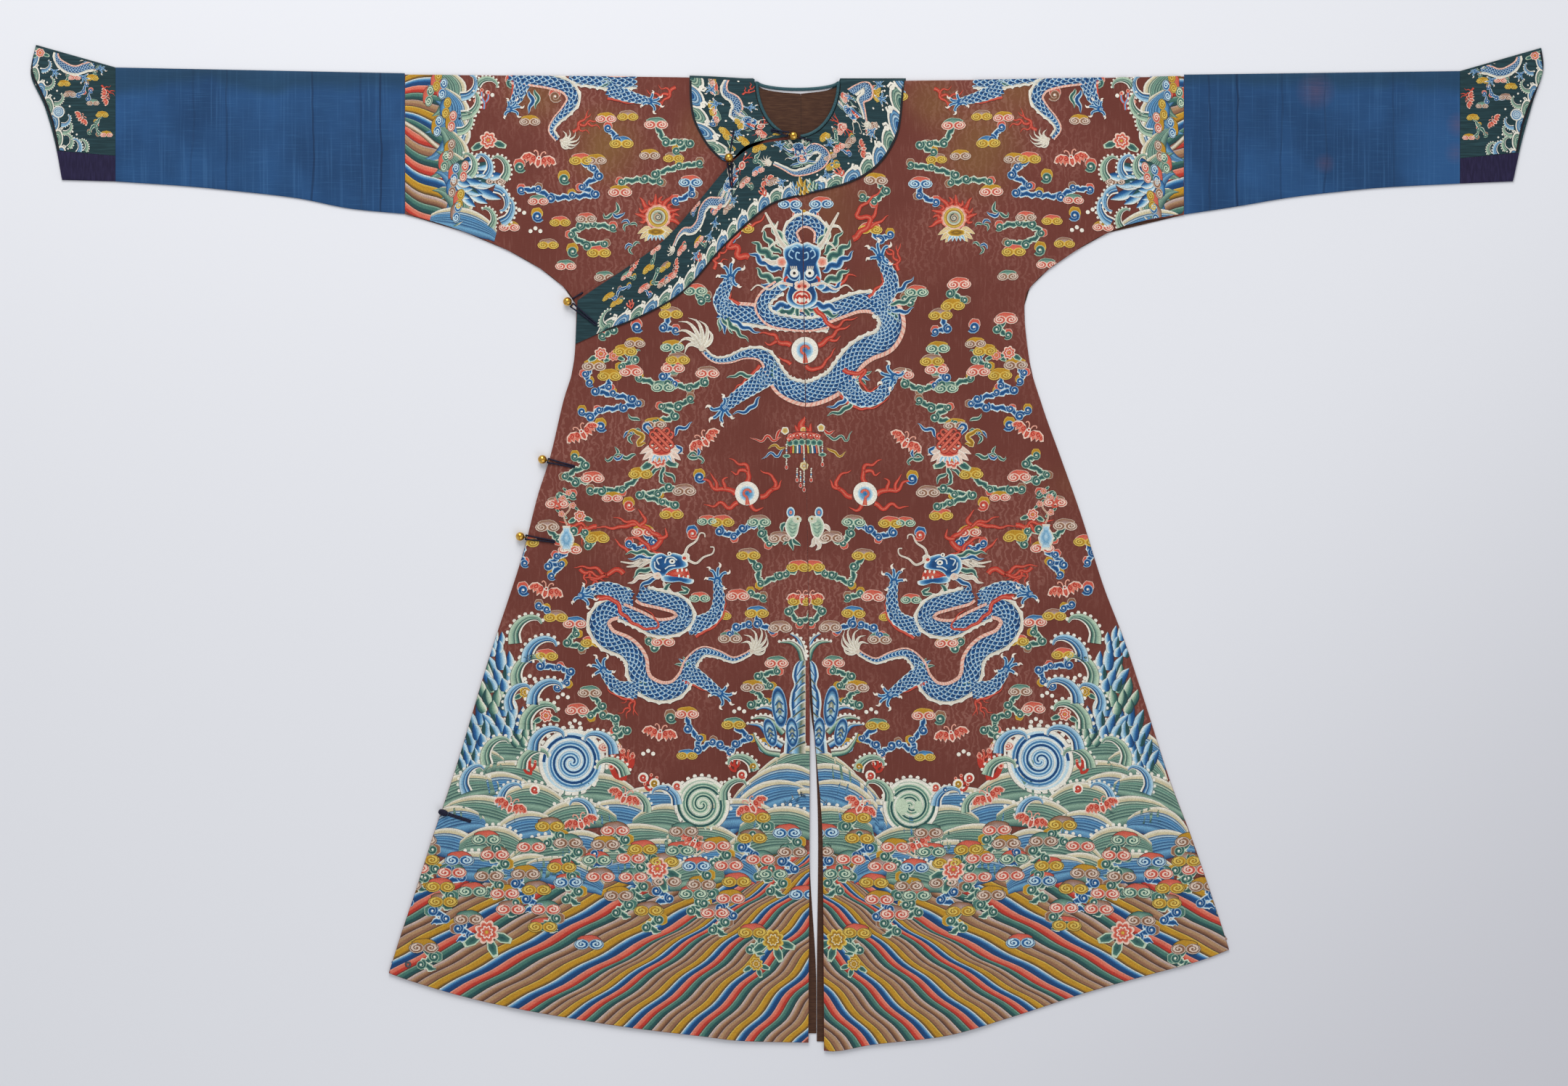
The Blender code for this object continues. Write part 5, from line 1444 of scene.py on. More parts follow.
def foot(u, y, size, turn, leg=(), layer=8, flames=1):
    # a five-toed foot, each toe a slim wavy limb with a hooked cream claw, and the scaled leg that ends in it
    if len(leg):
        path = even([*leg, (u, y)], 1.6)
        count = len(path)
        wide = size * np.linspace(1.12, 0.5, count) * (1 + 0.06 * np.cos(np.arange(count) * 0.9))
        ribbon(path[::3], wide[::3], "white ice deep deep deep deep deep ice white", layer - 1,
            (-1, -0.86, -0.78, -0.4, 0, 0.4, 0.78, 0.86, 1))
        scales(path, wide, -0.8, 0.8, "scale", layer - 0.9, 1, 6.2)
        upper = slice(count * 3 // 4)
        edge = path[upper] + normals(path)[upper] * (wide[upper] * 1.16 * flames)[:, None]
        flame(edge[::4], size * 0.19, layer - 1.4)
        for k, hue in enumerate(("green", "blue", "green")):
            start = np.array(leg[0]) - normals(path)[0] * wide[0] * flames * 0.8
            way = np.radians(turn + 140 + 22 * k)
            out = np.array([np.cos(way), np.sin(way)])
            wisp([start, start + out * size * 0.9 + (2, 2), start + out * size * (2.2 - 0.3 * k)], hue,
                size * 0.26, layer - 1.6 - 0.2 * k)
    for angle, long, bend in ((-92, 1.25, 0.1), (-44, 1.6, 0.22), (0, 1.7, -0.12), (46, 1.55, -0.26),
            (128, 1.2, 0.2)):
        put = placed(u, y, size, turn + angle)
        path = smoothPath(put([(0.2, 0), (0.7 * long, bend), (1.0 * long, -0.1 * bend)]), 10)
        half = size * np.array([0.27, 0.25, 0.21, 0.2, 0.22, 0.19, 0.18, 0.21, 0.16, 0.05])
        ribbon(path, half, "ice ice sky blue navy blue sky ice ice", layer + 0.1,
            (-1, -0.74, -0.6, -0.3, 0, 0.3, 0.6, 0.74, 1))
        claw = smoothPath(put([(0.92 * long, -0.1 * bend), (1.14 * long, 0.12), (1.3 * long, -0.16)]), 7)
        ribbon(claw, size * np.array([0.13, 0.16, 0.15, 0.13, 0.1, 0.06, 0.01]),
            "shell white white blush", layer + 0.5)
    disc(placed(u, y, size * 0.46, turn), lobes(12, 5, 0.08), (1, 0.8, 0), "blue blue navy", layer + 0.7)
    for k in (-1, 0, 1):
        put = placed(u, y, size, turn)
        ribbon(smoothPath(put([(-0.2 + 0.16 * k, -0.2), (-0.1 + 0.16 * k, 0), (-0.2 + 0.16 * k, 0.2)]), 5),
            size * 0.035, "ice ice", layer + 1)


def tailFan(u, y, size, turn, layer=7):
    # the tail's fan: slim cream blades that sweep away and curl the same way
    for k, (angle, long) in enumerate(((-62, 0.8), (-40, 1.1), (-22, 1.4), (-4, 1.6), (14, 1.5),
            (34, 1.25), (58, 0.9))):
        put = placed(u, y, size, turn + angle)
        path = smoothPath(put([(0, 0), (0.45 * long, 0.18), (0.82 * long, 0.1), (long, -0.28)]), 10)
        ribbon(path, size * 0.075 * np.array([0.8, 1.2, 1.4, 1.4, 1.25, 1.05, 0.8, 0.55, 0.3, 0.05]),
            "white cream cream tan cream white", layer + 0.1 * (k % 3), (-1, -0.6, -0.08, 0, 0.08, 1))
    disc(placed(u, y, size * 0.16, turn), lobes(9), (1, 0), "cream shell", layer + 0.6)


def frontFace(u, y, size, layer=9):
    # a dragon's face seen from the front, 1.2 times as high as its drawing; size is half its brow's width
    tall = lambda flip: lambda points: placed(u, y, size, 0, flip)(np.asarray(points, float) * [1, 1.2])
    put = tall(1)
    for side in (-1, 1):
        own = tall(side)
        locks(own, (
            ("green", 0.24, [(1.2, 0.6), (1.9, 0.9), (2.7, 1.5)]),
            ("blue", 0.22, [(1.1, 0.15), (1.9, 0.45), (2.85, 1.0)]),
            ("green", 0.22, [(1.05, -0.35), (1.8, -0.2), (2.55, 0.25)]),
            ("blue", 0.21, [(1.0, -0.6), (1.6, -0.7), (2.2, -0.4)]),
            ("green", 0.18, [(1.15, 0.9), (1.7, 1.35), (2.2, 2.0)]),
            ("cream", 0.14, [(1.15, 0.4), (1.6, 0.55), (2.2, 0.6)]),
            ("green", 0.22, [(0.85, 1.1), (1.2, 1.6), (1.65, 2.3)]),
            ("green", 0.22, [(0.2, -1.5), (1.0, -1.75), (2.0, -1.9)]),
            ("blue", 0.2, [(0.3, -1.4), (1.2, -1.45), (2.3, -1.7)]),
            ("green", 0.14, [(0.1, -1.45), (0.3, -1.8), (0.25, -2.1)]),
        ), size, layer - 2)
        antler = even(own([(0.75, 1.05), (1.2, 1.5), (1.55, 2.1), (2.0, 2.8)]), 1.8)
        ribbon(antler, size * np.linspace(0.17, 0.05, len(antler)),
            "white cream shell cream white", layer - 0.8)
        for prong in ([(1.2, 1.5), (1.6, 1.35), (1.85, 1.1)], [(1.65, 2.2), (2.0, 2.15), (2.2, 1.9)],
                [(1.5, 2.0), (1.3, 2.4)]):
            prong = even(own(prong), 1.8)
            ribbon(prong, size * np.linspace(0.1, 0.03, len(prong)), "white cream cream white", layer - 0.9)
        disc(own, lobes(12, 5, 0.14) * [0.34, 0.26], (1, 0.78, 0.6, 0), "white blush rose coral",
            layer - 0.6, (1.1, 0.55))
        disc(own, lobes(14, 6, 0.14) * [0.3, 0.24], (1, 0.8, 0.7, 0), "white ice sky blue",
            layer - 0.5, (1.02, -0.5))
        whisker = even(own([(0.5, -0.5), (1.2, -0.42), (1.8, -0.7), (2.4, -0.5), (2.8, -0.75)]), 1.6)
        ribbon(whisker, size * np.linspace(0.085, 0.03, len(whisker)),
            "white cream shell white", layer + 1.4)
    half = np.array([(0, 1.36), (0.28, 1.46), (0.62, 1.34), (0.98, 1.2), (1.02, 0.85), (0.86, 0.55),
        (0.98, 0.2), (1.06, -0.15), (0.92, -0.45), (0.7, -0.62),
        (0.84, -0.95), (0.8, -1.3), (0.46, -1.52), (0, -1.6)])
    outline = smoothPath(np.concatenate([half, half[-2:0:-1] * [-1, 1], half[:1]]), 64)[:-1]
    disc(put, outline + [0, 0.1], (1, 0.95, 0.91, 0.86, 0.78, 0), "white ice sky blue navy navy",
        layer, (0, -0.1))
    for side in (-1, 1):
        own = tall(side)
        disc(own, lobes(14) * [0.25, 0.2], (1, 0.8, 0.76, 0.36, 0.32, 0),
            "ice white white white black black", layer + 0.8, (0.42, 0.04))
        for points, half in (
            ([(0.12, -0.1), (0.3, -0.28), (0.6, -0.24), (0.82, -0.02)], 0.045),
            ([(0.1, 0.62), (0.32, 0.72), (0.3, 0.98), (0.12, 0.94)], 0.05),
            ([(0.5, 0.7), (0.72, 0.86), (0.6, 1.1), (0.44, 1.0)], 0.05),
            ([(0.2, 1.2), (0.4, 1.26), (0.62, 1.14)], 0.05),
            ([(0.14, 0.1), (0.12, -0.2), (0.2, -0.42)], 0.04),
        ):
            ribbon(smoothPath(own(points), 11), size * half * 0.8, "sky ice sky", layer + 1)
        ribbon(smoothPath(own([(0.74, -0.1), (0.94, -0.24), (0.86, -0.5), (0.72, -0.4)]), 10), size * 0.07,
            "coral red red", layer + 1)
        for x in (0.28, 0.38, 0.48, 0.58):
            ribbon(smoothPath(own([(x, 0.2), (x + 0.03, 0.36)]), 4), size * 0.028,
                "cream cream", layer + 1.1)
    disc(put, lobes(24, 5, 0.16) * [0.46, 0.26], (1, 0.86, 0.8, 0.4, 0), "white blush blush rose coral",
        layer + 1.1, (0, -0.52))
    for side in (-1, 1):
        disc(put, lobes(8) * [0.1, 0.08], (1, 0), "red red", layer + 1.3, (side * 0.16, -0.56))
    disc(put, lobes(22) * [0.54, 0.36], (1, 0.9, 0.84, 0.66, 0.6, 0), "white cream red red blush blush",
        layer + 0.9, (0, -1.06))
    ribbon(smoothPath(put([(-0.3, -1.12), (-0.16, -0.98), (0, -1.04), (0.16, -0.98), (0.3, -1.12)]), 13),
        size * 0.07, "red red", layer + 1.2)
    for x in (-0.34, -0.12, 0.12, 0.34):
        disc(put, lobes(6) * [0.07, 0.12], (1, 0), "white white", layer + 1.3, (x, -1.2))


def sideFace(u, y, size, flip=1, turn=0.0, layer=9):
    # a dragon's face seen from the side, its open mouth towards -x; size is about a third of its length
    put = placed(u, y, size, turn, flip)
    locks(put, (
        ("green", 0.17, [(0.6, 0.5), (1.7, 0.85), (2.9, 0.75)]),
        ("blue", 0.16, [(0.8, 0.3), (1.8, 0.5), (2.7, 0.35)]),
        ("green", 0.19, [(0.9, -0.4), (1.7, -0.35), (2.4, -0.85)]),
        ("cream", 0.16, [(0.9, -0.75), (1.7, -0.8), (2.7, -1.3)]),
        ("blue", 0.16, [(0.7, -0.95), (1.4, -1.15), (2.0, -1.7)]),
        ("green", 0.16, [(-0.2, -1.3), (0.3, -1.7), (0.9, -1.95)]),
        ("green", 0.15, [(-0.9, -1.4), (-1.3, -1.75), (-0.6, -2.0)]),
        ("cream", 0.12, [(0.3, -1.1), (0.0, -1.7), (-0.5, -1.9)]),
    ), size, layer - 2)
    for points in ([(0.9, 0.15), (1.7, 0.3), (2.4, 0.1), (3.2, 0.2)],
            [(1.7, 0.28), (2.2, -0.05), (2.8, -0.15)], [(1.3, 0.25), (1.8, -0.1), (2.1, -0.1)]):
        antler = even(put(points), 1.8)
        ribbon(antler, size * np.linspace(0.15, 0.04, len(antler)),
            "white cream shell cream white", layer - 0.8)
    skull = np.array([(1.25, -0.1), (1.15, 0.4), (0.8, 0.72), (0.4, 0.78), (0.0, 0.6), (-0.3, 0.8),
        (-0.8, 0.7), (-1.15, 0.55), (-1.3, 0.2), (-1.35, -0.1), (-0.9, -0.25),
        (-0.4, -0.3), (0.0, -0.5), (0.3, -0.85), (0.8, -0.75), (1.1, -0.45)])
    outline = smoothPath(np.concatenate([skull, skull[:1]]), 48)[:-1]
    disc(put, outline - [0.1, 0.05], (1, 0.92, 0.88, 0.74, 0.6, 0), "white ice sky blue navy blue",
        layer, (0.1, 0.05))
    jaw = np.array([(0.5, -0.75), (0.0, -0.7), (-0.5, -0.65), (-1.0, -0.8), (-1.5, -0.95), (-1.75, -1.0),
        (-1.7, -1.25), (-1.3, -1.3), (-0.8, -1.15), (-0.2, -1.2), (0.4, -1.1)])
    outline = smoothPath(np.concatenate([jaw, jaw[:1]]), 34)[:-1]
    disc(put, outline - jaw.mean(0), (1, 0.86, 0.78, 0.5, 0), "white ice sky blue navy",
        layer - 0.2, jaw.mean(0))
    mouth = np.array([(0.2, -0.65), (-0.4, -0.34), (-1.1, -0.26), (-1.4, -0.4), (-1.5, -0.9),
        (-0.9, -0.85), (-0.3, -0.8)])
    disc(put, mouth - mouth.mean(0), (1, 0.86, 0.8, 0), "coral red red coral", layer + 0.3, mouth.mean(0))
    for x, z in ((-1.25, -0.36), (-0.95, -0.36), (-0.65, -0.4), (-1.35, -0.8), (-1.05, -0.8),
            (-0.75, -0.76)):
        disc(put, lobes(6) * [0.08, 0.12], (1, 0), "white white", layer + 0.6, (x, z))
    disc(put, lobes(14) * [0.22, 0.18], (1, 0.8, 0.76, 0.38, 0.34, 0), "ice white white white black black",
        layer + 0.8, (-0.28, 0.22))
    disc(put, lobes(12) * [0.15, 0.14], (1, 0.8, 0.4, 0.36, 0), "white white white black black",
        layer + 0.8, (-0.1, 0.74))
    for points in ([(-0.6, 0.3), (-0.3, 0.5), (0.1, 0.42), (0.2, 0.1)],
            [(0.4, 0.5), (0.75, 0.35), (0.6, 0.0)], [(0.9, 0.2), (0.85, -0.2), (0.5, -0.4)],
            [(-0.5, -0.05), (-0.1, -0.1), (0.2, -0.3)]):
        ribbon(smoothPath(put(points), 10), size * 0.05, "sky white ice", layer + 1)
    disc(put, lobes(16, 6, 0.16) * [0.3, 0.34], (1, 0.82, 0.6, 0), "white white cream shell",
        layer + 0.9, (-1.2, 0.5))
    disc(put, lobes(8) * [0.13, 0.11], (1, 0.5, 0), "red red coral", layer + 1.1, (-1.1, 0.44))
    disc(put, lobes(14, 5, 0.16) * [0.3, 0.26], (1, 0.8, 0.5, 0), "white blush cream rose",
        layer + 0.6, (0.72, -0.75))
    for points in ([(-1.15, 0.75), (-1.35, 1.2), (-1.9, 1.6), (-2.15, 2.1), (-2.45, 2.1), (-2.5, 1.85)],
            [(-1.35, 0.3), (-1.9, 0.1), (-2.4, 0.5), (-3.0, 0.75), (-3.1, 1.15), (-2.85, 1.2)]):
        whisker = even(put(points), 1.6)
        ribbon(whisker, size * np.linspace(0.09, 0.035, len(whisker)),
            "white cream shell white", layer + 1.2)


# The drawing of one half of the body

yokeClouds = [
    ("blue", "gold pink", None,
        [(318, 547), (303, 538), (295, 527), (315, 512), (300, 502), (330, 498), (360, 497),
            (380, 507), (403, 507)]),
    ("green", "gold pink", None,
        [(293, 416), (287, 430), (310, 430), (330, 444), (318, 455), (300, 458), (273, 454)]),
    ("green", "pink green", None, [(212, 598), (198, 577), (180, 575), (166, 573), (183, 563)]),
    ("green", None, "pink gold",
        [(150, 545), (180, 540), (211, 530), (208, 520), (230, 522), (259, 518), (263, 502)]),
    ("blue", "blue pink", None, [(163, 516), (163, 502), (184, 492)]),
    ("blue", "gold blue", None, [(261, 571), (268, 580), (280, 595)]),
    ("blue", "blue pink", None, [(22, 485), (10, 476), (-4, 470)]),
    ("green", "green pink", None, [(156, 362), (148, 352), (139, 355)]),
    ("blue", "gold lilac", None, [(191, 329), (200, 313), (184, 308)]),
    ("green", "gold blue", None, [(130, 640), (118, 628), (96, 622), (80, 634)]),
    ("blue", "pink green", None, [(60, 560), (44, 548), (20, 556), (2, 548)]),
    ("green", "lilac gold", None, [(100, 520), (112, 508), (96, 494), (80, 498)]),
    ("blue", "gold pink", None, [(90, 450), (104, 440), (118, 446)]),
]
middleClouds = [
    ("green", "pink", "gold", [(216, 372), (206, 362), (222, 352), (208, 342)]),
    ("green", "gold", "pink", [(256, 276), (244, 267), (259, 257), (247, 247)]),
    ("blue", "pink", "green", [(188, 252), (200, 243), (188, 233), (202, 225)]),
    ("green", "pink", None, [(284, 320), (274, 309), (288, 300)]),
    ("blue", "gold", None,
        [(278, 241), (281, 229), (296, 222), (272, 217), (248, 211), (239, 205), (260, 199), (290, 195),
            (305, 187), (317, 193)]),
    ("green", "pink lilac", None, [(139, 245), (145, 235), (166, 228), (193, 232), (211, 232), (236, 241)]),
    ("green", None, "lilac gold", [(163, 211), (181, 202), (202, 200), (187, 187), (211, 178), (214, 172)]),
    ("green", "gold lilac", "green gold", [(181, 264), (186, 254), (189, 282)]),
    ("green", None, "pink", [(327, 129), (314, 117), (339, 102), (325, 94), (302, 96)]),
    ("green", None, "gold", [(305, 81), (287, 81), (260, 84), (234, 102)]),
    ("green", "lilac", "gold pink",
        [(172, 78), (193, 84), (211, 78), (233, 75), (205, 66), (187, 60), (190, 45)]),
    ("green", "lilac", "gold", [(366, 27), (350, 14), (330, 22), (314, 20), (308, 5), (295, 11)]),
    ("blue", "pink gold", None, [(334, -5), (351, -13), (363, -25), (348, -24), (360, -40)]),
    ("blue", "gold pink", "green lilac", [(118, 34), (120, 24), (102, 18), (87, 27), (66, 34)]),
    ("green", None, "lilac", [(62, 30), (60, 20), (51, 8), (36, 11)]),
    ("green", "gold lilac", "gold pink", [(81, -13), (69, -28), (63, -49), (39, -40), (26, -36), (10, -30)]),
    ("green", None, "pink", [(60, -71), (78, -66), (96, -71)]),
    ("blue", "gold blue", "lilac", [(69, -95), (66, -107), (48, -116), (36, -116)]),
    ("blue", None, "lilac green", [(80, -108), (96, -113), (105, -122), (107, -131)]),
    ("blue", "gold lilac", None, [(354, -101), (366, -90), (378, -82)]),
    ("green", "pink blue", "gold pink", [(327, -110), (327, -122), (336, -134), (318, -140), (302, -137)]),
    ("green", "pink gold", None, [(202, -136), (214, -140), (222, -132)]),
    ("blue", "gold pink", None,
        [(368, -156), (374, -167), (352, -170), (335, -176), (340, -190), (352, -198)]),
    ("green", "lilac green", "pink", [(306, -208), (290, -224), (305, -236), (324, -233)]),
    ("green", None, "pink gold",
        [(287, -237), (271, -243), (268, -256), (255, -259), (270, -268), (281, -269), (277, -285)]),
    ("blue", "pink gold", "gold green",
        [(168, -238), (165, -256), (152, -270), (152, -285), (133, -277), (120, -281),
            (107, -288), (97, -278),
            (81, -269), (102, -253)]),
    ("green", "pink green", "lilac gold", [(41, -166), (42, -175), (65, -182), (52, -195), (75, -200)]),
    ("green", None, None, [(75, -200), (59, -217), (75, -222), (46, -222)]),
    ("blue", "gold pink", None, [(395, 5), (404, -8), (398, -22)]),
    ("green", "pink lilac", None, [(352, 60), (346, 72), (330, 74)]),
    ("blue", "lilac gold", None, [(300, 255), (310, 246), (306, 234)]),
    ("green", "gold pink", None, [(8, -78), (22, -90), (8, -104), (-8, -96)]),
    ("blue", "pink gold", None, [(230, 20), (218, 8), (236, -2), (250, 6)]),
]
loneHeads = [
    (297, 550, "lilac gold"), (379, 492, "pink green"), (348, 462, "gold pink"), (311, 467, "lilac pink"),
    (285, 384, "lilac green"), (221, 557, "lilac gold"), (187, 553, "gold lilac"), (283, 609, "pink gold"),
    (252, 612, "gold lilac"), (391, 605, "lilac gold"), (274, 71, "pink gold"), (139, 38, "green pink"),
    (242, 290, "lilac gold"), (120, -96, "gold pink"), (168, -294, "gold blue"), (420, 455, "pink gold"),
    (440, 520, "lilac blue"), (365, 430, "gold lilac"), (340, 400, "pink green"), (150, -71, "green pink"),
]
loneCurls = [
    (342, 523, "green", "gold"), (417, 660, "green", "pink"), (355, 640, "lilac", "pink"),
    (239, 313, "blue", "pink"), (187, 254, "green", "gold"), (290, 172, "blue", "gold"),
    (59, -282, "blue", "gold"), (191, -241, "green", "lilac"), (380, 470, "blue", "gold"),
    (405, 540, "green", "pink"), (460, 500, "blue", "gold"), (330, 420, "green", "gold"),
    (250, 60, "pink", "gold"), (150, 100, "blue", "gold"), (160, 20, "pink", "blue"),
    (400, -60, "blue", "pink"),
]


def drawField():
    for hue, first, last, points in yokeClouds + middleClouds:
        cloud(hue, first, last, points)
    for u, y, hue in loneHeads:
        head(u, y, 15.0, hue)
    for u, y, hue, accent in loneCurls:
        curl(u, y, 9.5, hue, 80.0, accent)
    for u, y, size, turn in ((379, 547, 15, 10), (315, 160, 15, -30), (142, 150, 15, -35),
            (369, -64, 15, 15), (207, -266, 15, 10), (5, -74, 13, 0)):
        bat(u, y, size, turn)
    for u, y, size, hue in ((450, 578, 13, "pink"), (290, 275, 10, "pink"), (272, 272, 8, "red"),
            (320, 45, 9, "pink"), (368, -238, 10, "pink"), (397, -205, 9, "gold"), (208, 126, 14, "pink")):
        flower(u, y, size, hue)
    for u, y, size in ((273, 475, 8), (250, 458, 6), (245, 427, 6), (245, 160, 7), (272, 130, 7),
            (154, 130, 7), (242, 272, 6)):
        sprig(u, y, size * 1.3, u * 7.0)
    for u, y in ((474, 644), (450, 642), (405, 475), (382, 449), (343, -212), (326, -249), (390, -186),
            (222, -292), (93, -232), (101, -305)):
        for step in range(3):
            dot(u + 7 * step - 6, y + (4 if step == 1 else 0), 3.0, "white", 3, 8)
    for u, y, size, turn, flip in ((184, 653, 4.2, -60, 1), (296, 30, 5.6, 195, -1), (235, 8, 4.0, 200, 1),
            (320, -30, 4.4, 190, 1), (330, 590, 4.0, 120, 1), (130, 395, 4.0, 80, 1),
            (246, -205, 3.6, 250, 1), (190, 120, 3.2, 250, -1)):
        flameFork(u, y, size, turn, flip)
    for u, y, size, turn in ((456, 622, 17, 80), (252, -307, 12, 90), (348, 55, 10, 60)):
        coral(u, y, size, turn, 4, "coral" if u < 400 else "sky")


def drawEmblems():
    # a sun on a lotus, an endless knot on a lotus, and a vase with a sprig
    for k, angle in enumerate(range(-14, 200, 19)):
        put = placed(209, 469, 1.0, angle)
        long = (27, 33, 30, 38)[k % 4]
        flame(put([(12, 0), (19, 2.4 * (-1) ** k), (long * 0.75, -1.6 * (-1) ** k), (long, 1.0)]), 4.4, 3.2)
    disc(placed(209, 469, 19), lobes(26, 13, 0.08), (1, 0.9, 0.78, 0.7), "coral rose blush blush", 4)
    disc(placed(209, 469, 14.5), lobes(26), (1, 0.92, 0.78, 0.72, 0.66, 0.5, 0.44, 0),
        "amber straw gold amber cream sage tan cream", 4.4)
    coil(placed(209, 469, 14.5), 0, 0, 0.4, 1.6, 1, "pine", 5.2, 0.1, 16)
    lotus(212, 447, 17, "gold", 4.6)
    lotus(204, 135, 20, "pink", 4.6)
    put = placed(204, 153, 1.0, 45)
    for k in (-1, 0, 1):
        for a, b in (((-14, 7.5 * k), (14, 7.5 * k)), ((7.5 * k, -14), (7.5 * k, 14))):
            ribbon(put([a, np.add(a, b) / 2, b]), 2.5, "line red coral coral red line",
                6 + 0.4 * (a[0] == -14), (-1, -0.72, -0.4, 0.4, 0.72, 1))
    for k in (-3.75, 3.75):
        for spot in ((-14, k), (14, k), (k, -14), (k, 14)):
            disc(put, lobes(12) * 6.0, (1, 0.86, 0.5, 0.4), "line red coral line", 5.6, spot)
    for points, hue, half in (
        ([(186, 158), (182, 168), (172, 170), (160, 178)], "blue", 3.0),
        ([(222, 160), (228, 170), (222, 176), (216, 168)], "blue", 3.0),
        ([(226, 148), (236, 146), (232, 158), (242, 166), (254, 162)], "gold", 3.6),
        ([(184, 146), (176, 140), (182, 134)], "blue", 3.0),
        ([(234, 180), (246, 184), (252, 190)], "green", 2.6),
    ):
        wisp(points, hue, half, 5)
    stem([(206, 124), (202, 110), (206, 98), (198, 90)], "green", 3.2, 3)
    for points in ([(206, 112), (216, 108), (224, 98)], [(200, 108), (190, 102), (184, 92)],
            [(240, 132), (256, 128), (268, 134)], [(168, 132), (156, 126), (148, 132)]):
        wisp(points, "green", 3.0, 3)
    profile = np.array([(6, 18), (5, 12), (9, 6), (12, -2), (10, -10), (6, -16), (8, -20)])
    outline = np.concatenate([profile * [-1, 1], profile[::-1]])
    disc(placed(339, 14, 0.95), outline, (1, 0.86, 0.8, 0.4, 0), "white cream ice sky ice", 5)
    ribbon(even([(338, 32), (342, 44), (334, 56), (340, 68)], 2.6), 1.2, "blush tan blush", 4)
    for u, y in ((346, 48), (330, 60), (344, 70), (336, 78)):
        flower(u, y, 5.0, "pink", 5, (40, 220), 4.6)


def drawChestDragon():
    # the dragon on the middle line: here u runs on past the middle, below zero
    flamesOf((
        (3.8, [(21, 287), (39, 293), (46, 303), (66, 304)]), (2.6, [(39, 293), (50, 288), (58, 292)]),
        (3.8, [(-18, 287), (-33, 296), (-46, 308), (-64, 315)]), (2.6, [(-33, 296), (-44, 294), (-50, 300)]),
        (2.8, [(21, 260), (29, 265), (38, 271)]),
        (3.2, [(0, 258), (-12, 252), (-26, 260), (-33, 270), (-43, 283)]),
        (4.4, [(-67, 438), (-85, 453), (-93, 466), (-72, 471), (-82, 486), (-95, 496), (-110, 511)]),
        (3.2, [(-85, 453), (-98, 458), (-118, 471)]), (3.0, [(-92, 466), (-100, 476), (-101, 490)]),
        (4.6, [(80, 412), (95, 414), (98, 427), (111, 427), (100, 440), (90, 453), (72, 458), (55, 473)]),
        (3.0, [(-42, 372), (-56, 378), (-60, 388), (-72, 384)]), (2.6, [(-46, 374), (-50, 388), (-58, 398)]),
    ), 5)
    pearl(1, 280, 19, 0, 8)
    serpent([(15, 430), (21, 448), (8, 462), (-8, 462), (-21, 450), (-21, 432)], 9.5, 9.5, 1, 5,
        "scale", 0.45, 6.0)
    serpent([(118, 337), (100, 333), (77, 331), (52, 327), (21, 324), (-10, 323), (-34, 322)],
        15.0, 14.0, -1, 5)
    serpent([(-22, 329), (-46, 338), (-72, 347), (-93, 348), (-110, 342), (-118, 330)], 14.0, 16.0, 1, 4.6)
    serpent([(-104, 346), (-114, 340), (-121, 328), (-122, 311), (-111, 293), (-88, 283), (-70, 270),
        (-54, 249), (-41, 234), (-15, 221), (5, 219),
        (30, 229), (44, 248), (54, 267), (68, 275), (88, 274), (106, 267), (124, 265), (136, 270),
        (145, 279)], 18.0, 3.4)
    serpent([(37, 370), (55, 357), (62, 341), (49, 324), (23, 318), (-5, 316), (-32, 321)], 10.0, 9.0, 1,
        7.2, "scale", 0.45, 6.0)
    flame([(-14, 340), (-26, 326), (-40, 312), (-56, 322), (-74, 326)], 3.6, 8.4)
    flame([(-54, 253), (-70, 246), (-84, 252), (-78, 236), (-92, 222), (-104, 230)], 3.4, 8.4)
    tailFan(147, 283, 31, 62)
    legs = (
        (106, 383, 96, [(108, 334), (120, 352)], 1), (-106, 412, 82, [(-104, 346), (-122, 376)], -1),
        (-126, 242, 20, [(-58, 232), (-76, 212), (-102, 214)], 1),
        (116, 198, -42, [(54, 244), (76, 228), (98, 213)], 1),
    )
    for u, y, turn, leg, flames in legs:
        foot(u, y, 13.0, turn, leg, 8, flames)
    locks(np.asarray, (
        ("blue", 3.6, [(-118, 356), (-134, 366), (-154, 384)]),
        ("green", 3.8, [(-118, 346), (-138, 348), (-160, 360)]),
        ("blue", 3.4, [(-120, 338), (-138, 334), (-154, 340)]),
        ("green", 4.0, [(116, 334), (104, 314), (80, 292)]),
        ("blue", 3.6, [(108, 326), (90, 314), (64, 304)]), ("blue", 3.4, [(64, 214), (80, 196), (104, 190)]),
        ("blue", 3.4, [(-60, 222), (-52, 206), (-30, 198)]),
        ("green", 3.6, [(-70, 214), (-56, 196), (-30, 188)]),
        ("green", 3.2, [(70, 240), (92, 246), (112, 240)]),
    ), 1.0, 6.9)
    frontFace(5, 388, 26)


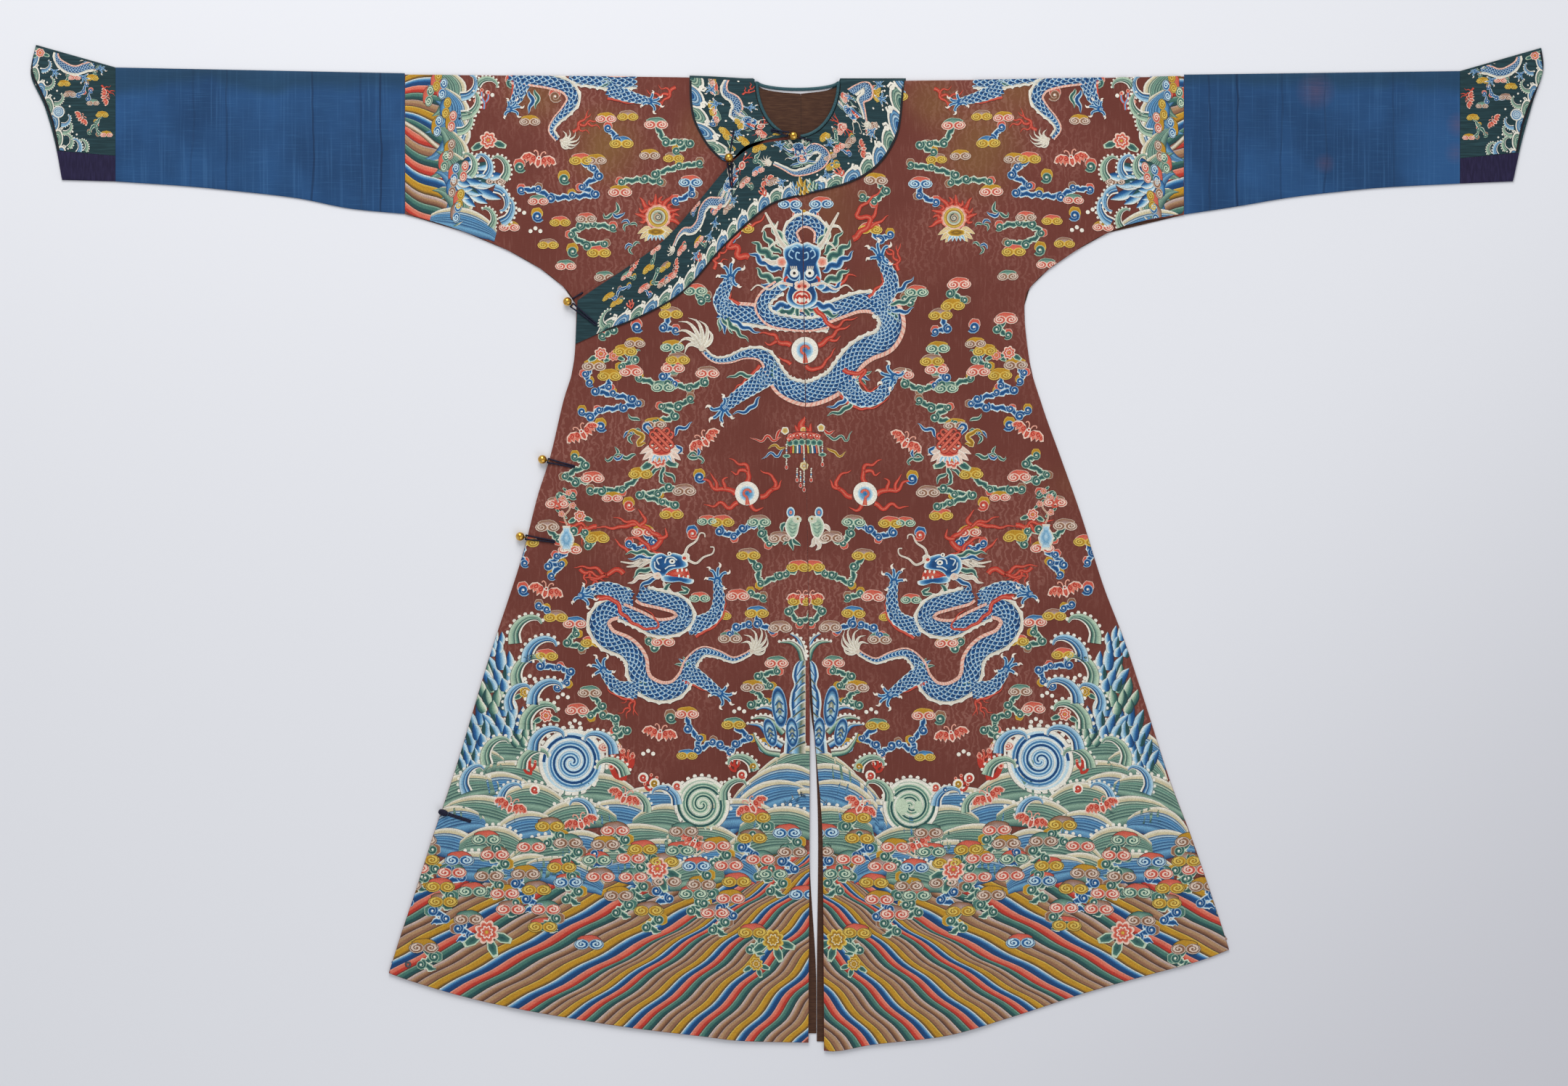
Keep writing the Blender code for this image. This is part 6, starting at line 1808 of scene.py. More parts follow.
def drawLowerDragon():
    flamesOf((
        (3.6, [(221, -4), (227, 7), (238, 13), (252, 16)]),
        (4.2, [(219, -1), (205, 8), (211, 18), (227, 28), (242, 36), (256, 38), (272, 44)]),
        (3.2, [(240, 33), (256, 31), (270, 28), (298, 30)]), (3.0, [(234, 32), (227, 41), (238, 54)]),
        (3.2, [(209, 14), (196, 17), (200, 28)]), (2.8, [(251, -6), (260, 2), (271, 12)]),
        (3.8, [(258, -37), (270, -30), (281, -39), (299, -29), (328, -27)]),
        (3.0, [(281, -39), (296, -43), (314, -42)]),
    ), 5)
    serpent([(250, -86), (270, -86), (286, -93), (293, -109), (281, -129), (255, -141), (240, -158),
        (237, -178), (228, -194), (206, -204), (184, -200),
        (170, -183), (163, -163), (146, -147), (124, -150), (103, -158), (86, -152), (77, -146)], 15.5, 2.8)
    serpent([(232, -66), (227, -69), (201, -75), (180, -82), (171, -97), (183, -110), (211, -113),
        (237, -101), (262, -90)], 13.0, 12.0, 1, 7)
    flame([(296, -70), (270, -75), (260, -93), (237, -111), (214, -115), (210, -104), (227, -86)], 3.4, 8.6)
    tailFan(76, -147, 23, 118)
    legs = (
        (125, -46, 98, [(162, -112), (132, -98), (123, -76)], 1),
        (318, -68, 192, [(252, -72), (273, -60), (294, -58)], -1),
        (287, -173, 60, [(242, -202), (266, -198), (280, -184)], -1),
        (121, -207, 220, [(166, -176), (144, -190)], 1),
    )
    for u, y, turn, leg, flames in legs:
        foot(u, y, 11.5, turn, leg, 8, flames)
    sideFace(195, -24, 21)


def drawShoulderDragon():
    serpent([(416, 668), (390, 665), (360, 660), (338, 652), (330, 636), (340, 620), (354, 606), (361, 592),
        (352, 578)], 10.0, 3.4, 1)
    tailFan(346, 577, 17, 178)
    serpent([(330, 668), (300, 664), (272, 660), (240, 662)], 10.0, 9.0, -1)
    foot(420, 622, 10.0, 170, [(402, 658), (408, 640)])
    foot(221, 633, 10.0, 200, [(276, 650), (250, 640)])
    wisp([(392, 648), (388, 632), (394, 616)], "blue", 3.6)
    wisp([(384, 650), (380, 636), (384, 622)], "green", 3.0)


# Waves, rocks and the standing stripes of the hem

stripeDyes = [
    "sage green green pine pine line", "rose coral coral red red line", "white sky blue navy navy deep",
    "straw gold gold gold amber line", "lilac tan tan taupe taupe line", "shell lilac tan taupe mauve line",
]
stripe = {"foot": -724.0, "top": -424.0, "first": -8.0, "width": 11.2, "count": 66, "row": 7.0}


def stripeSlope(foot0):
    # steep by the slit, flatter towards the side seam
    return 1.35 - 0.8 * np.clip(foot0 / 520, 0, 1) ** 0.8


def stripeFeet():
    # where the stripes' edges stand on the foot line: the step grows as they lie flatter, so that each
    # stripe stays as wide
    feet = [stripe["first"]]
    for _ in range(stripe["count"]):
        feet.append(feet[-1] + stripe["width"] / np.sin(np.arctan(stripeSlope(feet[-1]))))
    return np.array(feet)


def drawStripes():
    # stripes stand on the foot line and fan out: u = edge - (y - foot) / slope, swayed across them, more so
    # near the slit
    y = np.arange(stripe["foot"], stripe["top"], stripe["row"])[:, None]
    feet = stripeFeet()
    for k in range(stripe["count"]):
        edges = feet[k] + (feet[k + 1] - feet[k]) * np.linspace(0, 1, 6)[None, ::-1]
        slope = stripeSlope(edges)
        u = edges - (y - stripe["foot"]) / slope
        sway = (0.9 + 2.2 * np.exp(-np.abs(u) / 170)) * np.sin((y * 0.9 - u * 0.65 + edges * 0.35) / 13.0)
        turn = np.arctan(slope)
        grid = np.stack([u + sway * np.sin(turn), y + sway * np.cos(turn)], -1)
        keep = (u.max(1) > -14) & (u.min(1) < 680) & (y[:, 0] < stripe["top"] - 0.08 * u.mean(1))
        if keep.sum() > 1:
            sew(grid[keep], dyesOf(stripeDyes[k % 6])[None], 0)


def hump(u, y, wide, high, lean, hue, layer, turn=0.0, fine=1.0, teeth=False):
    # one wave: a hill high * cos(...)^0.75 with lines that run along under its top, a broad cream crown and
    # then shades that darken between thin dark lines, fine times as deep; teeth are foam along the crown
    pale, light, mid, dark = hues[hue]
    x = np.linspace(-1, 1, 13)
    top = high * np.cos(x * np.pi / 2) ** 0.75 + lean * x * wide * 0.5
    depth = fine * np.array([0, 0.9, 5.5, 8.0, 8.6, 11.6, 12.2, 15.2, 15.8, 18.8, 19.4, 23.0, 23.6,
        27.4, 28.0, 33, 44])
    names = f"line white aged aged {dark} {pale} {dark} {light} {mid} {light}"
    names += f" {dark} {light}" * 3 + f" {dark}"
    squeeze = 1 - 0.55 * np.abs(x) ** 2
    grid = np.stack([np.broadcast_to(x * wide, (len(depth), 13)), top - depth[:, None] * squeeze], -1)
    put = placed(u, y, 1, turn)
    sew(put(grid), dyesOf(names)[:, None], layer)
    if teeth:
        for k in range(1, 9):
            dot(*put([x[k] * wide, top[k] + 1.6]), 2.6, "white", layer + 0.1, 7)


# Humps of the sea: u, y of the foot, half width, height, lean, hue.
humps = [
    (445, -262, 40, 20, -0.2, "green"), (470, -282, 40, 24, -0.2, "blue"), (415, -292, 44, 26, 0.1, "green"),
    (470, -312, 44, 28, -0.1, "green"), (10, -330, 62, 46, -0.5, "green"), (40, -350, 60, 40, -0.5, "blue"),
    (60, -372, 60, 34, -0.4, "blue"), (0, -362, 40, 30, 0, "blue"), (290, -352, 62, 30, -0.1, "green"),
    (398, -330, 50, 24, 0.1, "green"), (225, -362, 48, 22, 0.1, "blue"), (440, -346, 50, 26, -0.1, "blue"),
    (385, -366, 54, 30, 0.1, "green"), (490, -350, 46, 26, -0.1, "green"), (262, -384, 60, 26, -0.2, "blue"),
    (330, -390, 56, 30, 0.0, "green"), (105, -392, 60, 34, -0.3, "blue"), (190, -396, 50, 30, 0.1, "green"),
    (30, -398, 50, 30, -0.3, "green"), (450, -382, 52, 28, 0.1, "green"), (500, -394, 46, 26, 0, "blue"),
    (400, -404, 54, 28, -0.1, "blue"), (150, -420, 54, 28, -0.2, "green"), (250, -422, 54, 28, 0.1, "green"),
    (70, -428, 50, 28, -0.2, "green"), (318, -428, 50, 26, 0, "blue"), (200, -438, 46, 24, -0.1, "blue"),
    (370, -436, 52, 26, 0.1, "green"), (440, -422, 50, 26, -0.1, "green"), (500, -424, 44, 24, 0, "blue"),
    (110, -446, 46, 24, 0, "blue"), (285, -450, 50, 24, 0, "green"), (235, -458, 44, 20, 0, "blue"),
    (160, -462, 44, 20, 0, "green"), (340, -460, 46, 20, 0, "blue"), (400, -456, 46, 20, 0, "green"),
    (465, -452, 46, 20, 0, "blue"),
]
# Foam crests: u, y, size, turn, flip, hue.
crests = [
    (84, -306, 24, -40, -1, "green"), (404, -118, 30, 16, 1, "green"), (384, -146, 30, 24, 1, "blue"),
    (402, -176, 30, 10, 1, "green"), (376, -206, 30, 26, 1, "blue"), (386, -240, 32, 24, 1, "green"),
    (374, -272, 30, 30, 1, "blue"), (414, -214, 26, 6, 1, "blue"), (284, -278, 28, -28, -1, "blue"),
    (268, -312, 26, -40, -1, "green"), (392, -300, 26, 30, 1, "green"), (108, -344, 24, 20, 1, "green"),
    (192, -352, 24, -30, -1, "blue"), (446, -290, 28, 10, 1, "green"), (478, -330, 26, 0, 1, "blue"),
    (310, -372, 24, -20, -1, "blue"), (425, -352, 24, 10, 1, "blue"), (232, -362, 22, -20, -1, "green"),
]


def drawWaves():
    for k, (u, y, wide, high, lean, hue) in enumerate(sorted(humps, key=lambda row: -row[1])):
        hump(u, y, wide * (1.0 + 0.12 * (k % 3)), high * 1.1, lean, hue, 1.2 + (-y - 230) / 75,
            (14, -10, 4, -16, 10)[k % 5], 1.0, k % 4 == 0)
    hump(0, -332, 72, 46, 0, "green", 2.5, 0, 1)
    hump(50, -362, 52, 40, 0, "blue", 2.8, -6, 1)
    hump(0, -374, 40, 34, 0, "blue", 3.1, 0, 1)
    peak()
    hump(331, -330, 66, 62, 0, "green", 1.6, 0, 1, True)
    hump(147, -384, 60, 54, 0, "green", 2.2)
    whirlpool(331, -304, 48, "blue", 1, 3)
    whirlpool(147, -364, 40, "green", -1, 3.6)
    for u, y, size, *way in crests:
        crest(u, y, size * 0.86, *way)
    for u, y, size, turn, flip, hue in (
        (430, -180, 44, -10, 1, "blue"), (444, -212, 44, -6, -1, "green"), (426, -246, 46, -10, 1, "blue"),
        (460, -258, 44, -6, 1, "blue"), (402, -264, 34, -14, -1, "green"), (474, -296, 38, -4, 1, "blue"),
        (448, -136, 34, -14, 1, "blue"),
    ):
        rock(u, y, size, turn, flip, hue, 3.5)
    for u, y, hue in ((230, -326, "red"), (214, -334, "gold"), (196, -342, "blue"), (182, -338, "pink"),
            (384, -343, "red"), (277, -398, "gold"), (90, -322, "red"), (74, -310, "gold")):
        dot(u, y, 7.5, "white", 4.6, 12)
        curl(u, y, 6.5, hue, 90, None, 1, 5)
    for u, y, turn in ((75, -369, -30), (419, -369, 20), (258, -356, 25), (160, -420, 30), (318, -392, -15)):
        bat(u, y, 15, turn, 7)
    for u, y, size, hue in ((210, -455, 17, "pink"), (452, -545, 18, "pink"), (46, -556, 16, "gold"),
            (70, -590, 10, "gold")):
        flower(u, y, size, hue, 8, (200, 250, 330), 8.6)
    for u, y, size in ((258, -330, 26), (218, -346, 15), (100, -318, 12), (390, -322, 14)):
        coral(u, y, size, 85, 3.4, "red")


def drawHemClouds():
    # clouds that float over the foot of the waves and the heads of the stripes: staggered rows of heads, each
    # hung from a wavy stem, that thin out downwards
    pairs = ("pink gold", "gold pink", "lilac green", "pink lilac", "gold lilac", "green pink", "lilac gold",
        "pink green", "blue pink")
    number = 0
    for row, y in enumerate((-386, -411, -436, -461, -486, -511, -538)):
        for column in range(13):
            number += 1
            sway = np.sin(number * 12.9) * 12, np.sin(number * 7.3) * 9
            u = 14 + 49 * column + 24 * (row % 2) + sway[0]
            drop = y + sway[1] - 0.045 * u
            if (row > 3 and (number * 7) % 5 > 6 - row) or (row == 0 and number % 2):
                continue
            hue = ("blue", "green")[(column + row) % 2]
            if number % 4 != 1:
                side = 1 if number % 2 else -1
                stem([(u, drop - 4), (u + 13 * side, drop - 14), (u - 2 * side, drop - 24),
                    (u + 17 * side, drop - 32)], hue, 5.0, 6.6)
                curl(u + 15 * side, drop - 14, 9.0, hue, 0.0 if side > 0 else 180.0,
                    pairs[number % 8].split()[1], side, 7)
                curl(u - 4 * side, drop - 25, 8.6, hue, 180.0 if side > 0 else 0.0, None, -side, 7)
            head(u, drop, 21.5, pairs[(number * 5 + row) % 9], 0.0, 8)


# Sleeve ends of the body, with their own stripes and waves


def drawSleeveEnd():
    # two fans of stripes leave the seam, the lower one downwards and the upper one upwards, and end in waves
    share = np.linspace(0, 1, 11)
    lower, upper = 11, 9  # stripes in each fan
    order = (1, 4, 0, 1, 2, 3, 5, 0, 1, 2, 3, 4, 3, 2, 1, 0, 4, 3, 2, 0)
    for k in range(lower + upper):
        rows = (k + np.linspace(0, 1, 6)[:, None]) / (lower if k < lower else upper)
        if k < lower:
            y = 606 - 150 * rows + (-50 * share - 5 * np.sin(2 * np.pi * share))
        else:
            y = 672 - (68 + 86 * share) * (rows - lower / upper) + 40 * share + 3 * np.sin(2 * np.pi * share)
        grid = np.stack([np.broadcast_to(574 - 84 * share, y.shape), y], -1)
        sew(grid, dyesOf(stripeDyes[order[k]])[:, None], 0.2 if k < lower else 0)
    ribbon(even([(574, 606), (545, 588), (518, 566), (492, 558)], 6), 3.5, "line cream cream tan line", 0.6)
    for u, y, wide, high, hue, turn in (
        (536, 648, 34, 40, "green", 80), (538, 622, 34, 46, "blue", 92), (532, 590, 42, 42, "blue", 100),
        (528, 560, 36, 36, "green", 96), (520, 530, 34, 32, "green", 84), (520, 506, 30, 34, "blue", 80),
        (520, 484, 30, 36, "green", 70), (500, 462, 48, 20, "blue", 14),
    ):
        hump(u - 16, y, wide, high, 0, hue, 1.0 + (648 - y) / 90, turn, 0.85)
    for u, y, size, turn, flip, hue in (
        (455, 660, 15, 60, 1, "green"), (478, 648, 18, 60, -1, "blue"), (476, 622, 20, 60, -1, "green"),
        (484, 598, 17, 60, -1, "green"), (474, 540, 17, 20, -1, "green"), (452, 540, 17, 10, -1, "blue"),
        (428, 536, 18, 10, -1, "green"), (432, 500, 18, 130, 1, "blue"), (424, 474, 20, 40, -1, "blue"),
        (446, 466, 15, 10, -1, "green"),
    ):
        crest(u, y, size, turn, flip, hue)
    for u, y, size, turn in ((474, 528, 44, 88), (472, 512, 40, 112), (486, 520, 36, 98)):
        rock(u, y, size, turn, 1, "blue")
    for u, y, hue in (
        (535, 662, "gold pink"), (527, 651, "blue pink"), (546, 641, "green pink"), (522, 624, "gold blue"),
        (514, 605, "pink gold"), (534, 598, "blue gold"), (516, 565, "lilac gold"), (524, 548, "green pink"),
        (510, 531, "blue pink"), (497, 534, "pink green"), (503, 494, "gold pink"), (507, 476, "blue lilac"),
        (513, 512, "lilac blue"),
    ):
        head(u - 12, y, 15.5, hue, -80.0, 8)


# Laying the drawings on the silk


def signedFrom(outline, points):
    # distance to a closed outline, above zero inside it
    outline = np.asarray(outline, float)
    a, b = outline, np.roll(outline, -1, 0)
    edge = b - a
    result = np.empty(len(points))
    for start in range(0, len(points), 20000):
        p = points[start : start + 20000, None]
        share = np.clip(((p - a) * edge).sum(-1) / np.maximum((edge**2).sum(-1), 1e-9), 0, 1)
        far = np.hypot(*np.moveaxis(p - a - share[..., None] * edge, -1, 0)).min(1)
        crosses = (a[:, 1] > p[..., 1]) != (b[:, 1] > p[..., 1])
        rise = np.where(np.abs(edge[:, 1]) < 1e-9, 1e-9, edge[:, 1])
        cut = a[:, 0] + (p[..., 1] - a[:, 1]) / rise * edge[:, 0]
        inside = (crosses & (p[..., 0] < cut)).sum(1) % 2 == 1
        result[start : start + 20000] = np.where(inside, far, -far)
    return result


def clipped(points, triangles, away):
    # cuts the triangles along away = 0 and keeps the side above it; new points share out every column
    kept = away[triangles] > 0
    count = kept.sum(1)
    whole, parts = triangles[count == 3], []
    for inside in (1, 2):
        for turn in range(3):
            chosen = (count == inside) & (kept[:, turn] if inside == 1 else ~kept[:, turn])
            a, b, c = (triangles[chosen][:, (turn + k) % 3] for k in range(3))
            if not len(a):
                continue
            cuts = []
            for other in (b, c):
                share = (away[a] / (away[a] - away[other]))[:, None]
                points = np.concatenate([points, points[a] * (1 - share) + points[other] * share])
                cuts.append(len(points) - len(a) + np.arange(len(a)))
            away = np.concatenate([away, np.zeros(2 * len(a))])
            ab, ac = cuts
            rows = [(a, ab, ac)] if inside == 1 else [(ab, b, c), (ab, c, ac)]
            parts += [np.stack(row, 1) for row in rows]
    return points, np.concatenate([whole] + parts) if parts else whole


# Each patch lies a little over the one before it, in a cycle of twelve, rises a little from its first point
# to its last, and each drawing lies over the one before, so that no two faces share a plane. The rises are
# shares of a layer; a face smaller than the least area, in mm2 twice over, is left out.
laying = {
    "cycle": 12, "patchRise": 0.03, "pointRise": 0.1, "drawingRise": 0.012, "margin": 0.4,
    "cut": 0.1, "least": 0.02,
}


def stacked(drawings):
    # the points and triangles of all patches: the columns of points are x, y, layer and the dye
    points, triangles, count = [], [], 0
    for number, (patches, plane) in enumerate(drawings):
        spots, faces, shades, layers = zip(*patches)
        rise = [
            laying["patchRise"] * (k % laying["cycle"])
            + np.linspace(0, laying["pointRise"], len(spot))
            + laying["drawingRise"] * number
            for k, spot in enumerate(spots)
        ]
        layers = np.concatenate(layers) + np.concatenate(rise)
        points.append(np.column_stack([plane(np.concatenate(spots)), layers, np.concatenate(shades)]))
        for spot, face in zip(spots, faces):
            triangles.append(face + count)
            count += len(spot)
    return np.concatenate(points), np.concatenate(triangles)


def facingUp(points, triangles):
    # turns the triangles counter-clockwise and leaves the smallest out
    a, b, c = (points[triangles[:, n], :2] for n in range(3))
    area = (b - a)[:, 0] * (c - a)[:, 1] - (b - a)[:, 1] * (c - a)[:, 0]
    triangles = np.where((area > 0)[:, None], triangles, triangles[:, ::-1])
    return used(points, triangles[np.abs(area) > laying["least"]])


def lay(name, drawings, outline, height, slot, down=False, levels=()):
    # sews drawings, pairs of (patches, plane), on a panel: mapped by their planes, cut to the outline and at
    # the levels of y, and lifted over the silk, or hung under it where they face down
    points, triangles = stacked(drawings)
    place = points[:, :2]
    near = (place > np.min(outline, 0) - 1).all(1) & (place < np.max(outline, 0) + 1).all(1)
    points, triangles = used(points, triangles[near[triangles].any(1)])
    points, triangles = clipped(points, triangles, signedFrom(outline, points[:, :2]) - laying["margin"])
    pieces = []
    for k, (low, high) in enumerate(zip((-1e4, *levels), (*levels, 1e4))):
        own, faces = used(*clipped(points, triangles, points[:, 1] - low - laying["cut"]))
        own, faces = used(*clipped(own, faces, high - laying["cut"] - own[:, 1]))
        own, faces = facingUp(own, faces)
        x, y, layer = own[:, :3].T
        if down:
            faces, z = faces[:, ::-1], robe["underside"] - robe["backFloss"] - robe["backFlossStep"] * layer
        else:
            z = height(x, y) + robe["floss"] + robe["flossStep"] * layer
        title = name + (str(k + 1) if levels else "")
        piece = addMesh(title, np.column_stack([x, y, z]), faces, floss, slot, (), "flat")
        tint = piece.data.attributes.new("thread", "FLOAT_COLOR", "POINT")
        colours = np.column_stack([own[:, 3:], np.ones(len(own))])
        tint.data.foreach_set("color", colours.astype(np.float32).ravel())
        print(piece.name, len(faces), "triangles")
        pieces.append(piece)
    return pieces


def used(points, triangles):
    # drops the points that no triangle uses
    kept, triangles = np.unique(triangles, return_inverse=True)
    return points[kept], triangles.reshape(-1, 3)


def halfPlane(side, sway=0.0):
    # u, y to x, y on the left (-1) or right (1) half; sway shifts the drawing a little, as handwork does
    def plane(points):
        u, y = points[:, 0], points[:, 1]
        fade = ease(np.abs(u), 5.0, 60.0) * sway
        return np.column_stack([robe["middle"] + side * u + fade * np.sin(y / 61 + 1),
            y + fade * np.sin(u / 57 + 2)])

    return plane


def edgeLine(edge, start, end):
    y = np.linspace(start, end, max(2, int(abs(end - start) / 8)))
    return np.column_stack([edge(y), y])


def levelLine(line, start, end):
    x = np.linspace(start, end, max(2, int(abs(end - start) / 8)))
    return np.column_stack([x, line(x)])


outerCollar = np.array([row[2:] for row in collarBand])
leftCollarOuter = np.array([row[2:] for row in collarLeft])
hemLine = {-1: lambda x: read(leftHem, x), 1: lambda x: read(rightHem, x)}

yokeOutline = np.concatenate([
    edgeLine(wrapEdge, 352, 547.5), leftCollarOuter[5::-1],
    levelLine(lambda x: shoulder(x) - 1.5, -142, -542), edgeLine(leftEdge, 665, 352),
])
wrapOutline = np.concatenate([
    outerCollar[:9], edgeLine(lambda y: slitEdge(frontSlit, y, -1), 498, -701),
    levelLine(hemLine[-1], 29, -565), edgeLine(leftEdge, -603, 290),
])
rightOutline = np.concatenate([
    outerCollar[8:], levelLine(lambda x: shoulder(x) - 1.5, 168, 562), edgeLine(rightEdge, 668, -570),
    levelLine(hemLine[1], 626, 52), edgeLine(lambda y: slitEdge(frontSlit, y, 1), -712, 499),
])


def drawn(*draws):
    global hoop
    hoop = []
    for draw in draws:
        draw()
    return hoop


halfDraws = (
    drawStripes, drawWaves, drawHemClouds, drawField, drawEmblems, drawPearls, drawSleeveEnd,
    drawLowerDragon, drawShoulderDragon,
)
middleDraws = (drawCanopy, drawChestDragon)
halfDrawing, middleDrawing = drawn(*halfDraws), drawn(*middleDraws)
print("body drawn:", len(halfDrawing), "and", len(middleDrawing), "patches")
leftBody = [(halfDrawing, halfPlane(-1)), (middleDrawing, halfPlane(-1))]
rightBody = [(halfDrawing, halfPlane(1, 2.2)), (middleDrawing, halfPlane(-1))]


# The collar's and the cuffs' own small drawings
# On the collar s runs along a piece and h up from its outer edge; on a cuff they are |x| and y.


def border(path, long, high, layer=2, turnBy=0.0):
    # slanted fans of nested arcs along a path, green and blue by turns, with a cream hook between two of
    # them, under a black piping; an arc is half an ellipse whose top leans along the path
    length = np.hypot(*np.diff(np.asarray(path, float), axis=0).T).sum()
    spots = smoothPath(path, max(3, int(length / long) + 1))
    ahead = np.gradient(spots, axis=0)
    arc = np.linspace(0, np.pi, 11)
    rings = np.array([1, 0.92, 0.84, 0.8, 0.66, 0.62, 0.48, 0.44, 0.3, 0.26, 0.0])
    for k, (spot, onward) in enumerate(zip(spots, ahead)):
        pale, light, mid, dark = hues[("green", "blue")[k % 2]]
        put = placed(*spot, 1, np.degrees(np.arctan2(onward[1], onward[0])) + turnBy)
        across = rings[:, None] * np.cos(arc) * long * 0.62
        up = rings[:, None] * np.sin(arc) ** 0.7 * high
        names = f"white white cream {dark} {light} {dark} {pale} {dark} {light} {dark} {mid}"
        sew(put(np.stack([across + 0.5 * up, up], -1)), dyesOf(names)[:, None], layer + 0.5 * (k % 2))
        way = 1 if k % 2 else -1
        coil(put, long * 0.62, high * 0.86, high * 0.3, 1.3, way, "white", layer + 1.4, 0.22, 10)
        dot(*put([(long * 0.4, high * 1.35)])[0], 1.3, "white", layer + 1, 6)
    ribbon(even(path, 6), 1.5, "black black", layer + 2)


def smallDragon(path, headAt, feet, flip=1, turn=0.0, size=8.0):
    serpent(path, 5.8, 1.6, 1 if flip > 0 else -1, 4, "scale", 0.45, 3.8)
    tailFan(*path[-1], 9, np.degrees(np.arctan2(path[-1][1] - path[-2][1], path[-1][0] - path[-2][0])), 5)
    for u, y, way in feet:
        foot(u, y, 5.4, way, (), 6)
    sideFace(*headAt, size, flip, turn, 7)


def shortCloud(u, y, side):
    # a head on a short stem, its hue and its head's by its place
    hue, first = ("green", "blue")[u % 4 // 2], ("pink", "gold", "lilac")[u % 3]
    cloud(hue, first, None, [(u, y), (u + 7 * side, y + 5)], 4.8, 2.2, 3)


def whiteDots(spots, radius=1.4):
    for u, y in spots:
        dot(u, y, radius, "white", 3, 6)


def smallClouds(rows, size=4.8, width=2.5):
    # each row is a hue, the hues of a head at the first and at the last point, or none, and the points
    for hue, first, last, points in rows:
        cloud(hue, first, last, points, size, width, 3)


def smallPearl(u, y, turn):
    flameFork(u, y, 1.9, turn, 1, 3)
    flameFork(u, y, 1.9, turn + 70, -1, 3)
    disc(placed(u, y, 5.6), lobes(12), (1, 0.7, 0.6, 0), "white coral red cream", 5)


def drawCollarBand():
    border([(46, 1), (300, 1), (574, 1)], 21.0, 17.0)
    crest(44, 18, 13, 10, -1, "green", 4)
    smallClouds((
        ("blue", "gold", None, [(52, 50), (62, 46), (72, 54), (86, 52)]),
        ("green", "pink green", None, [(84, 66), (96, 60)]),
        ("green", "gold", "pink", [(120, 56), (128, 64), (138, 74)]),
        ("green", "gold lilac", "lilac pink", [(146, 44), (134, 48), (124, 38), (137, 26)]),
        ("blue", "pink", None, [(108, 34), (114, 24)]),
        ("green", "gold", "pink blue", [(350, 72), (340, 62), (346, 54), (336, 45)]),
        ("green", "gold", "pink", [(450, 66), (461, 56), (470, 64), (480, 58)]),
        ("blue", "pink", None, [(458, 44), (464, 34)]), ("blue", "lilac gold", None, [(440, 40), (436, 30)]),
        ("green", "pink lilac", None, [(312, 44), (318, 36)]),
        ("green", "pink gold", None, [(210, 34), (216, 26)]), ("blue", "pink", None, [(232, 76), (222, 74)]),
        ("green", "pink", None, [(526, 70), (534, 62)]),
    ))
    smallDragon([(284, 54), (272, 50), (262, 58), (252, 67), (238, 66), (224, 57), (208, 58), (196, 68),
        (182, 69), (168, 63)], (290, 62),
        [(246, 38, 250), (229, 30, 240), (199, 27, 220), (284, 42, 300), (302, 66, 40)], -1, 20)
    smallDragon([(546, 66), (560, 58), (566, 48), (552, 44), (538, 52), (524, 46), (514, 40)], (508, 62),
        [(551, 29, 300), (566, 32, 0), (509, 29, 200), (532, 66, 120)], 1, 80)
    serpent([(399, 52), (412, 60), (428, 62), (436, 50), (424, 38), (404, 32), (384, 32), (370, 42),
        (360, 50)], 6.2, 1.8, 1, 4, "scale", 0.45, 3.8)
    tailFan(358, 53, 9, 150, 5)
    for u, y, turn in ((424, 22, 300), (363, 25, 220), (376, 72, 120), (449, 58, 30)):
        foot(u, y, 5.4, turn, (), 6)
    frontFace(400, 60, 8.5, 7)
    for u, y, turn in ((319, 67, 160), (481, 63, 60)):
        smallPearl(u, y, turn)
    for u, y, turn in ((164, 35, 60), (343, 30, 20), (484, 26, 50), (100, 74, 30)):
        bat(u, y, 7, turn)
    for u, size, hue in ((391, 17, "gold"), (379, 12, "blue"), (403, 12, "green")):
        rock(u, 9, size, 0, 1, hue, 4.3)
    for u, y, side in ((64, 34, 1), (150, 26, -1), (272, 34, 1), (350, 24, -1), (436, 26, 1), (512, 26, -1),
            (556, 30, 1), (180, 46, 1), (258, 46, -1), (476, 40, 1)):
        shortCloud(u, y, side)
    whiteDots(((60, 62), (112, 50), (156, 58), (190, 40), (220, 46), (262, 74), (300, 50), (330, 76),
        (372, 82), (330, 46), (446, 50), (470, 72), (500, 64), (498, 36), (536, 36), (76, 38)))
    for u, y in ((84, 24), (200, 20), (440, 18), (330, 20)):
        coral(u, y - 6, 8, 90, 4, "coral")


def drawCollarLeft():
    border([(0, 1), (60, 1), (150, 1)], 21.0, 17.0)
    smallDragon([(66, 56), (54, 50), (44, 56), (30, 54), (20, 44), (8, 44), (-4, 50)], (70, 62),
        [(16, 28, 250), (34, 32, 300), (80, 42, 330), (48, 68, 100)], -1, 30)
    smallPearl(86, 70, 100)
    flameFork(24, 64, 2.4, 100, 1, 3)
    smallClouds((
        ("green", "pink", "gold", [(100, 60), (108, 52), (116, 62), (122, 72)]),
        ("blue", "pink green", None, [(50, 24), (60, 20)]),
        ("green", "gold", None, [(96, 36), (88, 28), (98, 20)]),
        ("blue", "lilac gold", None, [(6, 24), (-2, 30)]),
    ))
    for u, y, side in ((12, 26, 1), (40, 22, -1), (76, 24, 1), (70, 46, 1)):
        shortCloud(u, y, side)
    whiteDots(((2, 60), (40, 70), (60, 36), (90, 50), (108, 38), (84, 12)))


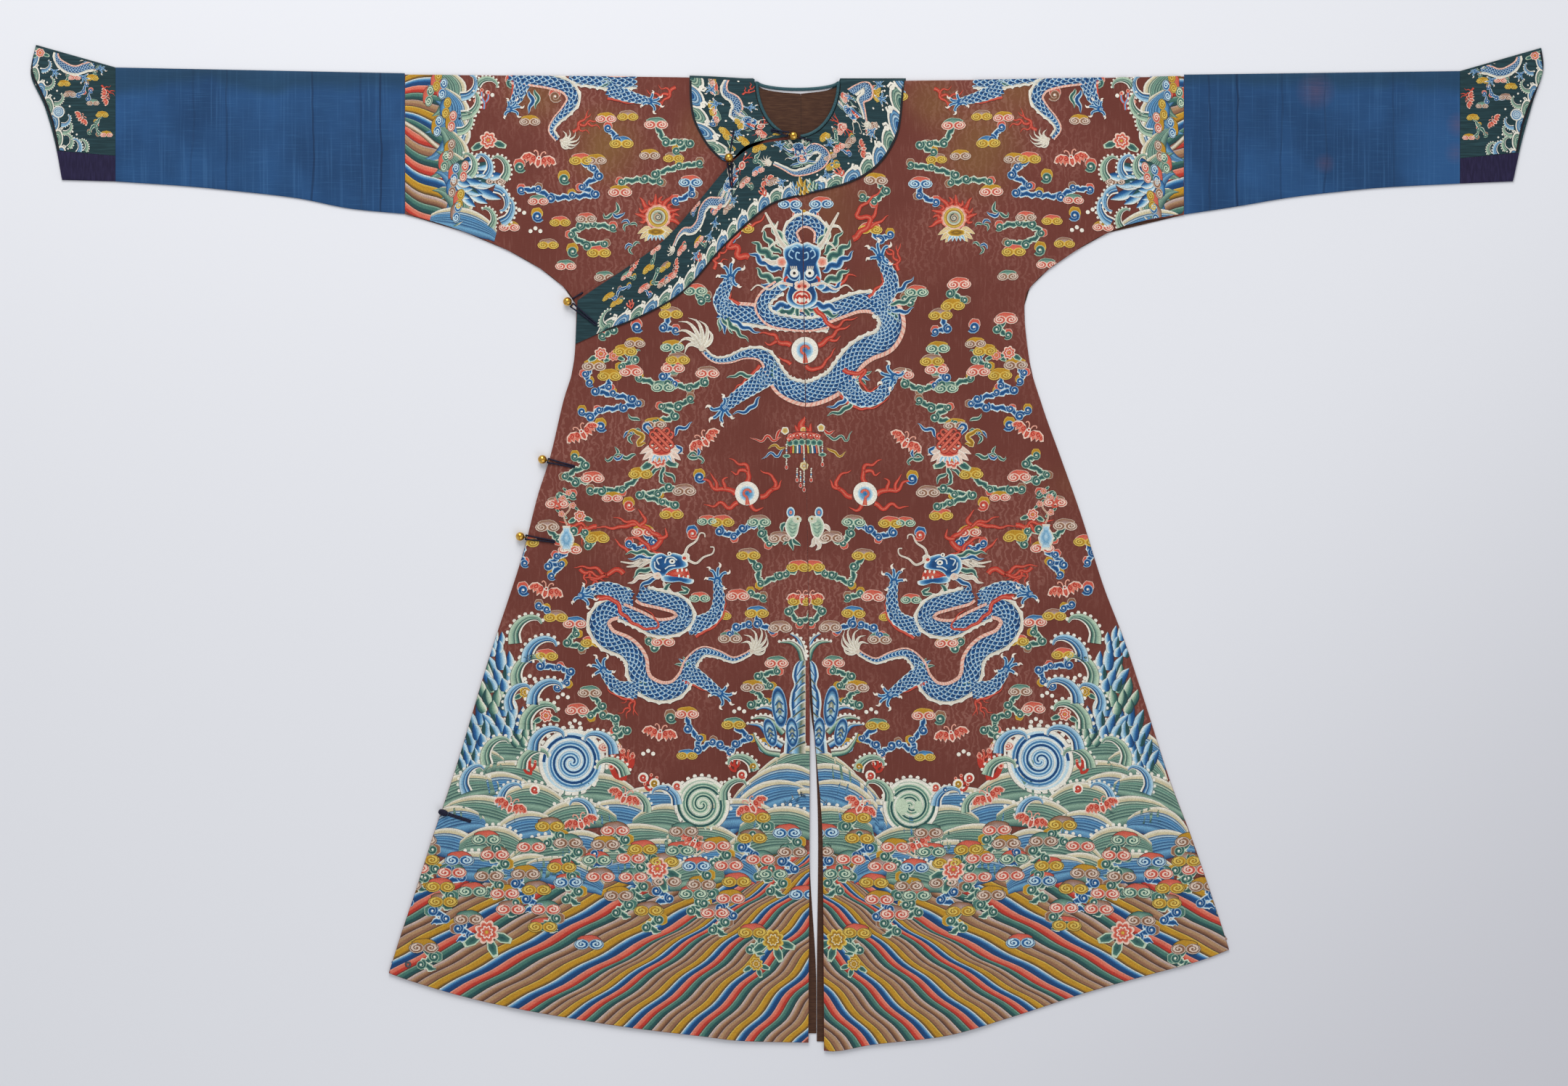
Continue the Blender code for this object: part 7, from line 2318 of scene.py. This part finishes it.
def drawCuff():
    edge = [(1066, 715), (1071, 693), (1071, 672), (1057, 643), (1044, 610), (1038, 585), (1032, 555)]
    border(edge, 21.0, 10.0, 2, 180.0)
    smallDragon([(985, 684), (996, 682), (1007, 678), (1020, 680), (1034, 691), (1036, 703), (1028, 712)],
        (984, 696), [(1040, 676, 250), (999, 668, 240), (976, 680, 200)], 1, 10, 7)
    smallClouds((
        ("green", "pink", "gold", [(1011, 664), (1020, 668), (1026, 655)]),
        ("blue", "lilac", None, [(1018, 640), (1006, 642), (999, 648), (994, 657)]),
        ("blue", None, "lilac green", [(988, 648), (991, 637), (985, 628)]),
        ("green", "gold", None, [(986, 663), (982, 674)]),
        ("green", "gold", None, [(972, 611), (981, 602), (990, 589)]),
        ("green", "pink gold", None, [(966, 583), (976, 588), (980, 598)]),
    ), 4.4, 2.3)
    flameFork(973, 656, 2.3, 70, -1, 3)
    for u, y, turn in ((970, 639, 80), (1003, 608, 50)):
        bat(u, y, 7.5, turn)
    for u, y, size, turn, hue in ((1034, 633, 9, 70, "green"), (1052, 680, 9, 70, "blue"),
            (1047, 655, 9, 70, "green"), (1024, 603, 9, 70, "blue"), (1022, 592, 9, 70, "green"),
            (1018, 575, 10, 20, "green"), (1006, 568, 11, 10, "blue"), (996, 569, 9, 10, "green")):
        crest(u, y, size, turn, -1, hue, 4)
    whirlpool(1034, 618, 8.5, "blue", 1, 3.5)
    flower(1060, 702, 7, "pink")
    whiteDots(((1036, 648), (1018, 626), (1014, 590), (1008, 586)), 1.5)


def bandOf(sections):
    length = np.hypot(*np.diff([[(a + c) / 2, (b + d) / 2] for a, b, c, d in sections], axis=0).T).sum()
    return lambda points: bandPlane(sections)(
        np.column_stack([np.clip(points[:, 0] / length, -0.05, 1.05), 1 - points[:, 1] / 80.0]))


def bandOutline(sections):
    # both edges of a collar piece, without its fold over the shoulder
    share = np.linspace(0, 1, 90)
    inner = np.stack(bandEdges(sections, share)[:2], -1)
    outer = np.stack(bandEdges(sections, share)[2:], -1)
    outline = np.concatenate([inner, outer[::-1]])
    return np.column_stack([outline[:, 0], np.minimum(outline[:, 1], shoulder(outline[:, 0]) - 1.8)])


def cuffOutline(side):
    cut = sleeves[side]
    share = np.linspace(cuffStripShare + 0.004, 0.985, 24)
    ends = []
    for x in (np.full(24, cut["cuff"] + np.sign(cut["cuff"]) * 0.6), read(cut["cuffEnd"], share)):
        ends.append(np.column_stack(
            [x, read(cut["cuffUnder"], x) * (1 - share) + read(cut["cuffTop"], x) * share]))
    return np.concatenate([ends[0], ends[1][::-1]])


cuffTop = lambda x, y: robe["innerFront"] + robe["wall"] + 0 * x
robe["detail"] = robe["smallDetail"]
collarDrawings = [(drawn(drawCollarBand), bandOf(collarBand)), (drawn(drawCollarLeft), bandOf(collarLeft))]
cuffDrawing = drawn(drawCuff)

# The back: the same drawings sewn more plainly, each on a panel cut by its slit and its raised hem, round a
# half ring of teal silk, whose outer edge is half an ellipse that is cut off level at its top.
robe["detail"] = robe["backDetail"]
ring = {"x": 13, "y": 668, "halfWidth": 155, "halfDepth": 128, "top": 666, "innerDepth": 27, "height": -0.04}


def ellipseAt(turn, wide, deep):
    return np.column_stack([ring["x"] + wide * np.cos(turn), ring["y"] + deep * np.sin(turn)])


def ringAt(turn, grow):
    # the ring's outer edge, grown on all sides
    return ellipseAt(turn, ring["halfWidth"] + grow, ring["halfDepth"] + grow)


ringPlane = lambda side: lambda points: np.column_stack([ring["x"] + side * points[:, 0], points[:, 1]])
lowRing, highRing = np.linspace(1.5 * np.pi, 2 * np.pi, 24), np.linspace(np.pi, 1.5 * np.pi, 24)


def drawCollarBack():
    edge = ringAt(lowRing[:-1], -2) - [ring["x"], 0]
    border(edge, 24.0, 17.0)
    smallDragon([(20, 612), (34, 606), (46, 614), (58, 622), (72, 616), (84, 626), (92, 640), (104, 646)],
        (12, 602), [(40, 590, 250), (64, 602, 300), (86, 606, 320), (70, 636, 80)], -1, 200)
    for u, y, side in ((14, 576, 1), (42, 572, 1), (72, 584, 1), (96, 606, 1), (110, 626, 1), (118, 652, -1),
            (24, 630, 1), (86, 656, -1)):
        shortCloud(u, y, side)
    whiteDots(((28, 584), (58, 584), (82, 596), (100, 622), (108, 640), (50, 600), (4, 588), (74, 650)))


backHalf, backMiddle = drawn(*halfDraws), drawn(*middleDraws)
ringHalf = drawn(drawCollarBack)
outlineBack = {
    -1: np.concatenate([
        ringAt(highRing, 1), levelLine(lambda x: shoulder(x) - 1.5, -146, -542),
        edgeLine(leftEdge, 665, -603), levelLine(lambda x: read(raisedHem(leftHem), x), -565, 20),
        edgeLine(lambda y: slitEdge(backSlit, y, -1), -690, 538),
    ]),
    1: np.concatenate([
        ringAt(lowRing, 1), levelLine(lambda x: shoulder(x) - 1.5, 172, 562), edgeLine(rightEdge, 668, -570),
        levelLine(lambda x: read(raisedHem(rightHem), x), 626, 60),
        edgeLine(lambda y: slitEdge(backSlit, y, 1), -700, 538),
    ]),
}
turn = np.linspace(np.pi, 2 * np.pi, 49)
ringOut, neckBack = ringAt(turn, 0), ellipseAt(turn, neck["halfWidth"] + 6, ring["innerDepth"])
for edge in (ringOut, neckBack):
    edge[:, 1] = np.minimum(edge[:, 1], ring["top"])
ringSilk = np.concatenate([neckBack * (1 - at) + ringOut * at for at in (0, 0.35, 0.7, 1)])
ringSilk = np.column_stack([ringSilk, np.full(len(ringSilk), robe["underside"] + ring["height"])])
backCollar = addMesh("backCollarSilk", ringSilk, gridQuads(0, 4, 49), tealSilk, "teal_silk", (), "flat")

ringOutline = np.concatenate([ringOut, neckBack[::-1]])

sewn = {
    "leftWidth": lay("leftYokeFloss", leftBody, yokeOutline, leftFrontTop, "maroon_silk"),
    "outerFront": lay("outerFrontFloss", leftBody, wrapOutline, wrapTop, "maroon_silk", levels=(-250,)),
    "rightWidth": lay("rightFrontFloss", rightBody, rightOutline, rightFrontTop, "maroon_silk",
        levels=(-250, 230)),
    "collarBand": lay("collarBandFloss", collarDrawings[:1], bandOutline(collarBand),
        collarTop, "teal_silk"),
    "collarLeft": lay("collarLeftFloss", collarDrawings[1:], bandOutline(collarLeft),
        collarLeftTop, "teal_silk"),
    "leftCuff": lay("leftCuffFloss", [(cuffDrawing, lambda p: p * [-1, 1])], cuffOutline("left"),
        cuffTop, "teal_silk"),
    "rightCuff": lay("rightCuffFloss", [(cuffDrawing, lambda p: p + [0, -4])], cuffOutline("right"),
        cuffTop, "teal_silk"),
}
for side, name in ((-1, "left"), (1, "right")):
    back = [(backHalf, halfPlane(side)), (backMiddle, halfPlane(1))]
    sewn[f"{name}Width"] += lay(f"{name}BackFloss", back, outlineBack[side], None, "maroon_silk", down=True)
bothRings = [(ringHalf, ringPlane(-1)), (ringHalf, ringPlane(1))]
sewn["rightWidth"] += lay("backCollarFloss", bothRings, ringOutline, None, "teal_silk", down=True)
sewn["rightWidth"].append(backCollar)


# Binding, buttons, loops, knot and snap

ball = {"radius": 6.2, "neckRadius": 1.5, "neckLength": 4.0}
cord = {"radius": 1.2, "twist": 4.0}
# Heights are those of the cloth under the ball, the cord's end and the loop's end.
buttons = [
    {"name": "neck", "ball": (8.5, 583.5), "cord": (34, 577), "loop": (-22, 592), "up": (5.7, 5.7, 4.2)},
    {"name": "clavicle", "ball": (-83, 552.5), "cord": (-76, 593), "loop": (-79, 512),
        "up": (5.7, 4.2, 5.7)},
    {"name": "armpit", "ball": (-312, 349), "cord": (-290, 362), "loop": (-272, 317), "up": (0, 2.7, 5.7)},
    {"name": "side", "ball": (-347.5, 125.2), "cord": None, "loop": (-303, 115), "up": (0, 0, 4.7)},
    {"name": "lower", "ball": (-379, 16), "cord": None, "loop": (-331, 8.8), "up": (0, 0, 4.5)},
]
knot = {"x": -488.0, "y": -375.4, "half": (7.0, 5.0, 3.0), "tab": (34.0, 5.0, 1.0), "lean": -18.0}
snap = {"x": -538.0, "y": -590.7, "radius": 4.6, "hole": 1.6, "height": 1.2}


def framesAlong(path, closed=False):
    ahead = np.roll(path, -1, 0) - np.roll(path, 1, 0)
    if not closed:
        ahead[0], ahead[-1] = path[1] - path[0], path[-1] - path[-2]
    ahead /= np.linalg.norm(ahead, axis=1, keepdims=True)
    side = np.cross([0.0, 0.0, 1.0], ahead)
    side /= np.linalg.norm(side, axis=1, keepdims=True)
    return side, np.cross(ahead, side)


def ringSkin(name, rings, material, slot, nodes, closed=False):
    # rings of points joined in a row, closed at both ends by their middles unless the row is a loop
    rows, columns = rings.shape[:2]
    number = np.arange(rows * columns).reshape(rows, columns)
    ahead = np.roll(number, -1, 1)
    pairs = [(k, (k + 1) % rows) for k in range(rows if closed else rows - 1)]
    strips = [np.stack([number[a], ahead[a], ahead[b], number[b]], -1) for a, b in pairs]
    faces = np.concatenate(strips).tolist()
    points = rings.reshape(-1, 3)
    if not closed:
        points = np.concatenate([points, [rings[0].mean(0), rings[-1].mean(0)]])
        faces += [[len(points) - 2, b, a] for a, b in zip(number[0].tolist(), ahead[0].tolist())]
        faces += [[len(points) - 1, a, b] for a, b in zip(number[-1].tolist(), ahead[-1].tolist())]
    fans = [(face[0], face[k], face[k + 1]) for face in faces for k in range(1, len(face) - 1)]
    a, b, c = points[np.array(fans).T]
    faces = faces if np.einsum("ij,ij", a, np.cross(b, c)) > 0 else [face[::-1] for face in faces]
    return addMesh(name, points, faces, material, slot, nodes, "smooth")


def makeBinding():
    # an oval tube along the neck's ellipse, high on the front's layers and low over the back
    turn = np.radians(np.linspace(binding["from"], binding["to"], binding["pieces"]))
    halfWidth, halfHeight = binding["halfWidth"], binding["halfHeight"]
    wide = neck["halfWidth"] + halfWidth
    deep = np.where(np.sin(turn) < 0, neck["frontDepth"] + halfWidth, -neck["backDepth"] - halfWidth)
    high = np.where(np.cos(turn) > 0, binding["rightUp"], binding["leftUp"])
    z = halfHeight + (high - halfHeight) * ease(-np.sin(turn), -0.5, 0.03)
    path = np.stack([neck["x"] + wide * np.cos(turn), neck["y"] + deep * np.sin(turn), z], -1)
    side, up = framesAlong(path)
    angle = np.linspace(0, 2 * np.pi, binding["sides"], endpoint=False)[None, :, None]
    rings = path[:, None] + halfWidth * np.cos(angle) * side[:, None]
    rings = rings + halfHeight * np.sin(angle) * up[:, None]
    return ringSkin("neckBinding", rings, bindingSilk, "binding_silk", ["neck_binding"])


def makeCord(name, path, nodes, closed=False):
    # two-ply cord: radius * (0.92 + 0.1 * cos(2 * (angle - twist)))
    count = int(np.linalg.norm(np.diff(path, axis=0), axis=1).sum() / 1.3)
    path = smoothPath(path, max(count, 12))
    path = path[:-1] if closed else path
    side, up = framesAlong(path, closed)
    angle = np.linspace(0, 2 * np.pi, 10, endpoint=False)[None, :, None]
    twist = (np.arange(len(path)) * 1.3 / cord["twist"])[:, None, None]
    radius = cord["radius"] * (0.92 + 0.1 * np.cos(2 * (angle - twist)))
    rings = path[:, None] + radius * (np.cos(angle) * side[:, None] + np.sin(angle) * up[:, None])
    return ringSkin(name, rings, cordSilk, "cord", nodes, closed)


def makeBall(name, centre, way, nodes):
    # a ball with a short neck, both turned about the way to its loop
    start = np.arcsin(ball["neckRadius"] / ball["radius"])
    angle = np.linspace(start, np.pi - 0.02, 26)
    reach = np.concatenate([ball["radius"] * np.cos(start)
        + ball["neckLength"] * np.array([1.0, 0.96, 0.4, 0.1]), ball["radius"] * np.cos(angle)])
    wide = np.concatenate([ball["neckRadius"] * np.array([0.7, 1.0, 0.92, 0.92]),
        ball["radius"] * np.sin(angle)])
    axis = np.array([*way, 0.0]) / np.hypot(*way)
    side, up = np.cross([0, 0, 1.0], axis), np.array([0, 0, 1.0])
    turn = np.linspace(0, 2 * np.pi, 40, endpoint=False)[None, :, None]
    about = np.cos(turn) * side + np.sin(turn) * up
    rings = centre + reach[:, None, None] * axis + wide[:, None, None] * about
    return ringSkin(name, rings, brass, "button_brass", nodes)


def makeFastener(button):
    thick, name = cord["radius"], button["name"]
    ballUp, cordUp, loopUp = button["up"]
    centre = np.array(button["ball"], float)
    middleBall = np.array([*centre, ballUp + (robe["gap"] if ballUp else 0.0) + ball["radius"]])
    way = np.subtract(button["loop"], centre)
    far = np.hypot(*way)
    way /= far
    side = np.array([-way[1], way[0]])
    pieces = [makeBall(f"{name}Button", middleBall, way, [f"button_{name}"])]
    rest = loopUp + robe["gap"] + thick
    neckUp = max(middleBall[2], rest)
    arch = ball["radius"] + ball["neckLength"] / 2
    closedUp, spread = thick + robe["gap"] / 2, ball["neckRadius"] + thick + robe["gap"]
    near = np.linspace(0, 1, 7) ** 2
    strand = np.column_stack([far + (arch - far) * np.linspace(0, 1, 7),
        closedUp + (spread - closedUp) * near, rest + (neckUp - rest) * near])
    over = np.radians([30, 60, 90, 120, 150])
    bend = np.column_stack([np.full(5, arch), spread * np.cos(over), neckUp + spread * np.sin(over)])
    path = np.concatenate([strand, bend, strand[::-1] * [1, -1, 1], [[far + thick, 0.0, rest]], strand[:1]])
    plan = centre + path[:, :1] * way + path[:, 1:2] * side
    pieces.append(makeCord(f"{name}Loop", np.column_stack([plan, path[:, 2]]),
        [f"loop_{name}"], closed=True))
    if button["cord"]:
        ownWay = np.subtract(button["cord"], centre)
        start = centre + ownWay / np.hypot(*ownWay) * (ball["radius"] + thick + robe["gap"])
        share = np.linspace(0, 1, 12)[:, None]
        high, low = max(cordUp, ballUp) + robe["gap"] + thick, cordUp + robe["gap"] + thick
        plan = start * (1 - share) + np.array(button["cord"]) * share
        drop = (low - high) * ease(share[:, 0], 0.4, 0.8)
        pieces.append(makeCord(f"{name}Cord", np.column_stack([plan, high + drop]), [f"cord_{name}"]))
    return pieces


def makeKnot():
    # a button knot: an oval wound with cord, so its girth swells and dips seven times, and a flat tab
    turn = np.radians(knot["lean"])
    way, side = np.array([np.cos(turn), np.sin(turn), 0]), np.array([-np.sin(turn), np.cos(turn), 0])
    half = knot["half"]
    height = crease(np.array([knot["x"]]), np.array([knot["y"]]))[0]
    base = robe["outerFront"] + robe["wall"] + robe["gap"] + height
    angle = np.linspace(0.02, np.pi - 0.02, 40)
    spin = np.linspace(0, 2 * np.pi, 24, endpoint=False)[None, :, None]
    middleKnot = np.array([knot["x"], knot["y"], base + half[2]])
    path = middleKnot - way * half[0] * np.cos(angle)[:, None]
    wound = (np.sin(angle) ** 0.7 * (0.93 + 0.07 * np.cos(angle * 14)))[:, None, None]
    rings = path[:, None] + wound * (side * half[1] * np.cos(spin)
        + np.array([0, 0, half[2]]) * np.sin(spin))
    pieces = [ringSkin("knotButton", rings, cordSilk, "cord", ["knot"])]
    length, width, thick = knot["tab"]
    share = np.linspace(0, 1, 18)
    middle = middleKnot[:2] + (half[0] + robe["gap"] + length * share)[:, None] * way[:2]
    around = np.linspace(0, 2 * np.pi, 16, endpoint=False)[None, :, None]
    flat = np.sign(np.cos(around)) * np.abs(np.cos(around)) ** 0.4
    path = np.column_stack([middle, np.full(18, base + thick / 2)])
    rings = path[:, None] + width / 2 * flat * side + np.array([0, 0, thick / 2]) * np.sin(around)
    pieces.append(ringSkin("knotTab", rings, cordSilk, "cord", ["knot_tab"]))
    return pieces


def makeSnap():
    # a pressed eyelet: a ring whose upper lip is rounded and whose inner edge turns down
    turn = np.linspace(0, 2 * np.pi, 48, endpoint=False)[:, None, None]
    around = np.linspace(0, 2 * np.pi, 14, endpoint=False)[None, :, None]
    mean, half = (snap["radius"] + snap["hole"]) / 2, (snap["radius"] - snap["hole"]) / 2
    base = robe["outerFront"] + robe["wall"] + robe["gap"] + snap["height"] / 2
    out = np.concatenate([np.cos(turn), np.sin(turn), 0 * turn], -1)
    rings = np.array([snap["x"], snap["y"], base]) + (mean + half * np.cos(around)) * out
    rounding = np.abs(np.sin(around)) ** 0.6
    rings = rings + np.array([0, 0, snap["height"] / 2]) * np.sign(np.sin(around)) * rounding
    return [ringSkin("snap", rings, steel, "snap_steel", ["snap"], closed=True)]


fasteners = [makeBinding()]
for button in buttons:
    fasteners += makeFastener(button)
fasteners += makeKnot() + makeSnap()
print("fasteners made:", len(fasteners))


# Declarations, floor, light and camera

# Each sheet: flat width and length, and area, in metres, and what it lies on.
sheets = [
    (leftWidth, (0.61, 2.76), 1.22, ["floor"]),
    (rightWidth, (0.61, 2.76), 1.195, ["floor"]),
    (outerFront, (0.60, 1.28), 0.506, ["leftWidth"]),
    (collar[0], (0.10, 0.66), 0.0454, ["outerFront", "rightWidth"]),
    (collar[1], (0.10, 0.21), 0.0108, ["leftWidth"]),
    (leftSleeve, (0.41, 0.40), 0.1465, ["floor"]),
    (rightSleeve, (0.39, 0.40), 0.137, ["floor"]),
    (leftCuff, (0.13, 0.31), 0.0287, ["floor"]),
    (rightCuff, (0.13, 0.31), 0.028, ["floor"]),
    (leftStrip, (0.08, 0.08), 0.0063, ["floor"]),
    (rightStrip, (0.09, 0.08), 0.0062, ["floor"]),
]

# the floor's second colour is painted shade, for the light falling off towards one corner
stage = {"floor": "#dddee3", "floorFar": "#c4c4ca", "cameraHeight": 6.5, "frameWidth": 2.2248,
    "lookAt": (-0.005, 0.0067)}
floorSize = 9.0
# Lamps over the middle of the floor: name, place, size in metres, watts, colour.
lamps = [
    ("highWindow", (-0.6, 3.2, 2.6), 2.4, 120, (1.0, 0.99, 0.97)),
    ("softFill", (1.4, -2.6, 3.4), 3.0, 35, (0.95, 0.97, 1.0)),
]


def makeFloor():
    mesh = bpy.data.meshes.new("floor")
    half = floorSize / 2
    corners = [(-half, -half, 0), (half, -half, 0), (half, half, 0), (-half, half, 0)]
    mesh.from_pydata(corners, [], [(0, 1, 2, 3)])
    # a pale board, darkened towards one corner by painted shade that stands in for the light falling off: the mix
    # grows with x - 1.2 y
    material, nodes, shader = newMaterial("paintedBoard", 0.8)
    place = node(nodes, "ShaderNodeTexCoord")
    axes = node(nodes, "ShaderNodeSeparateXYZ", {"Vector": place.outputs["Object"]})
    corner = maths(nodes, "MULTIPLY_ADD", axes.outputs["Y"], -1.2, axes.outputs["X"])
    shade = ramp(nodes, corner, 0.3, 2.3)
    linkTo(nodes, mixColour(nodes, shade, rgba(stage["floor"]), rgba(stage["floorFar"])),
        shader.inputs["Base Color"])
    mesh.materials.append(material)
    floor = bpy.data.objects.new("floor", mesh)
    bpy.context.scene.collection.objects.link(floor)
    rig.stage(floor)
    return floor


def addAreaLight(name, place, size, power, colour):
    # a square lamp that points at the middle of the floor
    light = bpy.data.lights.new(name, "AREA")
    light.shape, light.size, light.energy, light.color = "SQUARE", size, power, colour
    lamp = bpy.data.objects.new(name, light)
    bpy.context.scene.collection.objects.link(lamp)
    lamp.location = place
    lamp.rotation_euler = (-Vector(place)).to_track_quat("-Z", "Y").to_euler()


def makeCamera():
    # straight down, so that a square of the floor stays square; focal length = sensor * height / frame width
    lens = bpy.data.cameras.new("camera")
    lens.sensor_fit, lens.sensor_width = "HORIZONTAL", 36.0
    lens.lens = lens.sensor_width * stage["cameraHeight"] / stage["frameWidth"]
    camera = bpy.data.objects.new("camera", lens)
    bpy.context.scene.collection.objects.link(camera)
    camera.location = (*stage["lookAt"], stage["cameraHeight"])
    bpy.context.scene.camera = camera


for piece, flat, area, under in sheets:
    surface = sum(face.area for face in piece.data.polygons) / 2
    print(piece.name, "flat area stated", area, "and measured", round(surface, 4))
    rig.sheet(piece, flat=flat, held="laid", rests_on=under, area=area, with_pieces=sewn.get(piece.name, []))
floor = makeFloor()
makeCamera()
for lamp in lamps:
    addAreaLight(*lamp)
world = bpy.data.worlds.new("studio")
bpy.context.scene.world = world
world.use_nodes = True
world.node_tree.nodes["Background"].inputs["Color"].default_value = (0.95, 0.97, 1.0, 1.0)
world.node_tree.nodes["Background"].inputs["Strength"].default_value = 0.55
bpy.context.scene.view_settings.view_transform = "Standard"
print("floor, camera and lamps placed")

with open("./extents.json", "w") as out:
    json.dump({"solids": [list(corner) for corner in solidBox], "scene": [list(corner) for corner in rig.bounds()]}, out)
